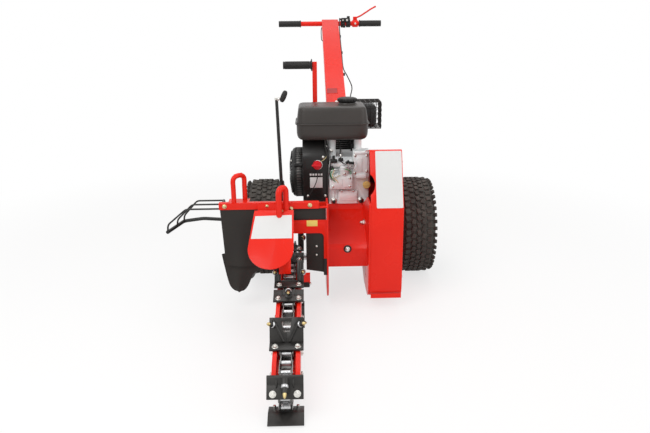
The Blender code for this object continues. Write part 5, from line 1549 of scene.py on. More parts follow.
@dataclass
class WeldedFrame:
    """Side plates, deck, apron and post, with the axle, the bearings and all that is bolted on."""

    left_x: float = -0.066
    right_x: float = 0.094
    apron_y: float = -0.3402
    portal_y: float = -0.4002
    head_y: float = -0.288
    head_z: float = 0.17

    def plates(self) -> None:
        """The welded frame with its bolts and the plain panel on the portal."""
        form = Form().use(RED).copy_of("main_frame", 0.0011)
        bolts(
            form,
            [
                (FRONT, 0.0085, [(0.014, self.apron_y - 0.0026, 0.2196)]),
                (LEFT, 0.012, [(0.0878, -0.215, 0.283), (0.0878, -0.186, 0.277)]),
                (LEFT, 0.009, [(0.079, -0.215, 0.283), (0.079, -0.186, 0.277)]),
                (FRONT, 0.0085, [(0.0, 0.2358, 0.43), (0.0, 0.2358, 0.57)]),
                (LEFT, 0.007, [(-0.0662, -0.222, 0.318)]),
            ],
        )
        # Painted shade: a black disc round the apron bolt stands in for the dark hole that the bolt sits in.
        form.use(BLACK).lathe(
            (0.014, self.apron_y + 0.0004, 0.2196), FRONT, button(0.015, 0.0022, 0.0138, 0.003), 32
        )
        form.use(YELLOW_FILM).box(
            (-0.1388, self.portal_y - 0.0004, 0.332), (-0.0995, self.portal_y + 0.001, 0.3545), 0.0003
        )
        # Painted shade: a black strip on the portal beside the left plate stands in for the shaded gap
        # there.
        form.use(BLACK)
        form.box((-0.078, self.portal_y - 0.0006, 0.1394), (-0.0624, self.portal_y + 0.0056, 0.205), 0.0005)
        self.welds(form)
        form.piece("welded_frame", "main_frame")

    def welds(self, form: Form) -> None:
        """Weld beads where the post, the portal and the sleeve meet the plates.

        Args:
            form: the frame's form.
        """
        form.use(RED)
        for start, end in (
            ((-0.029, 0.235, 0.3365), (0.029, 0.235, 0.3365)),
            ((-0.029, 0.2822, 0.3365), (0.029, 0.2822, 0.3365)),
            ((-0.0655, -0.395, 0.16), (-0.0655, -0.395, 0.35)),
            (
                (self.left_x + 0.007, self.apron_y + 0.001, 0.155),
                (self.left_x + 0.007, self.apron_y + 0.001, 0.222),
            ),
            (
                (self.right_x - 0.007, self.apron_y + 0.001, 0.155),
                (self.right_x - 0.007, self.apron_y + 0.001, 0.222),
            ),
        ):
            start, end = Vector(start), Vector(end)
            count = max(6, int((end - start).length / 0.0042))
            bead = loose(RED).lathe(
                (0, 0, -0.002), UP,
                [(0, 0), (0.0022, 0.0008), (0.0027, 0.0024), (0.0018, 0.004), (0, 0.0046)], 10,
            )
            places = [Placed(start.lerp(end, i / count), turn_to(end - start)) for i in range(count + 1)]
            form.repeat(bead, places)

    def axle(self) -> None:
        """The axle with a washer and a hexagon nut at both ends."""
        form = Form().use(STEEL)
        end = 0.3613
        form.rod((-end - 0.014, 0, AXLE_Z), (end + 0.014, 0, AXLE_Z), SHAFT_RADIUS, None, 0.0016, 32)
        for sign in (-1, 1):
            way = RIGHT * sign
            seat = (sign * end, 0, AXLE_Z)
            form.use(ZINC).lathe(seat, way, button(0.0215, 0.0022, 0.0205, 0.0026), 32)
            form.lathe(
                seat, way, [(0, 0.002), (0.019, 0.002), (0.019, 0.011), (0.017, 0.012), (0, 0.012)], 6
            )
        form.piece("axle_with_nuts", "axle")

    def bearings(self) -> None:
        """Flanged bearing housings on both plates, each held by bolts."""
        for side, start, way in (
            ("left", self.left_x - 0.0003, LEFT), ("right", self.right_x - 0.0063, LEFT)
        ):
            form = Form().use(CAST)
            seat = (start, self.head_y, self.head_z)
            profile = [
                (0.0131, 0), (0.0355, 0), (0.036, 0.001), (0.036, 0.0052), (0.034, 0.0066), (0.027, 0.0074),
                (0.0255, 0.012), (0.024, 0.0138), (0.019, 0.0138), (0.0186, 0.0128), (0.015, 0.0128),
                (0.0131, 0.0138),
            ]
            form.lathe(seat, way, profile, 64, ring=True)
            spots = [
                (start + way.x * 0.0062, self.head_y + 0.0305 * cos(a), self.head_z + 0.0305 * sin(a))
                for a in circle(4, pi / 4)
            ]
            bolts(form, [(way, 0.0044, spots)], washer=False)
            form.piece(f"{side}_bearing_flange", f"{side}_bearing")

    def build(self) -> None:
        """Makes every piece of the frame."""
        self.plates()
        self.axle()
        self.bearings()


@dataclass
class HeadDrive:
    """Head shaft with the sprocket, the auger and the driven pulley."""

    left_end: float = -0.43
    right_end: float = 0.188
    auger_right: float = -0.285
    auger_pitch: float = 0.09
    auger_radius: float = 0.08
    hub_radius: float = 0.024
    flight: float = 0.006

    def shaft(self) -> None:
        """The shaft with its ends eased."""
        form = Form(BOOM).use(STEEL).rod(
            (self.left_end, 0, 0), (self.right_end, 0, 0), SHAFT_RADIUS, None, 0.0012, 40
        )
        form.piece("keyed_head_shaft", "head_shaft", "head_drive")

    def auger(self) -> None:
        """The auger's hub and its helical flight with a worn, rounded rim."""
        low = self.left_end + 0.006
        # The auger is drawn near-black: partly its own dark steel, partly painted shade under the shield.
        form = Form(BOOM).use(FORGED)
        hub = [
            (0.0128, 0), (self.hub_radius - 0.001, 0), (self.hub_radius, 0.001),
            (self.hub_radius, self.auger_right - low - 0.001),
            (self.hub_radius - 0.001, self.auger_right - low), (0.0128, self.auger_right - low),
        ]
        form.lathe((low, 0, 0), RIGHT, hub, 48, ring=True)
        part = bmesh.new()
        steps, turns = 96, 1.5
        half = self.flight / 2
        section = [
            (self.hub_radius - 0.002, half), (self.auger_radius - 0.002, half * 0.8),
            (self.auger_radius, 0.0),
            (self.auger_radius - 0.002, -half * 0.8), (self.hub_radius - 0.002, -half),
        ]
        rings = []
        for i in range(steps + 1):
            angle = 2 * pi * turns * i / steps
            start = low + 0.008 + self.auger_pitch * turns * i / steps
            rings.append(
                [part.verts.new((start + across, r * cos(angle), r * sin(angle))) for r, across in section]
            )
        skin(part, rings)
        form.add(part)
        form.piece("soil_auger", "auger", "head_drive")

    def sprocket(self) -> None:
        """The toothed wheel, with eased edges and a hub ring."""
        form = Form(BOOM).use(LINK).copy_of("sprocket", 0.0008)
        form.piece("drive_sprocket", "sprocket", "head_drive")

    def pulley(self) -> None:
        """The driven pulley with its dished web and end bolt."""
        form = Form(BOOM).use(BLACK)
        profile = groove_profile(0.09, 0.016, 0.01, 0.014)
        profile += [
            (0.074, -0.0135), (0.07, -0.006), (0.034, -0.006), (0.03, -0.0135), (0.0128, -0.0135),
            (0.0128, 0.0135), (0.03, 0.0135), (0.034, 0.006), (0.07, 0.006), (0.074, 0.0135),
        ]
        form.lathe((BELT_X, 0, 0), RIGHT, profile, 72, ring=True)
        bolts(form, [(RIGHT, 0.0085, [(0.1835, 0, 0)])])
        form.piece("driven_belt_pulley", "driven_pulley", "head_drive")

    def build(self) -> None:
        """Makes every piece that turns on the head shaft."""
        self.shaft()
        self.auger()
        self.sprocket()
        self.pulley()


def groove_profile(radius: float, width: float, depth: float, half: float) -> Outline:
    """The rim of a belt pulley: two rounded flanges with a groove between them.

    Args:
        radius: the rim's radius.
        width: the groove's width.
        depth: the groove's depth.
        half: half the rim's width.

    Returns:
        The points, from one side to the other.
    """
    groove, bottom = width / 2 + 0.0006, radius - depth - 0.0003
    return [
        (radius - 0.001, half), (radius, half - 0.0012), (radius, groove + 0.0006),
        (radius - 0.0008, groove), (bottom, groove),
        (bottom, -groove), (radius - 0.0008, -groove), (radius, -groove - 0.0006), (radius, -half + 0.0012),
        (radius - 0.001, -half),
    ]


@dataclass
class BeltDrive:
    """The belt, the clutch on the crankshaft and the red guard over them."""

    belt_x: float = BELT_X
    crank_z: float = CRANK_Z

    def clutch(self) -> None:
        """The centrifugal clutch: drum, pulley groove and the end washer."""
        form = Form().use(BLACK)
        profile = [
            (0.045, 0.0124), (0.045, 0.0088), (0.0444, 0.0086), (0.0347, 0.0086), (0.0347, -0.0086),
            (0.0444, -0.0086),
            (0.048, -0.009), (0.05, -0.0105), (0.05, -0.042), (0.0485, -0.0434), (0.0128, -0.0434),
            (0.0128, 0.0124),
        ]
        form.lathe((self.belt_x, 0, self.crank_z), RIGHT, profile, 64, ring=True)
        bolts(form, [(RIGHT, 0.008, [(self.belt_x + 0.02, 0, self.crank_z)])])
        form.piece("centrifugal_clutch", "clutch_pulley", "engine_rotor")

    def belt(self) -> None:
        """The vee belt with its edges eased."""
        form = Form().use(GRIP).copy_of("drive_belt", 0.001, 1)
        form.piece("vee_belt", "drive_belt")

    def guard(self) -> None:
        """The pressed guard with its plain white panel, its bolts and a folded foot."""
        form = Form().use(RED).copy_of("belt_guard", 0.0012)
        top, foot = Vector((0, -0.3152, 0.5906)), Vector((0, -0.4045, 0.399))
        slope = (foot - top).normalized()
        out = Vector((0, slope.z, -slope.y)).normalized()
        if out.y > 0:
            out.negate()
        turn = Matrix((RIGHT, slope, out)).transposed().to_4x4()
        turn.translation = top
        length = (foot - top).length
        form.place = MACHINE @ turn
        panel = rounded(
            [
                (0.115, 0.002, 0.004), (0.211, 0.002, 0.004), (0.211, length + 0.002, 0.004),
                (0.115, length + 0.002, 0.004),
            ],
            4,
        )
        form.use(WHITE_FILM).slab(panel, "Z", 0.0002, 0.0009, 0.0002, 1)
        form.place = MACHINE
        form.use(RED).box((0.0975, -0.4072, 0.044), (0.212, -0.404, 0.062), 0.0008)
        bolts(
            form,
            [
                (
                    RIGHT, 0.0065,
                    [(0.2137, y, z) for y, z in ((-0.3, 0.545), (-0.38, 0.12), (-0.2, 0.1), (0.045, 0.43))],
                )
            ],
        )
        form.piece("belt_guard_shell", "belt_guard")

    def build(self) -> None:
        """Makes the clutch, the belt and the guard."""
        self.clutch()
        self.belt()
        self.guard()


@dataclass
class Engine:
    """The single-cylinder engine with its fan housing, tank, exhaust and intake."""

    crank_z: float = CRANK_Z
    left_x: float = -0.05
    right_x: float = 0.112
    front_y: float = -0.118
    blower_left: float = -0.152
    blower_right: float = -0.0503
    blower_top: float = 0.596
    recoil_radius: float = 0.103
    tank_low: Pair = (-0.173, -0.155)
    tank_high: Pair = (0.107, 0.04)
    tank_foot: float = 0.597
    tank_flange: float = 0.662

    def crankcase(self) -> None:
        """The die-cast crankcase with ribs, pads, governor cover, bosses and its foot bolts."""
        form = Form().use(CAST).copy_of("crankcase", 0.0022)
        face = self.front_y - 0.0005
        for i in range(4):
            start = -0.04 + 0.0115 * i
            form.box((start, face - 0.0045, 0.352), (start + 0.003, face + 0.002, 0.402), 0.0012)
        form.boxes([
            ((-0.0085, face - 0.0165, 0.349), (0.064, face - 0.012, 0.385), 0.0022),
            ((-0.004, face - 0.0172, 0.358), (0.0595, face - 0.0155, 0.378), 0.001),
            ((0.05, face - 0.013, 0.456), (0.108, face - 0.008, 0.543), 0.003),
            ((0.062, face - 0.0155, 0.468), (0.085, face - 0.012, 0.525), 0.0016),
            ((0.06, face - 0.019, 0.442), (0.102, face - 0.004, 0.458), 0.003),
            ((0.052, face - 0.017, 0.54), (0.11, face - 0.004, 0.553), 0.003),
        ])
        for x in (-0.034, 0.07):
            form.lathe(
                (x, -0.08, 0.52), UP,
                [(0, 0), (0.0165, 0), (0.015, 0.03), (0.0158, 0.0755), (0.014, 0.0764), (0, 0.0764)], 28,
            )
            form.rod((x - 0.003, -0.098, 0.552), (x - 0.003, -0.084, 0.552), 0.0085, 0.0095, 0.001, 24)
        bolts(
            form,
            [
                (FRONT, 0.0122, [(-0.0284, -0.1242, 0.3472), (0.0796, -0.1242, 0.3472)]),
                (
                    FRONT, 0.0052,
                    [
                        (0.0556, face - 0.013, 0.464), (0.103, face - 0.013, 0.47),
                        (0.0556, face - 0.013, 0.534), (0.103, face - 0.013, 0.534),
                    ],
                ),
                (FRONT, 0.0055, [(0.067, -0.099, 0.548)]), (FRONT, 0.006, [(-0.037, -0.0985, 0.548)]),
                (FRONT, 0.004, [(0.003, face - 0.015, 0.39), (0.05, face - 0.015, 0.39)]),
            ],
        )
        form.use(FORGED)
        for x in (-0.0284, 0.0796):
            form.lathe((x, -0.1346, 0.3472), FRONT, button(0.0074, 0.005, 0.0064, 0.006), 6)
        bolts(form, [(UP, 0.0085, [(x, 0.1, self.deck_bolt_z()) for x in (-0.03, 0.085)])])
        form.piece("crankcase_casting", "crankcase")

    def deck_bolt_z(self) -> float:
        """Height of the upper face of the engine's feet."""
        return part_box("crankcase")[0][2] + 0.0121

    def side_cover(self) -> None:
        """The cover on the belt side, with its rim bolts and a reinforced bearing boss."""
        form = Form(at((self.right_x + 0.0003, 0, self.crank_z))).use(CAST)
        profile = [
            (0.0131, 0.0), (0.0775, 0.0), (0.078, 0.0008), (0.078, 0.007), (0.0765, 0.009), (0.056, 0.01),
            (0.052, 0.0118), (0.03, 0.012), (0.028, 0.012), (0.0131, 0.012),
        ]
        form.lathe(CENTRE, RIGHT, profile, 72, ring=True)
        rib = loose(CAST).box((-0.014, -0.0015, 0), (0.014, 0.0015, 0.0032), 0.001)
        form.ring_of(rib, 8, 0.064, (0.008, 0, 0), RIGHT, pi / 8)
        form.use(ZINC).ring_of(sized(hex_bolt(), 0.0048), 8, 0.0705, (0.0086, 0, 0), RIGHT)
        form.piece("bearing_side_cover", "side_cover")

    def cylinder(self) -> None:
        """The finned barrel and the rocker cover with its four bolts."""
        # The barrel is drawn in the black coat: partly its own dark paint, partly painted shade for the
        # space between the engine and the tank.
        Form().use(BLACK).copy_of("cylinder", 0.0009).piece("finned_cylinder", "cylinder")
        form = Form().use(STEEL).copy_of("rocker_cover", 0.0)
        low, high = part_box("rocker_cover")
        middle = halfway(low, high)
        way = Vector((0, cos(radians(25)), sin(radians(25))))
        up = Vector((0, -way.z, way.y))
        bolts(
            form,
            [
                (
                    way, 0.0055,
                    [
                        tuple(middle + way * 0.0125 + RIGHT * a + up * b)
                        for a in (-0.036, 0.036) for b in (-0.036, 0.036)
                    ],
                )
            ],
        )
        form.piece("rocker_lid", "rocker_cover")

    def rotor(self) -> None:
        """Crankshaft and the finned flywheel behind the starter."""
        form = Form().use(STEEL).rod(
            (self.blower_left + 0.0102, 0, self.crank_z), (0.1898, 0, self.crank_z), SHAFT_RADIUS, None,
            0.001, 32,
        )
        form.piece("crank_with_key", "crankshaft", "engine_rotor")
        form = Form().use(CAST).copy_of("flywheel", 0.0)
        form.piece("fan_flywheel", "flywheel", "engine_rotor", 40)

    def blower(self) -> None:
        """The pressed fan housing with its seam, its bolts, the stop switch's seat and plain panels."""
        form = Form().use(BLACK).copy_of("blower_housing", 0.005, 3)
        face = self.front_y - 0.0162
        form.box(
            (self.blower_right - 0.01, face - 0.0012, 0.35),
            (self.blower_right - 0.0005, face + 0.004, 0.545), 0.001,
        )
        form.use(WHITE_FILM).box((-0.1236, face - 0.0006, 0.406), (-0.074, face + 0.001, 0.449), 0.0003)
        for i in range(5):
            start = -0.1245 + 0.0108 * i
            form.box((start, face - 0.0006, 0.456), (start + 0.0074, face + 0.001, 0.464), 0.0002)
        form.use(PLASTIC).lathe(
            (-0.094, face + 0.0006, 0.5), FRONT, button(0.0225, 0.0006, 0.0215, 0.001), 40
        )
        bolts(form, [(FRONT, 0.005, [(-0.132, face, 0.372), (-0.062, face, 0.372), (-0.07, face, 0.53)])])
        wire = smooth_line(
            [
                (-0.094, face - 0.004, 0.484), (-0.093, face - 0.012, 0.466), (-0.1, face - 0.014, 0.43),
                (-0.124, face - 0.018, 0.385), (-0.15, face - 0.014, 0.342), (-0.163, -0.12, 0.318),
            ],
            6,
        )
        form.use(GRIP).tube(wire, 0.0019, 10)
        pale = smooth_line(
            [
                (-0.08, face - 0.006, 0.514), (-0.066, face - 0.008, 0.523), (-0.056, face - 0.002, 0.536),
                (-0.052, -0.108, 0.552),
            ],
            6,
        )
        form.use(BRASS).tube(pale, 0.0016, 10)
        form.piece("fan_housing", "blower_housing")

    def starter(self) -> None:
        """The slotted starter bowl with its ribs, bolts, rope guide and the pull handle."""
        form = Form(at((self.blower_left - 0.0003, 0, self.crank_z))).use(PLASTIC)
        radius = self.recoil_radius
        profile = [
            (0.0, 0.05), (0.029, 0.0506), (0.031, 0.052), (0.069, 0.0502), (0.094, 0.0412), (0.1, 0.036),
            (radius - 0.002, 0.027), (radius - 0.002, 0.0), (radius - 0.004, 0.0), (radius - 0.004, 0.0265),
            (0.0975, 0.0335), (0.092, 0.0385), (0.068, 0.0478), (0.031, 0.0496), (0.028, 0.048),
            (0.0, 0.0475),
        ]
        form.lathe(CENTRE, LEFT, profile, 96)
        rib = loose(PLASTIC).box((-0.003, -0.0019, 0.0), (0.002, 0.0019, 0.03), 0.0009)
        form.ring_of(rib, 56, radius - 0.002, CENTRE, LEFT)
        fin = loose(PLASTIC).box(
            (-0.026, -0.0016, -0.005), (0.024, 0.0016, 0.0022), 0.0009, Matrix.Rotation(radians(9), 4, "Y")
        )
        form.ring_of(fin, 36, 0.064, (-0.0492, 0, 0), LEFT)
        form.use(SCREEN).lathe(
            CENTRE, LEFT,
            [
                (radius - 0.0016, 0.005), (radius - 0.001, 0.006), (radius - 0.001, 0.024),
                (radius - 0.0016, 0.025),
            ],
            96,
        )
        form.use(PLASTIC).lathe(
            (-0.0495, 0, 0), LEFT, [(0, 0), (0.027, 0), (0.0262, 0.0022), (0.01, 0.003), (0, 0.003)], 48
        )
        form.use(ZINC).ring_of(sized(hex_bolt(), 0.005), 4, 0.085, (-0.045, 0, 0), LEFT, pi / 4)
        form.piece("starter_bowl", "recoil_starter")
        low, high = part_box("recoil_handle")
        middle = halfway(low, high)
        grip = [
            (0, 0), (0.0052, 0), (0.0074, 0.003), (0.0062, 0.01), (0.0058, 0.017), (0.0062, 0.024),
            (0.0074, 0.031), (0.0052, 0.034), (0, 0.034),
        ]
        Form().use(PLASTIC).lathe(middle - RIGHT * 0.017, RIGHT, grip, 32).piece(
            "pull_handle", "recoil_handle", "recoil_handle"
        )

    def tank(self) -> None:
        """The pressed tank: two shells with a seam flange, a raised front panel and its straps."""
        form = Form().use(TANK_BLACK)
        foot, seam = self.tank_foot, self.tank_flange
        lower = [
            (foot, 0.03), (foot + 0.0012, 0.0205), (foot + 0.005, 0.0118), (foot + 0.011, 0.0055),
            (foot + 0.019, 0.0022), (foot + 0.03, 0.0006), (seam - 0.002, 0.0),
        ]
        form.loft(self.tank_low, self.tank_high, lower, 0.034, 9)
        form.loft(
            self.tank_low, self.tank_high,
            [
                (seam - 0.0026, 0.0002), (seam - 0.0026, -0.0042), (seam - 0.001, -0.005),
                (seam + 0.001, -0.005), (seam + 0.0026, -0.0042), (seam + 0.0026, 0.0002),
            ],
            0.034, 9,
        )
        upper = [
            (seam + 0.002, 0.001), (0.69, 0.0036), (0.713, 0.0072), (0.7195, 0.0088), (0.7232, 0.0112),
            (0.7256, 0.015), (0.7268, 0.0205), (0.7272, 0.034),
        ]
        form.loft(self.tank_low, self.tank_high, upper, 0.034, 9)
        face = self.tank_low[1]
        panel = rounded(
            [(-0.113, 0.679, 0.003), (0.052, 0.679, 0.003), (0.052, 0.711, 0.003), (-0.113, 0.711, 0.003)], 4
        )
        form.use(BLACK).slab(panel, "Y", face + 0.0012, face + 0.009, 0.0008)
        bolts(
            form, [(UP, 0.0042, [(x, y, seam + 0.0028) for x in (-0.1705, 0.1045) for y in (-0.09, 0.0)])],
            washer=False,
        )
        form.use(BLACK)
        for x in (-0.034, 0.07):
            form.box((x - 0.014, -0.1, foot - 0.0002), (x + 0.014, -0.06, foot + 0.003), 0.0008)
        form.rod((-0.06, -0.115, foot + 0.004), (-0.06, -0.115, foot - 0.014), 0.006, 0.005, 0.001, 20)
        low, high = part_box("fuel_cap")
        neck = Vector((*halfway(low, high).xy, 0.72))
        rise = low[2] - 0.0004 - neck.z
        form.use(TANK_BLACK).lathe(
            neck, UP, [(0, 0), (0.04, 0), (0.036, 0.008), (0.0345, rise), (0, rise)], 40
        )
        form.piece("pressed_fuel_tank", "fuel_tank")

    def fuel_cap(self) -> None:
        """The filler cap with its grip flutes and a vented crown."""
        low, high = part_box("fuel_cap")
        centre = Vector((*halfway(low, high).xy, low[2]))
        form = Form().use(PLASTIC)
        form.lathe(
            centre, UP,
            [
                (0, 0), (0.032, 0), (0.036, 0.003), (0.0372, 0.005), (0.0372, 0.014), (0.035, 0.0172),
                (0.029, 0.0188), (0.012, 0.0198), (0, 0.02),
            ],
            64,
        )
        rib = loose(PLASTIC).box((-0.003, -0.0026, 0.0045), (0.0028, 0.0026, 0.015), 0.0011)
        form.ring_of(rib, 22, 0.037, centre, UP)
        form.piece("filler_cap", "fuel_cap", "fuel_cap")

    def muffler(self) -> None:
        """The muffler box in its cage of welded wires."""
        form = Form().use(BLACK).copy_of("muffler", 0.0)
        form.box((0.04, 0.138, 0.648), (0.1632, 0.156, 0.662), 0.003)
        bolts(form, [(UP, 0.0055, [(0.065, 0.108, 0.5885)])])
        form.piece("muffler_box", "muffler", "frame", 50)
        low, high = Vector((0.031, 0.087, 0.605)), Vector((0.1822, 0.2052, 0.715))
        cage = Form().use(CAGE_BLACK)
        wire, pitch = 0.0015, 0.0205
        self.wires(cage, low, high, wire, pitch)
        cage.box((0.048, 0.0842, 0.5892), (0.082, 0.1118, 0.6053), 0.0012)
        cage.piece("wire_cage", "muffler_guard", "frame", 50)

    def wires(self, cage: Form, low: Vector, high: Vector, radius: float, pitch: float) -> None:
        """Wires both ways over the five faces of the cage, waved where they cross.

        Args:
            cage: the form that takes them.
            low: the cage's lowest corner.
            high: its highest corner.
            radius: the wires' radius.
            pitch: how far apart they are, about.
        """
        for axis in range(3):
            across = [i for i in range(3) if i != axis]
            count = [round((high[i] - low[i]) / pitch) for i in across]
            places = []
            for i in range(count[0] + 1):
                for j in range(count[1] + 1):
                    if i not in (0, count[0]) and j not in (0, count[1]):
                        continue
                    point = low.copy()
                    point[across[0]] += (high[across[0]] - low[across[0]]) * i / count[0]
                    point[across[1]] += (high[across[1]] - low[across[1]]) * j / count[1]
                    places.append(Placed(point, turn_to((RIGHT, REAR, UP)[axis])))
            length = high[axis] - low[axis]
            steps = max(2, round(length / pitch)) * 4
            wave = [(0.0009 * cos(2 * pi * k / 4), 0.0, length * k / steps) for k in range(steps + 1)]
            cage.repeat(loose(CAGE_BLACK).tube(wave, radius, 6), places)

    def air_cleaner(self) -> None:
        """The air cleaner's ribbed lid over its base, with a wing nut."""
        form = Form().use(PLASTIC)
        low, high = (self.blower_left + 0.004, 0.062), (-0.03, 0.176)
        foot = self.blower_top + 0.0003
        form.loft(
            low, high, [(foot, 0.01), (foot + 0.002, 0.006), (foot + 0.022, 0.003), (foot + 0.024, 0.0)],
            0.022, 7,
        )
        form.loft(
            low, high,
            [
                (foot + 0.026, -0.0004), (foot + 0.034, -0.0004), (foot + 0.07, 0.001),
                (foot + 0.092, 0.005), (foot + 0.103, 0.012), (foot + 0.1095, 0.022), (foot + 0.1112, 0.034),
            ],
            0.022, 7,
        )
        form.loft(low, high, [(foot + 0.0235, 0.003), (foot + 0.0265, 0.003)], 0.022, 7)
        for i in range(5):
            y = 0.084 + 0.0175 * i
            form.box((-0.128, y, foot + 0.106), (-0.05, y + 0.006, foot + 0.1125), 0.002)
        form.use(ZINC).rod(
            (-0.089, 0.119, foot + 0.108), (-0.089, 0.119, foot + 0.119), 0.006, 0.004, 0.001, 20
        )
        form.piece("air_cleaner_housing", "air_cleaner")

    def carburettor(self) -> None:
        """Carburettor with its bowl, choke, throttle linkage, governor springs and fuel hose."""
        front = self.front_y - 0.0003
        form = Form().use(CAST).copy_of("carburettor", 0.0016)
        form.lathe(
            (-0.046, front - 0.02, 0.505), RIGHT,
            [
                (0, 0), (0.015, 0), (0.0165, 0.002), (0.0165, 0.008), (0.013, 0.011), (0.013, 0.076),
                (0.0165, 0.079), (0.0165, 0.087), (0.012, 0.088), (0, 0.088),
            ],
            40,
        )
        form.lathe(
            (0.012, front - 0.022, 0.458), UP,
            [
                (0, 0), (0.017, 0.0), (0.019, 0.003), (0.019, 0.02), (0.0205, 0.022), (0.0205, 0.026),
                (0.015, 0.03), (0.014, 0.04), (0, 0.04),
            ],
            40,
        )
        form.box((-0.04, front - 0.039, 0.41), (0.04, front - 0.035, 0.456), 0.0022)
        form.box((-0.03, front - 0.041, 0.418), (0.006, front - 0.038, 0.448), 0.0014)
        bolts(
            form,
            [
                (
                    FRONT, 0.0042,
                    [
                        (-0.033, front - 0.0392, 0.416), (0.033, front - 0.0392, 0.416),
                        (-0.033, front - 0.0392, 0.45), (0.033, front - 0.0392, 0.45),
                    ],
                ),
                (FRONT, 0.005, [(0.012, front - 0.042, 0.468)]),
            ],
        )
        self.linkage(form, front)
        form.piece("carburettor_with_linkage", "carburettor")

    def linkage(self, form: Form, front: float) -> None:
        """Levers, rods and springs in front of the carburettor.

        Args:
            form: the form that takes them.
            front: the Y that depths are counted from, towards the front.
        """
        for finish, radius, near, deep, edge, segments, corners in (
            (
                BRASS, 0.003, 0.036, 0.0345, 0.0003, 1,
                [(-0.036, 0.474), (-0.006, 0.47), (-0.004, 0.484), (-0.03, 0.492)],
            ),
            (
                BRASS, 0.003, 0.04, 0.0385, 0.0003, 1,
                [(0.026, 0.484), (0.054, 0.478), (0.056, 0.49), (0.03, 0.498)],
            ),
            (
                BRASS, 0.002, 0.044, 0.0425, 0.0003, 1,
                [(-0.046, 0.436), (-0.039, 0.436), (-0.037, 0.484), (-0.044, 0.486)],
            ),
            (
                GRIP, 0.003, 0.043, 0.037, 0.001, 2,
                [(-0.03, 0.5), (0.006, 0.492), (0.014, 0.502), (-0.022, 0.514)],
            ),
        ):
            outline = rounded([(x, z, radius) for x, z in corners], 3)
            form.use(finish).slab(outline, "Y", front - near, front - deep, edge, segments)
        form.box((0.03, front - 0.046, 0.506), (0.05, front - 0.036, 0.516), 0.002)
        self.lines(form.use(STEEL), front, 5, 0.0011, 8, [
            [(-0.042, 0.045, 0.482), (-0.02, 0.05, 0.488), (0.01, 0.048, 0.49), (0.042, 0.042, 0.487)],
            [(-0.04, 0.046, 0.44), (-0.026, 0.052, 0.456), (-0.012, 0.048, 0.474)],
            [(0.048, 0.04, 0.486), (0.06, 0.036, 0.5), (0.058, 0.024, 0.512)],
        ])
        for start, end, coils, finish in (
            (Vector((-0.034, front - 0.048, 0.448)), Vector((-0.004, front - 0.048, 0.464)), 9, BRASS),
            (Vector((0.016, front - 0.046, 0.498)), Vector((0.046, front - 0.046, 0.494)), 8, STEEL),
        ):
            form.use(finish).tube(coil_line(start, end, 0.0028, coils), 0.0006, 6)
        form.use(PLASTIC)
        form.box((-0.044, front - 0.044, 0.512), (-0.016, front - 0.03, 0.526), 0.003)
        form.box((-0.012, front - 0.042, 0.518), (0.008, front - 0.03, 0.53), 0.003)
        form.rod((-0.03, front - 0.036, 0.524), (-0.03, front - 0.036, 0.54), 0.006, 0.005, 0.001, 20)
        form.rod((0.018, front - 0.038, 0.51), (0.03, front - 0.038, 0.52), 0.005, 0.0042, 0.001, 18)
        form.lathe((-0.038, front - 0.036, 0.49), FRONT, button(0.009, 0.006, 0.007, 0.008), 24)
        for radius, points in (
            (0.0022, [(-0.042, 0.042, 0.518), (-0.046, 0.044, 0.47), (-0.04, 0.044, 0.444)]),
            (
                0.002,
                [(-0.01, 0.043, 0.524), (0.014, 0.046, 0.506), (0.034, 0.043, 0.514), (0.048, 0.038, 0.504)],
            ),
        ):
            form.tube(bent([(x, front - depth, z) for x, depth, z in points], 0.008), radius, 10)
        self.lines(form.use(GREEN_WIRE), front, 6, 0.0014, 8, [
            [(-0.033, 0.044, 0.49), (-0.042, 0.05, 0.468), (-0.033, 0.048, 0.446), (-0.024, 0.044, 0.436)],
            [(0.008, 0.046, 0.49), (0.024, 0.05, 0.486), (0.038, 0.046, 0.476), (0.036, 0.044, 0.466)],
        ])
        self.lines(form.use(YELLOW_PLASTIC), front, 6, 0.0014, 8, [
            [(-0.027, 0.045, 0.486), (-0.035, 0.05, 0.462), (-0.02, 0.048, 0.444), (-0.013, 0.044, 0.433)],
        ])
        hose = smooth_line(
            [
                (-0.06, -0.115, self.tank_foot - 0.014), (-0.06, -0.122, 0.566),
                (-0.052, front - 0.03, 0.534), (-0.05, front - 0.026, 0.505),
            ],
            6,
        )
        form.use(GRIP).tube(hose, 0.0042, 12)
        form.use(ZINC).rod((-0.06, -0.1165, 0.572), (-0.06, -0.1185, 0.567), 0.0056, None, 0.0008, 20)

    def lines(
        self, form: Form, front: float, steps: int, radius: float, sides: int, lines: list[list[Point]]
    ) -> None:
        """Adds smooth wires in the finish in use.

        Args:
            form: the form that takes them.
            front: the Y that their depths are counted from, towards the front.
            steps: how many runs lie between two points.
            radius: the wires' radius.
            sides: how many sides a wire has.
            lines: each wire's points, as X, depth and Z.
        """
        for points in lines:
            form.wire([(x, front - depth, z) for x, depth, z in points], radius, sides, steps)

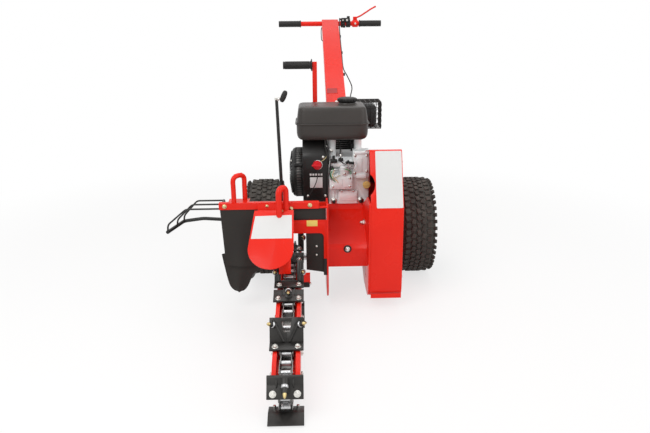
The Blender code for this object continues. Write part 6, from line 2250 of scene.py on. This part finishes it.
    def controls(self) -> None:
        """The yellow oil cap and the red stop switch."""
        form = Form(at((0.103, self.front_y - 0.0005, 0.414))).use(YELLOW_PLASTIC)
        profile = [
            (0, 0), (0.0125, 0), (0.0125, 0.005), (0.0142, 0.0062), (0.0142, 0.016), (0.0128, 0.0176),
            (0, 0.0178),
        ]
        form.lathe(CENTRE, FRONT, profile, 40)
        rib = loose(YELLOW_PLASTIC).box((-0.002, -0.0017, 0.0065), (0.0014, 0.0017, 0.016), 0.0006)
        form.ring_of(rib, 16, 0.014, CENTRE, FRONT)
        form.box((-0.0105, -0.02, -0.0022), (0.0105, -0.017, 0.0022), 0.0012)
        form.piece("oil_filler_cap", "oil_cap", "oil_cap")
        knob = Form(at((-0.094, self.front_y - 0.0167, 0.5))).use(RED_PLASTIC)
        knob.lathe(CENTRE, FRONT, [(0, 0), (0.0178, 0), (0.0178, 0.009), (0.0165, 0.011), (0, 0.0112)], 40)
        knob.box((-0.018, -0.0205, -0.0062), (0.016, -0.0105, 0.0062), 0.003)
        knob.rod((-0.015, -0.019, 0), (-0.0215, -0.0185, 0.003), 0.0045, 0.0035, 0.001, 16)
        ring = [(0.0172, 0.001), (0.019, 0.0018), (0.019, 0.004), (0.0172, 0.0048)]
        knob.use(CAST).lathe((0.002, 0, 0), FRONT, ring, 40, ring=True)
        knob.piece("stop_switch_knob", "engine_switch", "engine_switch")

    def build(self) -> None:
        """Makes every piece of the engine."""
        self.crankcase()
        self.side_cover()
        self.cylinder()
        self.rotor()
        self.blower()
        self.starter()
        self.tank()
        self.fuel_cap()
        self.muffler()
        self.air_cleaner()
        self.carburettor()
        self.controls()


def sized(item: Form, size: float) -> Form:
    """An item of unit size brought to its real one."""
    bmesh.ops.scale(item.mesh, vec=(size, size, size), verts=item.mesh.verts)
    return item


def coil_line(start: Vector, end: Vector, radius: float, turns: int, steps: int = 10) -> list[Vector]:
    """The line of a coil spring between two points.

    Args:
        start: the coil's first end.
        end: its other end.
        radius: its radius.
        turns: how many turns it has.
        steps: how many runs a turn has.

    Returns:
        The line's points.
    """
    way = end - start
    side = way.orthogonal().normalized()
    other = way.normalized().cross(side)
    line = []
    for i in range(turns * steps + 1):
        angle = 2 * pi * i / steps
        line.append(start + way * i / (turns * steps) + (side * cos(angle) + other * sin(angle)) * radius)
    return line


def bent(points: list[Point], ease: float, steps: int = 5) -> list[Vector]:
    """A line of straight runs whose corners are eased over a short length.

    Args:
        points: the corners, in order.
        ease: how far from a corner the bend starts.
        steps: how many runs a bend has.

    Returns:
        The line's points.
    """
    line = [Vector(point) for point in points]
    path = [line[0]]
    for before, corner, after in zip(line, line[1:], line[2:]):
        start = corner + (before - corner).normalized() * min(ease, (before - corner).length / 2.1)
        end = corner + (after - corner).normalized() * min(ease, (after - corner).length / 2.1)
        for i in range(steps + 1):
            t = i / steps
            path.append(start * (1 - t) ** 2 + corner * 2 * t * (1 - t) + end * t**2)
    return path + [line[-1]]


@dataclass
class Covers:
    """Cross bar, flaps, auger shield and the wire guard at the left."""

    bar_y: float = -0.4004
    bar_sheet: float = 0.004
    shield_slope: float = radians(40)
    columns: int = 14

    def shield_place(self) -> Matrix:
        """The shield's own coordinates: X along its upper edge, -Y down its slope, Z out of it.

        Returns:
            The matrix that brings them to the frame's.
        """
        return MACHINE @ Matrix.Translation((-0.184, -0.425, 0.4)) @ Matrix.Rotation(
            self.shield_slope, 4, "X"
        )

    def bar(self) -> None:
        """The angle bar with its bolts and the lifting loop."""
        form = Form().use(RED).copy_of("cross_bar", 0.0008, 1)
        face = self.bar_y - self.bar_sheet
        bolts(form, [(FRONT, 0.0072, [(x, face, 0.413) for x in (-0.4316, -0.2792, -0.1259)])], BRASS)
        form.use(RED)
        self.loop(
            form, Vector((-0.398, self.bar_y + 0.008, 0.421)), Vector((-0.362, self.bar_y + 0.045, 0.421)),
            0.519, 0.0088,
        )
        form.piece("angle_cross_bar", "cross_bar")

    def loop(self, form: Form, one: Vector, two: Vector, top: float, radius: float) -> None:
        """A handle bent from round bar with a smooth crown.

        Args:
            form: the form that takes it.
            one: the foot of one leg.
            two: the foot of the other.
            top: how high the crown is.
            radius: the bar's radius.
        """
        rise, across = top - one.z, two - one
        points = [one, one + UP * rise * 0.55, one + UP * (rise - 0.016)]
        points += [
            one + across * 0.16 + UP * (rise - 0.004), one + across * 0.5 + UP * rise,
            one + across * 0.84 + UP * (rise - 0.004),
        ]
        points += [two + UP * (rise - 0.016), two + UP * rise * 0.55, two]
        form.wire([tuple(point) for point in points], radius, 20, 5)

    def curtain(
        self, name: str, sides: list[tuple[float, float, float]], rear: float, sheet: float, bulge: float
    ) -> None:
        """A hanging rubber sheet that bows forward between its edges.

        Args:
            name: the node that it stands for.
            sides: (height, left, right) rows from the top to the foot.
            rear: the Y of its rear face where it is held.
            sheet: its thickness.
            bulge: how far its middle bows.
        """
        rows = []
        for (z0, l0, r0), (z1, l1, r1) in zip(sides, sides[1:]):
            rows += [
                (z0 + (z1 - z0) * i / 4, l0 + (l1 - l0) * i / 4, r0 + (r1 - r0) * i / 4) for i in range(4)
            ]
        rows.append(sides[-1])
        part = bmesh.new()
        columns = self.columns
        top, foot = sides[0][0], sides[-1][0]
        layers = []
        for depth in (0.0, -sheet):
            grid = []
            for z, left, right in rows:
                drop = (top - z) / (top - foot)
                line = []
                for i in range(columns + 1):
                    across = i / columns
                    sway = bulge * drop * (sin(pi * across) - 0.35 * sin(3 * pi * across) * drop)
                    line.append(part.verts.new((left + (right - left) * across, rear + depth - sway, z)))
                grid.append(line)
            layers.append(grid)
        for grid in layers:
            for one, two in zip(grid, grid[1:]):
                for i in range(columns):
                    part.faces.new([one[i], one[i + 1], two[i + 1], two[i]])
        front, back = layers
        rim = [(r, 0) for r in range(len(rows))] + [(len(rows) - 1, c) for c in range(1, columns + 1)]
        rim += [(r, columns) for r in range(len(rows) - 2, -1, -1)] + [
            (0, c) for c in range(columns - 1, 0, -1)
        ]
        for (r0, c0), (r1, c1) in zip(rim, rim[1:] + rim[:1]):
            part.faces.new([front[r0][c0], front[r1][c1], back[r1][c1], back[r0][c0]])
        Form().use(RUBBER).add(part).piece(f"{name}_sheet", name, "frame", 50)

    def flaps(self) -> None:
        """The two flaps before the auger and the one beside the chain."""
        self.curtain(
            "front_flap", [(0.4197, -0.45, -0.312), (0.3, -0.444, -0.312), (0.184, -0.4385, -0.313)],
            self.bar_y + 0.0056, 0.005, 0.01,
        )
        lobe = [
            (0.4197, -0.449, -0.308), (0.3, -0.443, -0.308), (0.227, -0.442, -0.308),
            (0.224, -0.454, -0.308),
            (0.185, -0.448, -0.3082), (0.164, -0.444, -0.309), (0.154, -0.4425, -0.33),
            (0.143, -0.4405, -0.343),
            (0.125, -0.437, -0.35), (0.108, -0.433, -0.357), (0.096, -0.4285, -0.363),
            (0.087, -0.4225, -0.369),
            (0.08, -0.415, -0.376), (0.0765, -0.409, -0.382), (0.0758, -0.403, -0.388),
        ]
        self.curtain("rear_flap", lobe, self.bar_y + 0.018 - 0.0003, 0.005, 0.009)
        form = Form().use(RUBBER).copy_of("chain_flap", 0.001)
        bolts(form, [(FRONT, 0.0046, [(-0.104, -0.3952, 0.2535), (-0.1045, -0.3952, 0.22)])], washer=False)
        form.piece("chain_side_flap", "chain_flap")

    def shield(self) -> None:
        """The round-footed shield with its plain white panel, loop and nuts."""
        form = Form().use(RED).copy_of("auger_cover", 0.0009)
        form.place = self.shield_place()
        left, right, foot = -0.149, -0.0075, -0.1165
        rim = [(-0.0065, -0.021), (right + 0.0015, foot), (left + 0.0015, foot), (-0.1352, -0.024)]
        form.use(WHITE_FILM).slab(rim, "Z", 0.0041, 0.0047, 0.0002, 1)
        form.place = MACHINE
        form.use(RED)
        form.wire(
            [
                (-0.235, -0.443, 0.374), (-0.235, -0.443, 0.44), (-0.2345, -0.4425, 0.468),
                (-0.231, -0.438, 0.4805), (-0.223, -0.43, 0.4842), (-0.215, -0.4222, 0.4805),
                (-0.2115, -0.418, 0.468), (-0.211, -0.417, 0.44), (-0.211, -0.417, 0.38),
            ],
            0.0108, 22, 5,
        )
        nuts = [(UP, 0.0062, (-0.226, -0.434, 0.4015)), (FRONT, 0.0062, (-0.193, -0.409, 0.403))]
        nuts.append((FRONT, 0.0066, (-0.24, -0.55, 0.234)))
        bolts(form, [(way, radius, [seat]) for way, radius, seat in nuts], BRASS)
        form.piece("auger_shield", "auger_cover")

    def wires(self) -> None:
        """The wire guard of three bent rods over a foot rod."""
        form = Form().use(BLACK)
        bar_y, low_z = self.bar_y + 0.0047, 0.32
        near = self.bar_y - self.bar_sheet / 2
        for y, bend, tip in (
            (near, -0.562, -0.638), (bar_y + 0.052, -0.55, -0.615), (bar_y + 0.104, -0.54, -0.6)
        ):
            start = -0.4523 if y == near else -0.448
            line = [(start, y, 0.404), (bend - 0.008, y, 0.404), (tip, y, 0.347), (tip - 0.003, y, low_z)]
            form.tube(bent(line, 0.01), 0.0032, 14)
        form.tube(
            bent(
                [
                    (-0.641, near - 0.004, low_z), (-0.603, bar_y + 0.108, low_z + 0.004),
                    (-0.53, bar_y + 0.112, low_z + 0.012), (-0.448, bar_y + 0.112, low_z + 0.006),
                ],
                0.012,
            ),
            0.0066, 16,
        )
        form.tube(
            [
                (-0.448, bar_y + 0.112, low_z), (-0.448, bar_y + 0.111, 0.398),
                (-0.448, bar_y + 0.106, 0.404), (-0.448, bar_y + 0.024, 0.404),
            ],
            0.0045, 16,
        )
        form.piece("bent_wire_guard", "wire_guard")

    def build(self) -> None:
        """Makes every cover."""
        self.bar()
        self.flaps()
        self.shield()
        self.wires()


@dataclass
class Handle:
    """Mast, handlebar, grips, squeeze lever, stop switch and cable."""

    bar_radius: float = 0.0127
    bar_half: float = 0.2775
    grip_length: float = 0.12
    mast_half: float = 0.044
    cable_radius: float = 0.0025
    clips: tuple[float, ...] = (0.3, 0.52, 0.7)

    def centre(self) -> Vector:
        """The middle of the handlebar."""
        low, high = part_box("left_grip")
        return Vector((0.0, *halfway(low, high).yz))

    def mast(self) -> None:
        """The square mast with its foot bolts and the clip of the cable."""
        form = Form().use(RED).copy_of("handle_mast", 0.0022, 3)
        form.place = MAST
        bolts(
            form,
            [
                (UP, 0.0085, [(0.0, 0.022, 0.0002)]), (RIGHT, 0.008, [(0.0442, 0.03, -0.025)]),
                (LEFT, 0.008, [(-0.0442, 0.03, -0.025)]),
            ],
        )
        # Painted shade: a thin dark red slab between two lips stands in for the shaded inside of a notch in
        # the mast's top.
        form.use(RED_SHADE).box((-0.0385, 0.0985, 0.0), (0.0085, 0.143, 0.0005), 0.0002)
        form.use(RED)
        form.box((-0.04, 0.096, 0.0), (0.0085, 0.099, 0.0016), 0.0006)
        form.box((0.008, 0.096, 0.0), (0.01, 0.143, 0.0016), 0.0006)
        form.use(GRIP)
        for along in self.clips:
            form.box((self.mast_half, along, -0.026), (0.0535, along + 0.01, -0.014), 0.0015)
        form.place = MACHINE
        form.wire(
            [
                (-0.046, 0.955, 1.012), (-0.0495, 0.94, 0.996), (-0.05, 0.915, 0.972),
                (-0.0485, 0.888, 0.95), (-0.0445, 0.872, 0.944),
            ],
            0.0022, 10, 6,
        )
        form.use(ZINC).lathe((-0.0445, 0.952, 1.013), LEFT, button(0.006, 0.0025, 0.004, 0.004), 20)
        form.piece("square_mast", "handle_mast")

    def bar(self) -> None:
        """The handlebar tube with the clamp and the pivot of the squeeze lever."""
        form = Form(at(self.centre())).use(RED).rod(
            LEFT * self.bar_half, RIGHT * self.bar_half, self.bar_radius, None, 0.0012, 48
        )
        form.lathe((0.122, 0, 0), RIGHT, collar(0.0128, 0.0182, 0.019, 0.001, 0.03), 48, ring=True)
        form.box((0.126, -0.006, 0.015), (0.148, 0.002, 0.036), 0.002)
        form.box((0.128, -0.0245, -0.006), (0.146, -0.015, 0.006), 0.0015)
        bolts(form, [(FRONT, 0.0045, [(0.137, -0.0245, 0.0)])])
        form.use(ZINC).rod((0.137, 0.002, 0.028), (0.137, 0.012, 0.028), 0.003, None, 0.0005, 20)
        form.piece("handlebar_tube", "handlebar")

    def grips(self) -> None:
        """Ribbed rubber grips with closed ends."""
        for side, sign in (("left", -1), ("right", 1)):
            low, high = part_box(f"{side}_grip")
            inner = (low[0] if side == "right" else high[0]) - AXLE.x
            start = self.centre() + RIGHT * inner
            length = self.grip_length
            profile = [(0.013, 0.0), (0.0176, 0.0), (0.0182, 0.0012), (0.0182, 0.005), (0.016, 0.0066)]
            for i in range(18):
                along = 0.0085 + i * 0.0058
                profile += [
                    (0.0154, along), (0.0164, along + 0.0012), (0.0164, along + 0.0034),
                    (0.0154, along + 0.0046),
                ]
            profile += [(0.016, length - 0.005), (0.0165, length - 0.002), (0.015, length), (0.013, length)]
            form = Form().use(GRIP).lathe(start, RIGHT * sign, profile, 40, ring=True)
            form.piece(f"{side}_ribbed_grip", f"{side}_grip", "frame", 50)

    def switch(self) -> None:
        """The clamped switch housing with its cable outlets and adjusters."""
        form = Form(at(self.centre())).use(PLASTIC)
        form.lathe((0.0585, 0, 0), RIGHT, collar(0.013, 0.0185, 0.0205, 0.002, 0.022), 40, ring=True)
        form.lathe((0.088, 0, 0), RIGHT, collar(0.013, 0.0185, 0.02, 0.002, 0.023), 40, ring=True)
        form.boxes([
            ((0.06, -0.026, 0.006), (0.109, 0.016, 0.03), 0.0045),
            ((0.07, -0.024, -0.0215), (0.084, 0.006, -0.006), 0.003),
            ((0.092, -0.015, 0.029), (0.108, 0.002, 0.039), 0.003),
        ])
        form.rod((0.062, -0.02, 0.022), (0.052, -0.018, 0.025), 0.004, 0.0032, 0.001, 20)
        form.use(ZINC).rod((0.092, -0.0262, 0.018), (0.092, -0.03, 0.018), 0.0052, None, 0.0008, 20)
        form.rod((0.07, -0.0262, 0.018), (0.07, -0.0285, 0.018), 0.0036, None, 0.0006, 20)
        form.piece("switch_cluster", "switch_box")

    def lever(self) -> None:
        """The red squeeze lever with its eye, bent blade and ball end."""
        pivot = joint_place("throttle_squeeze") - ORIGIN
        form = Form().use(RED)
        shift = Vector((0, 0.0062, 0))
        form.lathe(
            pivot + Vector((0, 0.0032, 0)), REAR, collar(0.0037, 0.0072, 0.008, 0.0008, 0.006), 32, ring=True
        )
        blade = smooth_line(
            [
                tuple(pivot + shift + Vector(p))
                for p in (
                    (0.006, 0, 0.002), (0.03, 0, 0.012), (0.06, 0, 0.03), (0.088, 0, 0.0475),
                    (0.1105, 0, 0.059),
                )
            ],
            6,
        )
        form.tube(blade, 0.0042, 16)
        form.lathe(
            blade[-1] - Vector((0.003, 0, 0.0016)), blade[-1] - blade[-2],
            [(0, 0), (0.0044, 0.001), (0.0052, 0.0035), (0.004, 0.0065), (0, 0.0075)], 24,
        )
        form.piece("squeeze_lever", "throttle_lever", "throttle_lever")

    def mast_top(self, y: float) -> float:
        """Height of the mast's upper face over a place along Y."""
        return MAST_FOOT.z + (y - MAST_FOOT.y) * tan(MAST_TILT)

    def cable(self) -> None:
        """The throttle cable along the route that its solid takes, with its two ferrules."""
        centre = self.centre()
        side = self.mast_half + self.cable_radius + 0.0015
        route = [
            tuple(centre + Vector((0.0555, -0.01, 0.02))), tuple(centre + Vector((0.0515, -0.03, 0.026))),
            (side + 0.001, 0.94, self.mast_top(0.94) + 0.004), (side, 0.86, self.mast_top(0.86) - 0.016),
            (side, 0.7, self.mast_top(0.7) - 0.02),
            (side, 0.56, self.mast_top(0.56) - 0.018), (side + 0.016, 0.48, 0.79),
            (side + 0.032, 0.41, 0.748),
            (side + 0.02, 0.33, 0.712), (0.052, 0.246, 0.64), (0.034, 0.216, 0.592), (0.012, 0.175, 0.577),
            (-0.002, 0.08, 0.576), (-0.004, -0.06, 0.572), (-0.002, -0.128, 0.556), (-0.002, -0.138, 0.5193),
        ]
        line = smooth_line(route, 8)
        form = Form().use(GRIP).tube(line, self.cable_radius, 14)
        form.use(ZINC).rod(line[0], line[4], 0.0034, 0.003, 0.0005, 16)
        form.rod(line[-1], line[-6], 0.0034, 0.003, 0.0005, 16)
        form.piece("throttle_cable_sheath", "throttle_cable", "frame", 60)

    def build(self) -> None:
        """Makes every piece of the handle."""
        self.mast()
        self.bar()
        self.grips()
        self.switch()
        self.lever()
        self.cable()


@dataclass
class Levers:
    """The depth lever and the wheel lock lever."""

    lift_x: float = -0.096
    lift_y: float = 0.2
    lift_grip_z: float = 0.863
    lock: Point = (-0.232, -0.222, 0.362)
    lock_top: Point = (-0.243, -0.222, 0.77)

    def lift(self) -> None:
        """The square depth lever with its pivot bolt, spindle and ribbed grip."""
        form = Form().use(RED).copy_of("lift_lever", 0.0016)
        form.piece("depth_lever", "lift_lever", "lift_lever")
        start = (self.lift_x - 0.0103, self.lift_y, self.lift_grip_z)
        profile = [
            (0.0104, 0.0), (0.0235, 0.0), (0.0255, 0.001), (0.0255, 0.0038), (0.0235, 0.005),
            (0.018, 0.0062), (0.0158, 0.009),
        ]
        profile += [
            (0.0156, 0.118), (0.0162, 0.122), (0.0152, 0.1252), (0, 0.1252), (0, 0.1244), (0.0104, 0.1244)
        ]
        grip = Form().use(GRIP).lathe(start, LEFT, profile, 48, ring=True)
        rib = loose(GRIP).box((-0.003, -0.0011, 0.013), (0.0009, 0.0011, 0.116), 0.0008)
        grip.ring_of(rib, 18, 0.0156, start, LEFT)
        grip.piece("depth_lever_grip", "lift_grip", "lift_lever", 50)

    def lock_lever(self) -> None:
        """The thin rod with its eye and stud, and the oval knob."""
        foot, top = Vector(self.lock), Vector(self.lock_top)
        form = Form().use(BLACK)
        form.lathe(foot - RIGHT * 0.009, RIGHT, collar(0.0057, 0.0112, 0.012, 0.001, 0.018), 36, ring=True)
        form.rod(foot + UP * 0.009, top, 0.0066, 0.0058, 0.0012, 28)
        end = top + Vector((0.012, 0, 0.004))
        form.use(ZINC).rod(top - UP * 0.0075, end, 0.0048, None, 0.0008, 20)
        form.lathe(top - Vector((0.002, 0.0058, -0.001)), FRONT, button(0.0052, 0.0018, 0.004, 0.003), 20)
        form.piece("lock_rod", "lock_lever", "lock_lever")
        low, high = top + Vector((0.019, 0, -0.0085)), top + Vector((0.037, 0, 0.033))
        knob = Form().use(PLASTIC)
        length = (high - low).length
        count = 12
        profile = [
            (
                0.0104 * sin(pi * i / count) ** 0.55 if 0 < i < count else 0.0,
                length * (1 - cos(pi * i / count)) / 2,
            )
            for i in range(count + 1)
        ]
        knob.lathe(low - (high - low).normalized() * 0.0035, high - low, profile, 36)
        knob.piece("oval_knob", "lock_knob", "lock_lever", 60)

    def build(self) -> None:
        """Makes both levers."""
        self.lift()
        self.lock_lever()


@dataclass
class Studio:
    """Pale floor, soft light and the camera at the photograph's angle."""

    camera_place: Point = (-0.1274, -2.5287, 1.0396)
    yaw: float = 0.026
    pitch: float = 0.3054
    roll: float = 0.0083
    focal_pixels: float = 617.17
    image_width: float = 650.0
    sensor: float = 36.0
    floor_half: float = 14.0
    floor_z: float = -0.0005

    def camera(self) -> None:
        """Stands the camera where the photograph was taken from."""
        level = Vector((cos(self.yaw), -sin(self.yaw), 0))
        ahead = Vector((sin(self.yaw) * cos(self.pitch), cos(self.yaw) * cos(self.pitch), -sin(self.pitch)))
        up = level.cross(ahead)
        right = level * cos(self.roll) - up * sin(self.roll)
        up = up * cos(self.roll) + level * sin(self.roll)
        data = bpy.data.cameras.new("photo_camera")
        data.sensor_width = self.sensor
        data.lens = self.focal_pixels * self.sensor / self.image_width
        data.clip_end = 100.0
        camera = bpy.data.objects.new("photo_camera", data)
        camera.matrix_world = MACHINE @ (
            Matrix.Translation(self.camera_place) @ Matrix((right, up, -ahead)).transposed().to_4x4()
        )
        SCENE.objects.link(camera)
        bpy.context.scene.camera = camera

    def pale(self) -> bpy.types.Material:
        """A floor that looks white to the camera and in reflections, and keeps the object's shadow.

        Returns:
            The material.
        """
        material = bpy.data.materials.new("pale_floor")
        material.use_nodes = True
        tree = material.node_tree
        shader = tree.nodes["Principled BSDF"]
        set_inputs(shader, {"Roughness": 0.7})
        speckle = node_of(tree, "ShaderNodeTexNoise", {"Scale": 1.4})
        tones = {"A": (0.86, 0.85, 0.84, 1.0), "B": (0.9, 0.895, 0.89, 1.0)}
        tone = node_of(tree, "ShaderNodeMix", tones, data_type="RGBA")
        white = node_of(tree, "ShaderNodeEmission")
        away = node_of(tree, "ShaderNodeVectorMath", operation="LENGTH")
        place = node_of(tree, "ShaderNodeTexCoord")
        ramp = {"From Min": 1.1, "From Max": 2.4, "To Min": 0.7, "To Max": 1.0}
        share = node_of(tree, "ShaderNodeMapRange", ramp, interpolation_type="SMOOTHSTEP")
        seen = node_of(tree, "ShaderNodeMath", operation="MULTIPLY")
        mix = node_of(tree, "ShaderNodeMixShader")
        wire(
            tree, (speckle, "Fac", tone, "Factor"), (tone, "Result", shader, "Base Color"),
            (place, "Object", away, 0), (away, "Value", share, "Value"),
            (share, "Result", seen, 0), (self.direct(tree), "Value", seen, 1),
            (seen, "Value", mix, "Fac"), (shader, "BSDF", mix, 1), (white, "Emission", mix, 2),
            (mix, "Shader", tree.nodes["Material Output"], "Surface"),
        )
        return material

    def direct(self, tree: Tree) -> Node:
        """A node that puts out 1 for rays from the camera and for mirrored or refracted ones, else 0.

        Args:
            tree: the tree that it stands in.

        Returns:
            The node.
        """
        path = node_of(tree, "ShaderNodeLightPath")
        first = node_of(tree, "ShaderNodeMath", operation="MAXIMUM")
        last = node_of(tree, "ShaderNodeMath", operation="MAXIMUM")
        wire(
            tree, (path, "Is Camera Ray", first, 0), (path, "Is Glossy Ray", first, 1),
            (first, "Value", last, 0), (path, "Is Transmission Ray", last, 1),
        )
        return last

    def floor(self) -> None:
        """A wide, level floor just under the tyres."""
        grid = bmesh.new()
        bmesh.ops.create_grid(grid, x_segments=8, y_segments=8, size=self.floor_half)
        mesh = bpy.data.meshes.new("floor")
        grid.to_mesh(mesh)
        grid.free()
        mesh.materials.append(self.pale())
        floor = bpy.data.objects.new("floor", mesh)
        floor.location.z = self.floor_z
        SCENE.objects.link(floor)

    def lamp(self, name: str, place: Point, aim: Point, size: float, power: float) -> None:
        """A square soft box that looks at a point.

        Args:
            name: its name.
            place: where it stands.
            aim: the point.
            size: the length of its side.
            power: its power in watts.
        """
        data = bpy.data.lights.new(name, "AREA")
        data.shape = "SQUARE"
        data.size = size
        data.energy = power
        lamp = bpy.data.objects.new(name, data)
        lamp.location = place
        lamp.rotation_euler = (Vector(aim) - Vector(place)).to_track_quat("-Z", "Y").to_euler()
        SCENE.objects.link(lamp)

    def world(self) -> None:
        """A plain world: white to the camera and in reflections, dimmer as a light."""
        world = bpy.data.worlds.new("studio")
        world.use_nodes = True
        tree = world.node_tree
        background = tree.nodes["Background"]
        set_inputs(background, {"Color": (1.0, 1.0, 1.0, 1.0)})
        level = node_of(tree, "ShaderNodeMapRange", {"To Min": 0.55, "To Max": 1.0})
        wire(tree, (self.direct(tree), "Value", level, "Value"), (level, "Result", background, "Strength"))
        bpy.context.scene.world = world

    def build(self) -> None:
        """Sets up the whole studio."""
        self.camera()
        self.floor()
        self.world()
        self.lamp("key_box", (-1.6, -2.6, 2.9), (0.0, 0.0, 0.4), 2.2, 62.0)
        self.lamp("fill_box", (2.8, -2.0, 2.0), (0.1, 0.0, 0.4), 2.4, 30.0)
        self.lamp("top_box", (0.1, 0.6, 3.4), (0.1, 0.0, 0.3), 2.6, 34.0)
        bpy.context.scene.view_settings.view_transform = "Standard"


def main() -> None:
    """Builds the machine from the ground up and sets up the studio."""
    logging.basicConfig(level=logging.INFO, format="%(message)s")
    Studio().build()
    for side in ("left", "right"):
        Wheel(side).build()
    WeldedFrame().build()
    HeadDrive().build()
    Boom().build()
    BeltDrive().build()
    Engine().build()
    Covers().build()
    Handle().build()
    Levers().build()


if __name__ == "__main__":
    main()
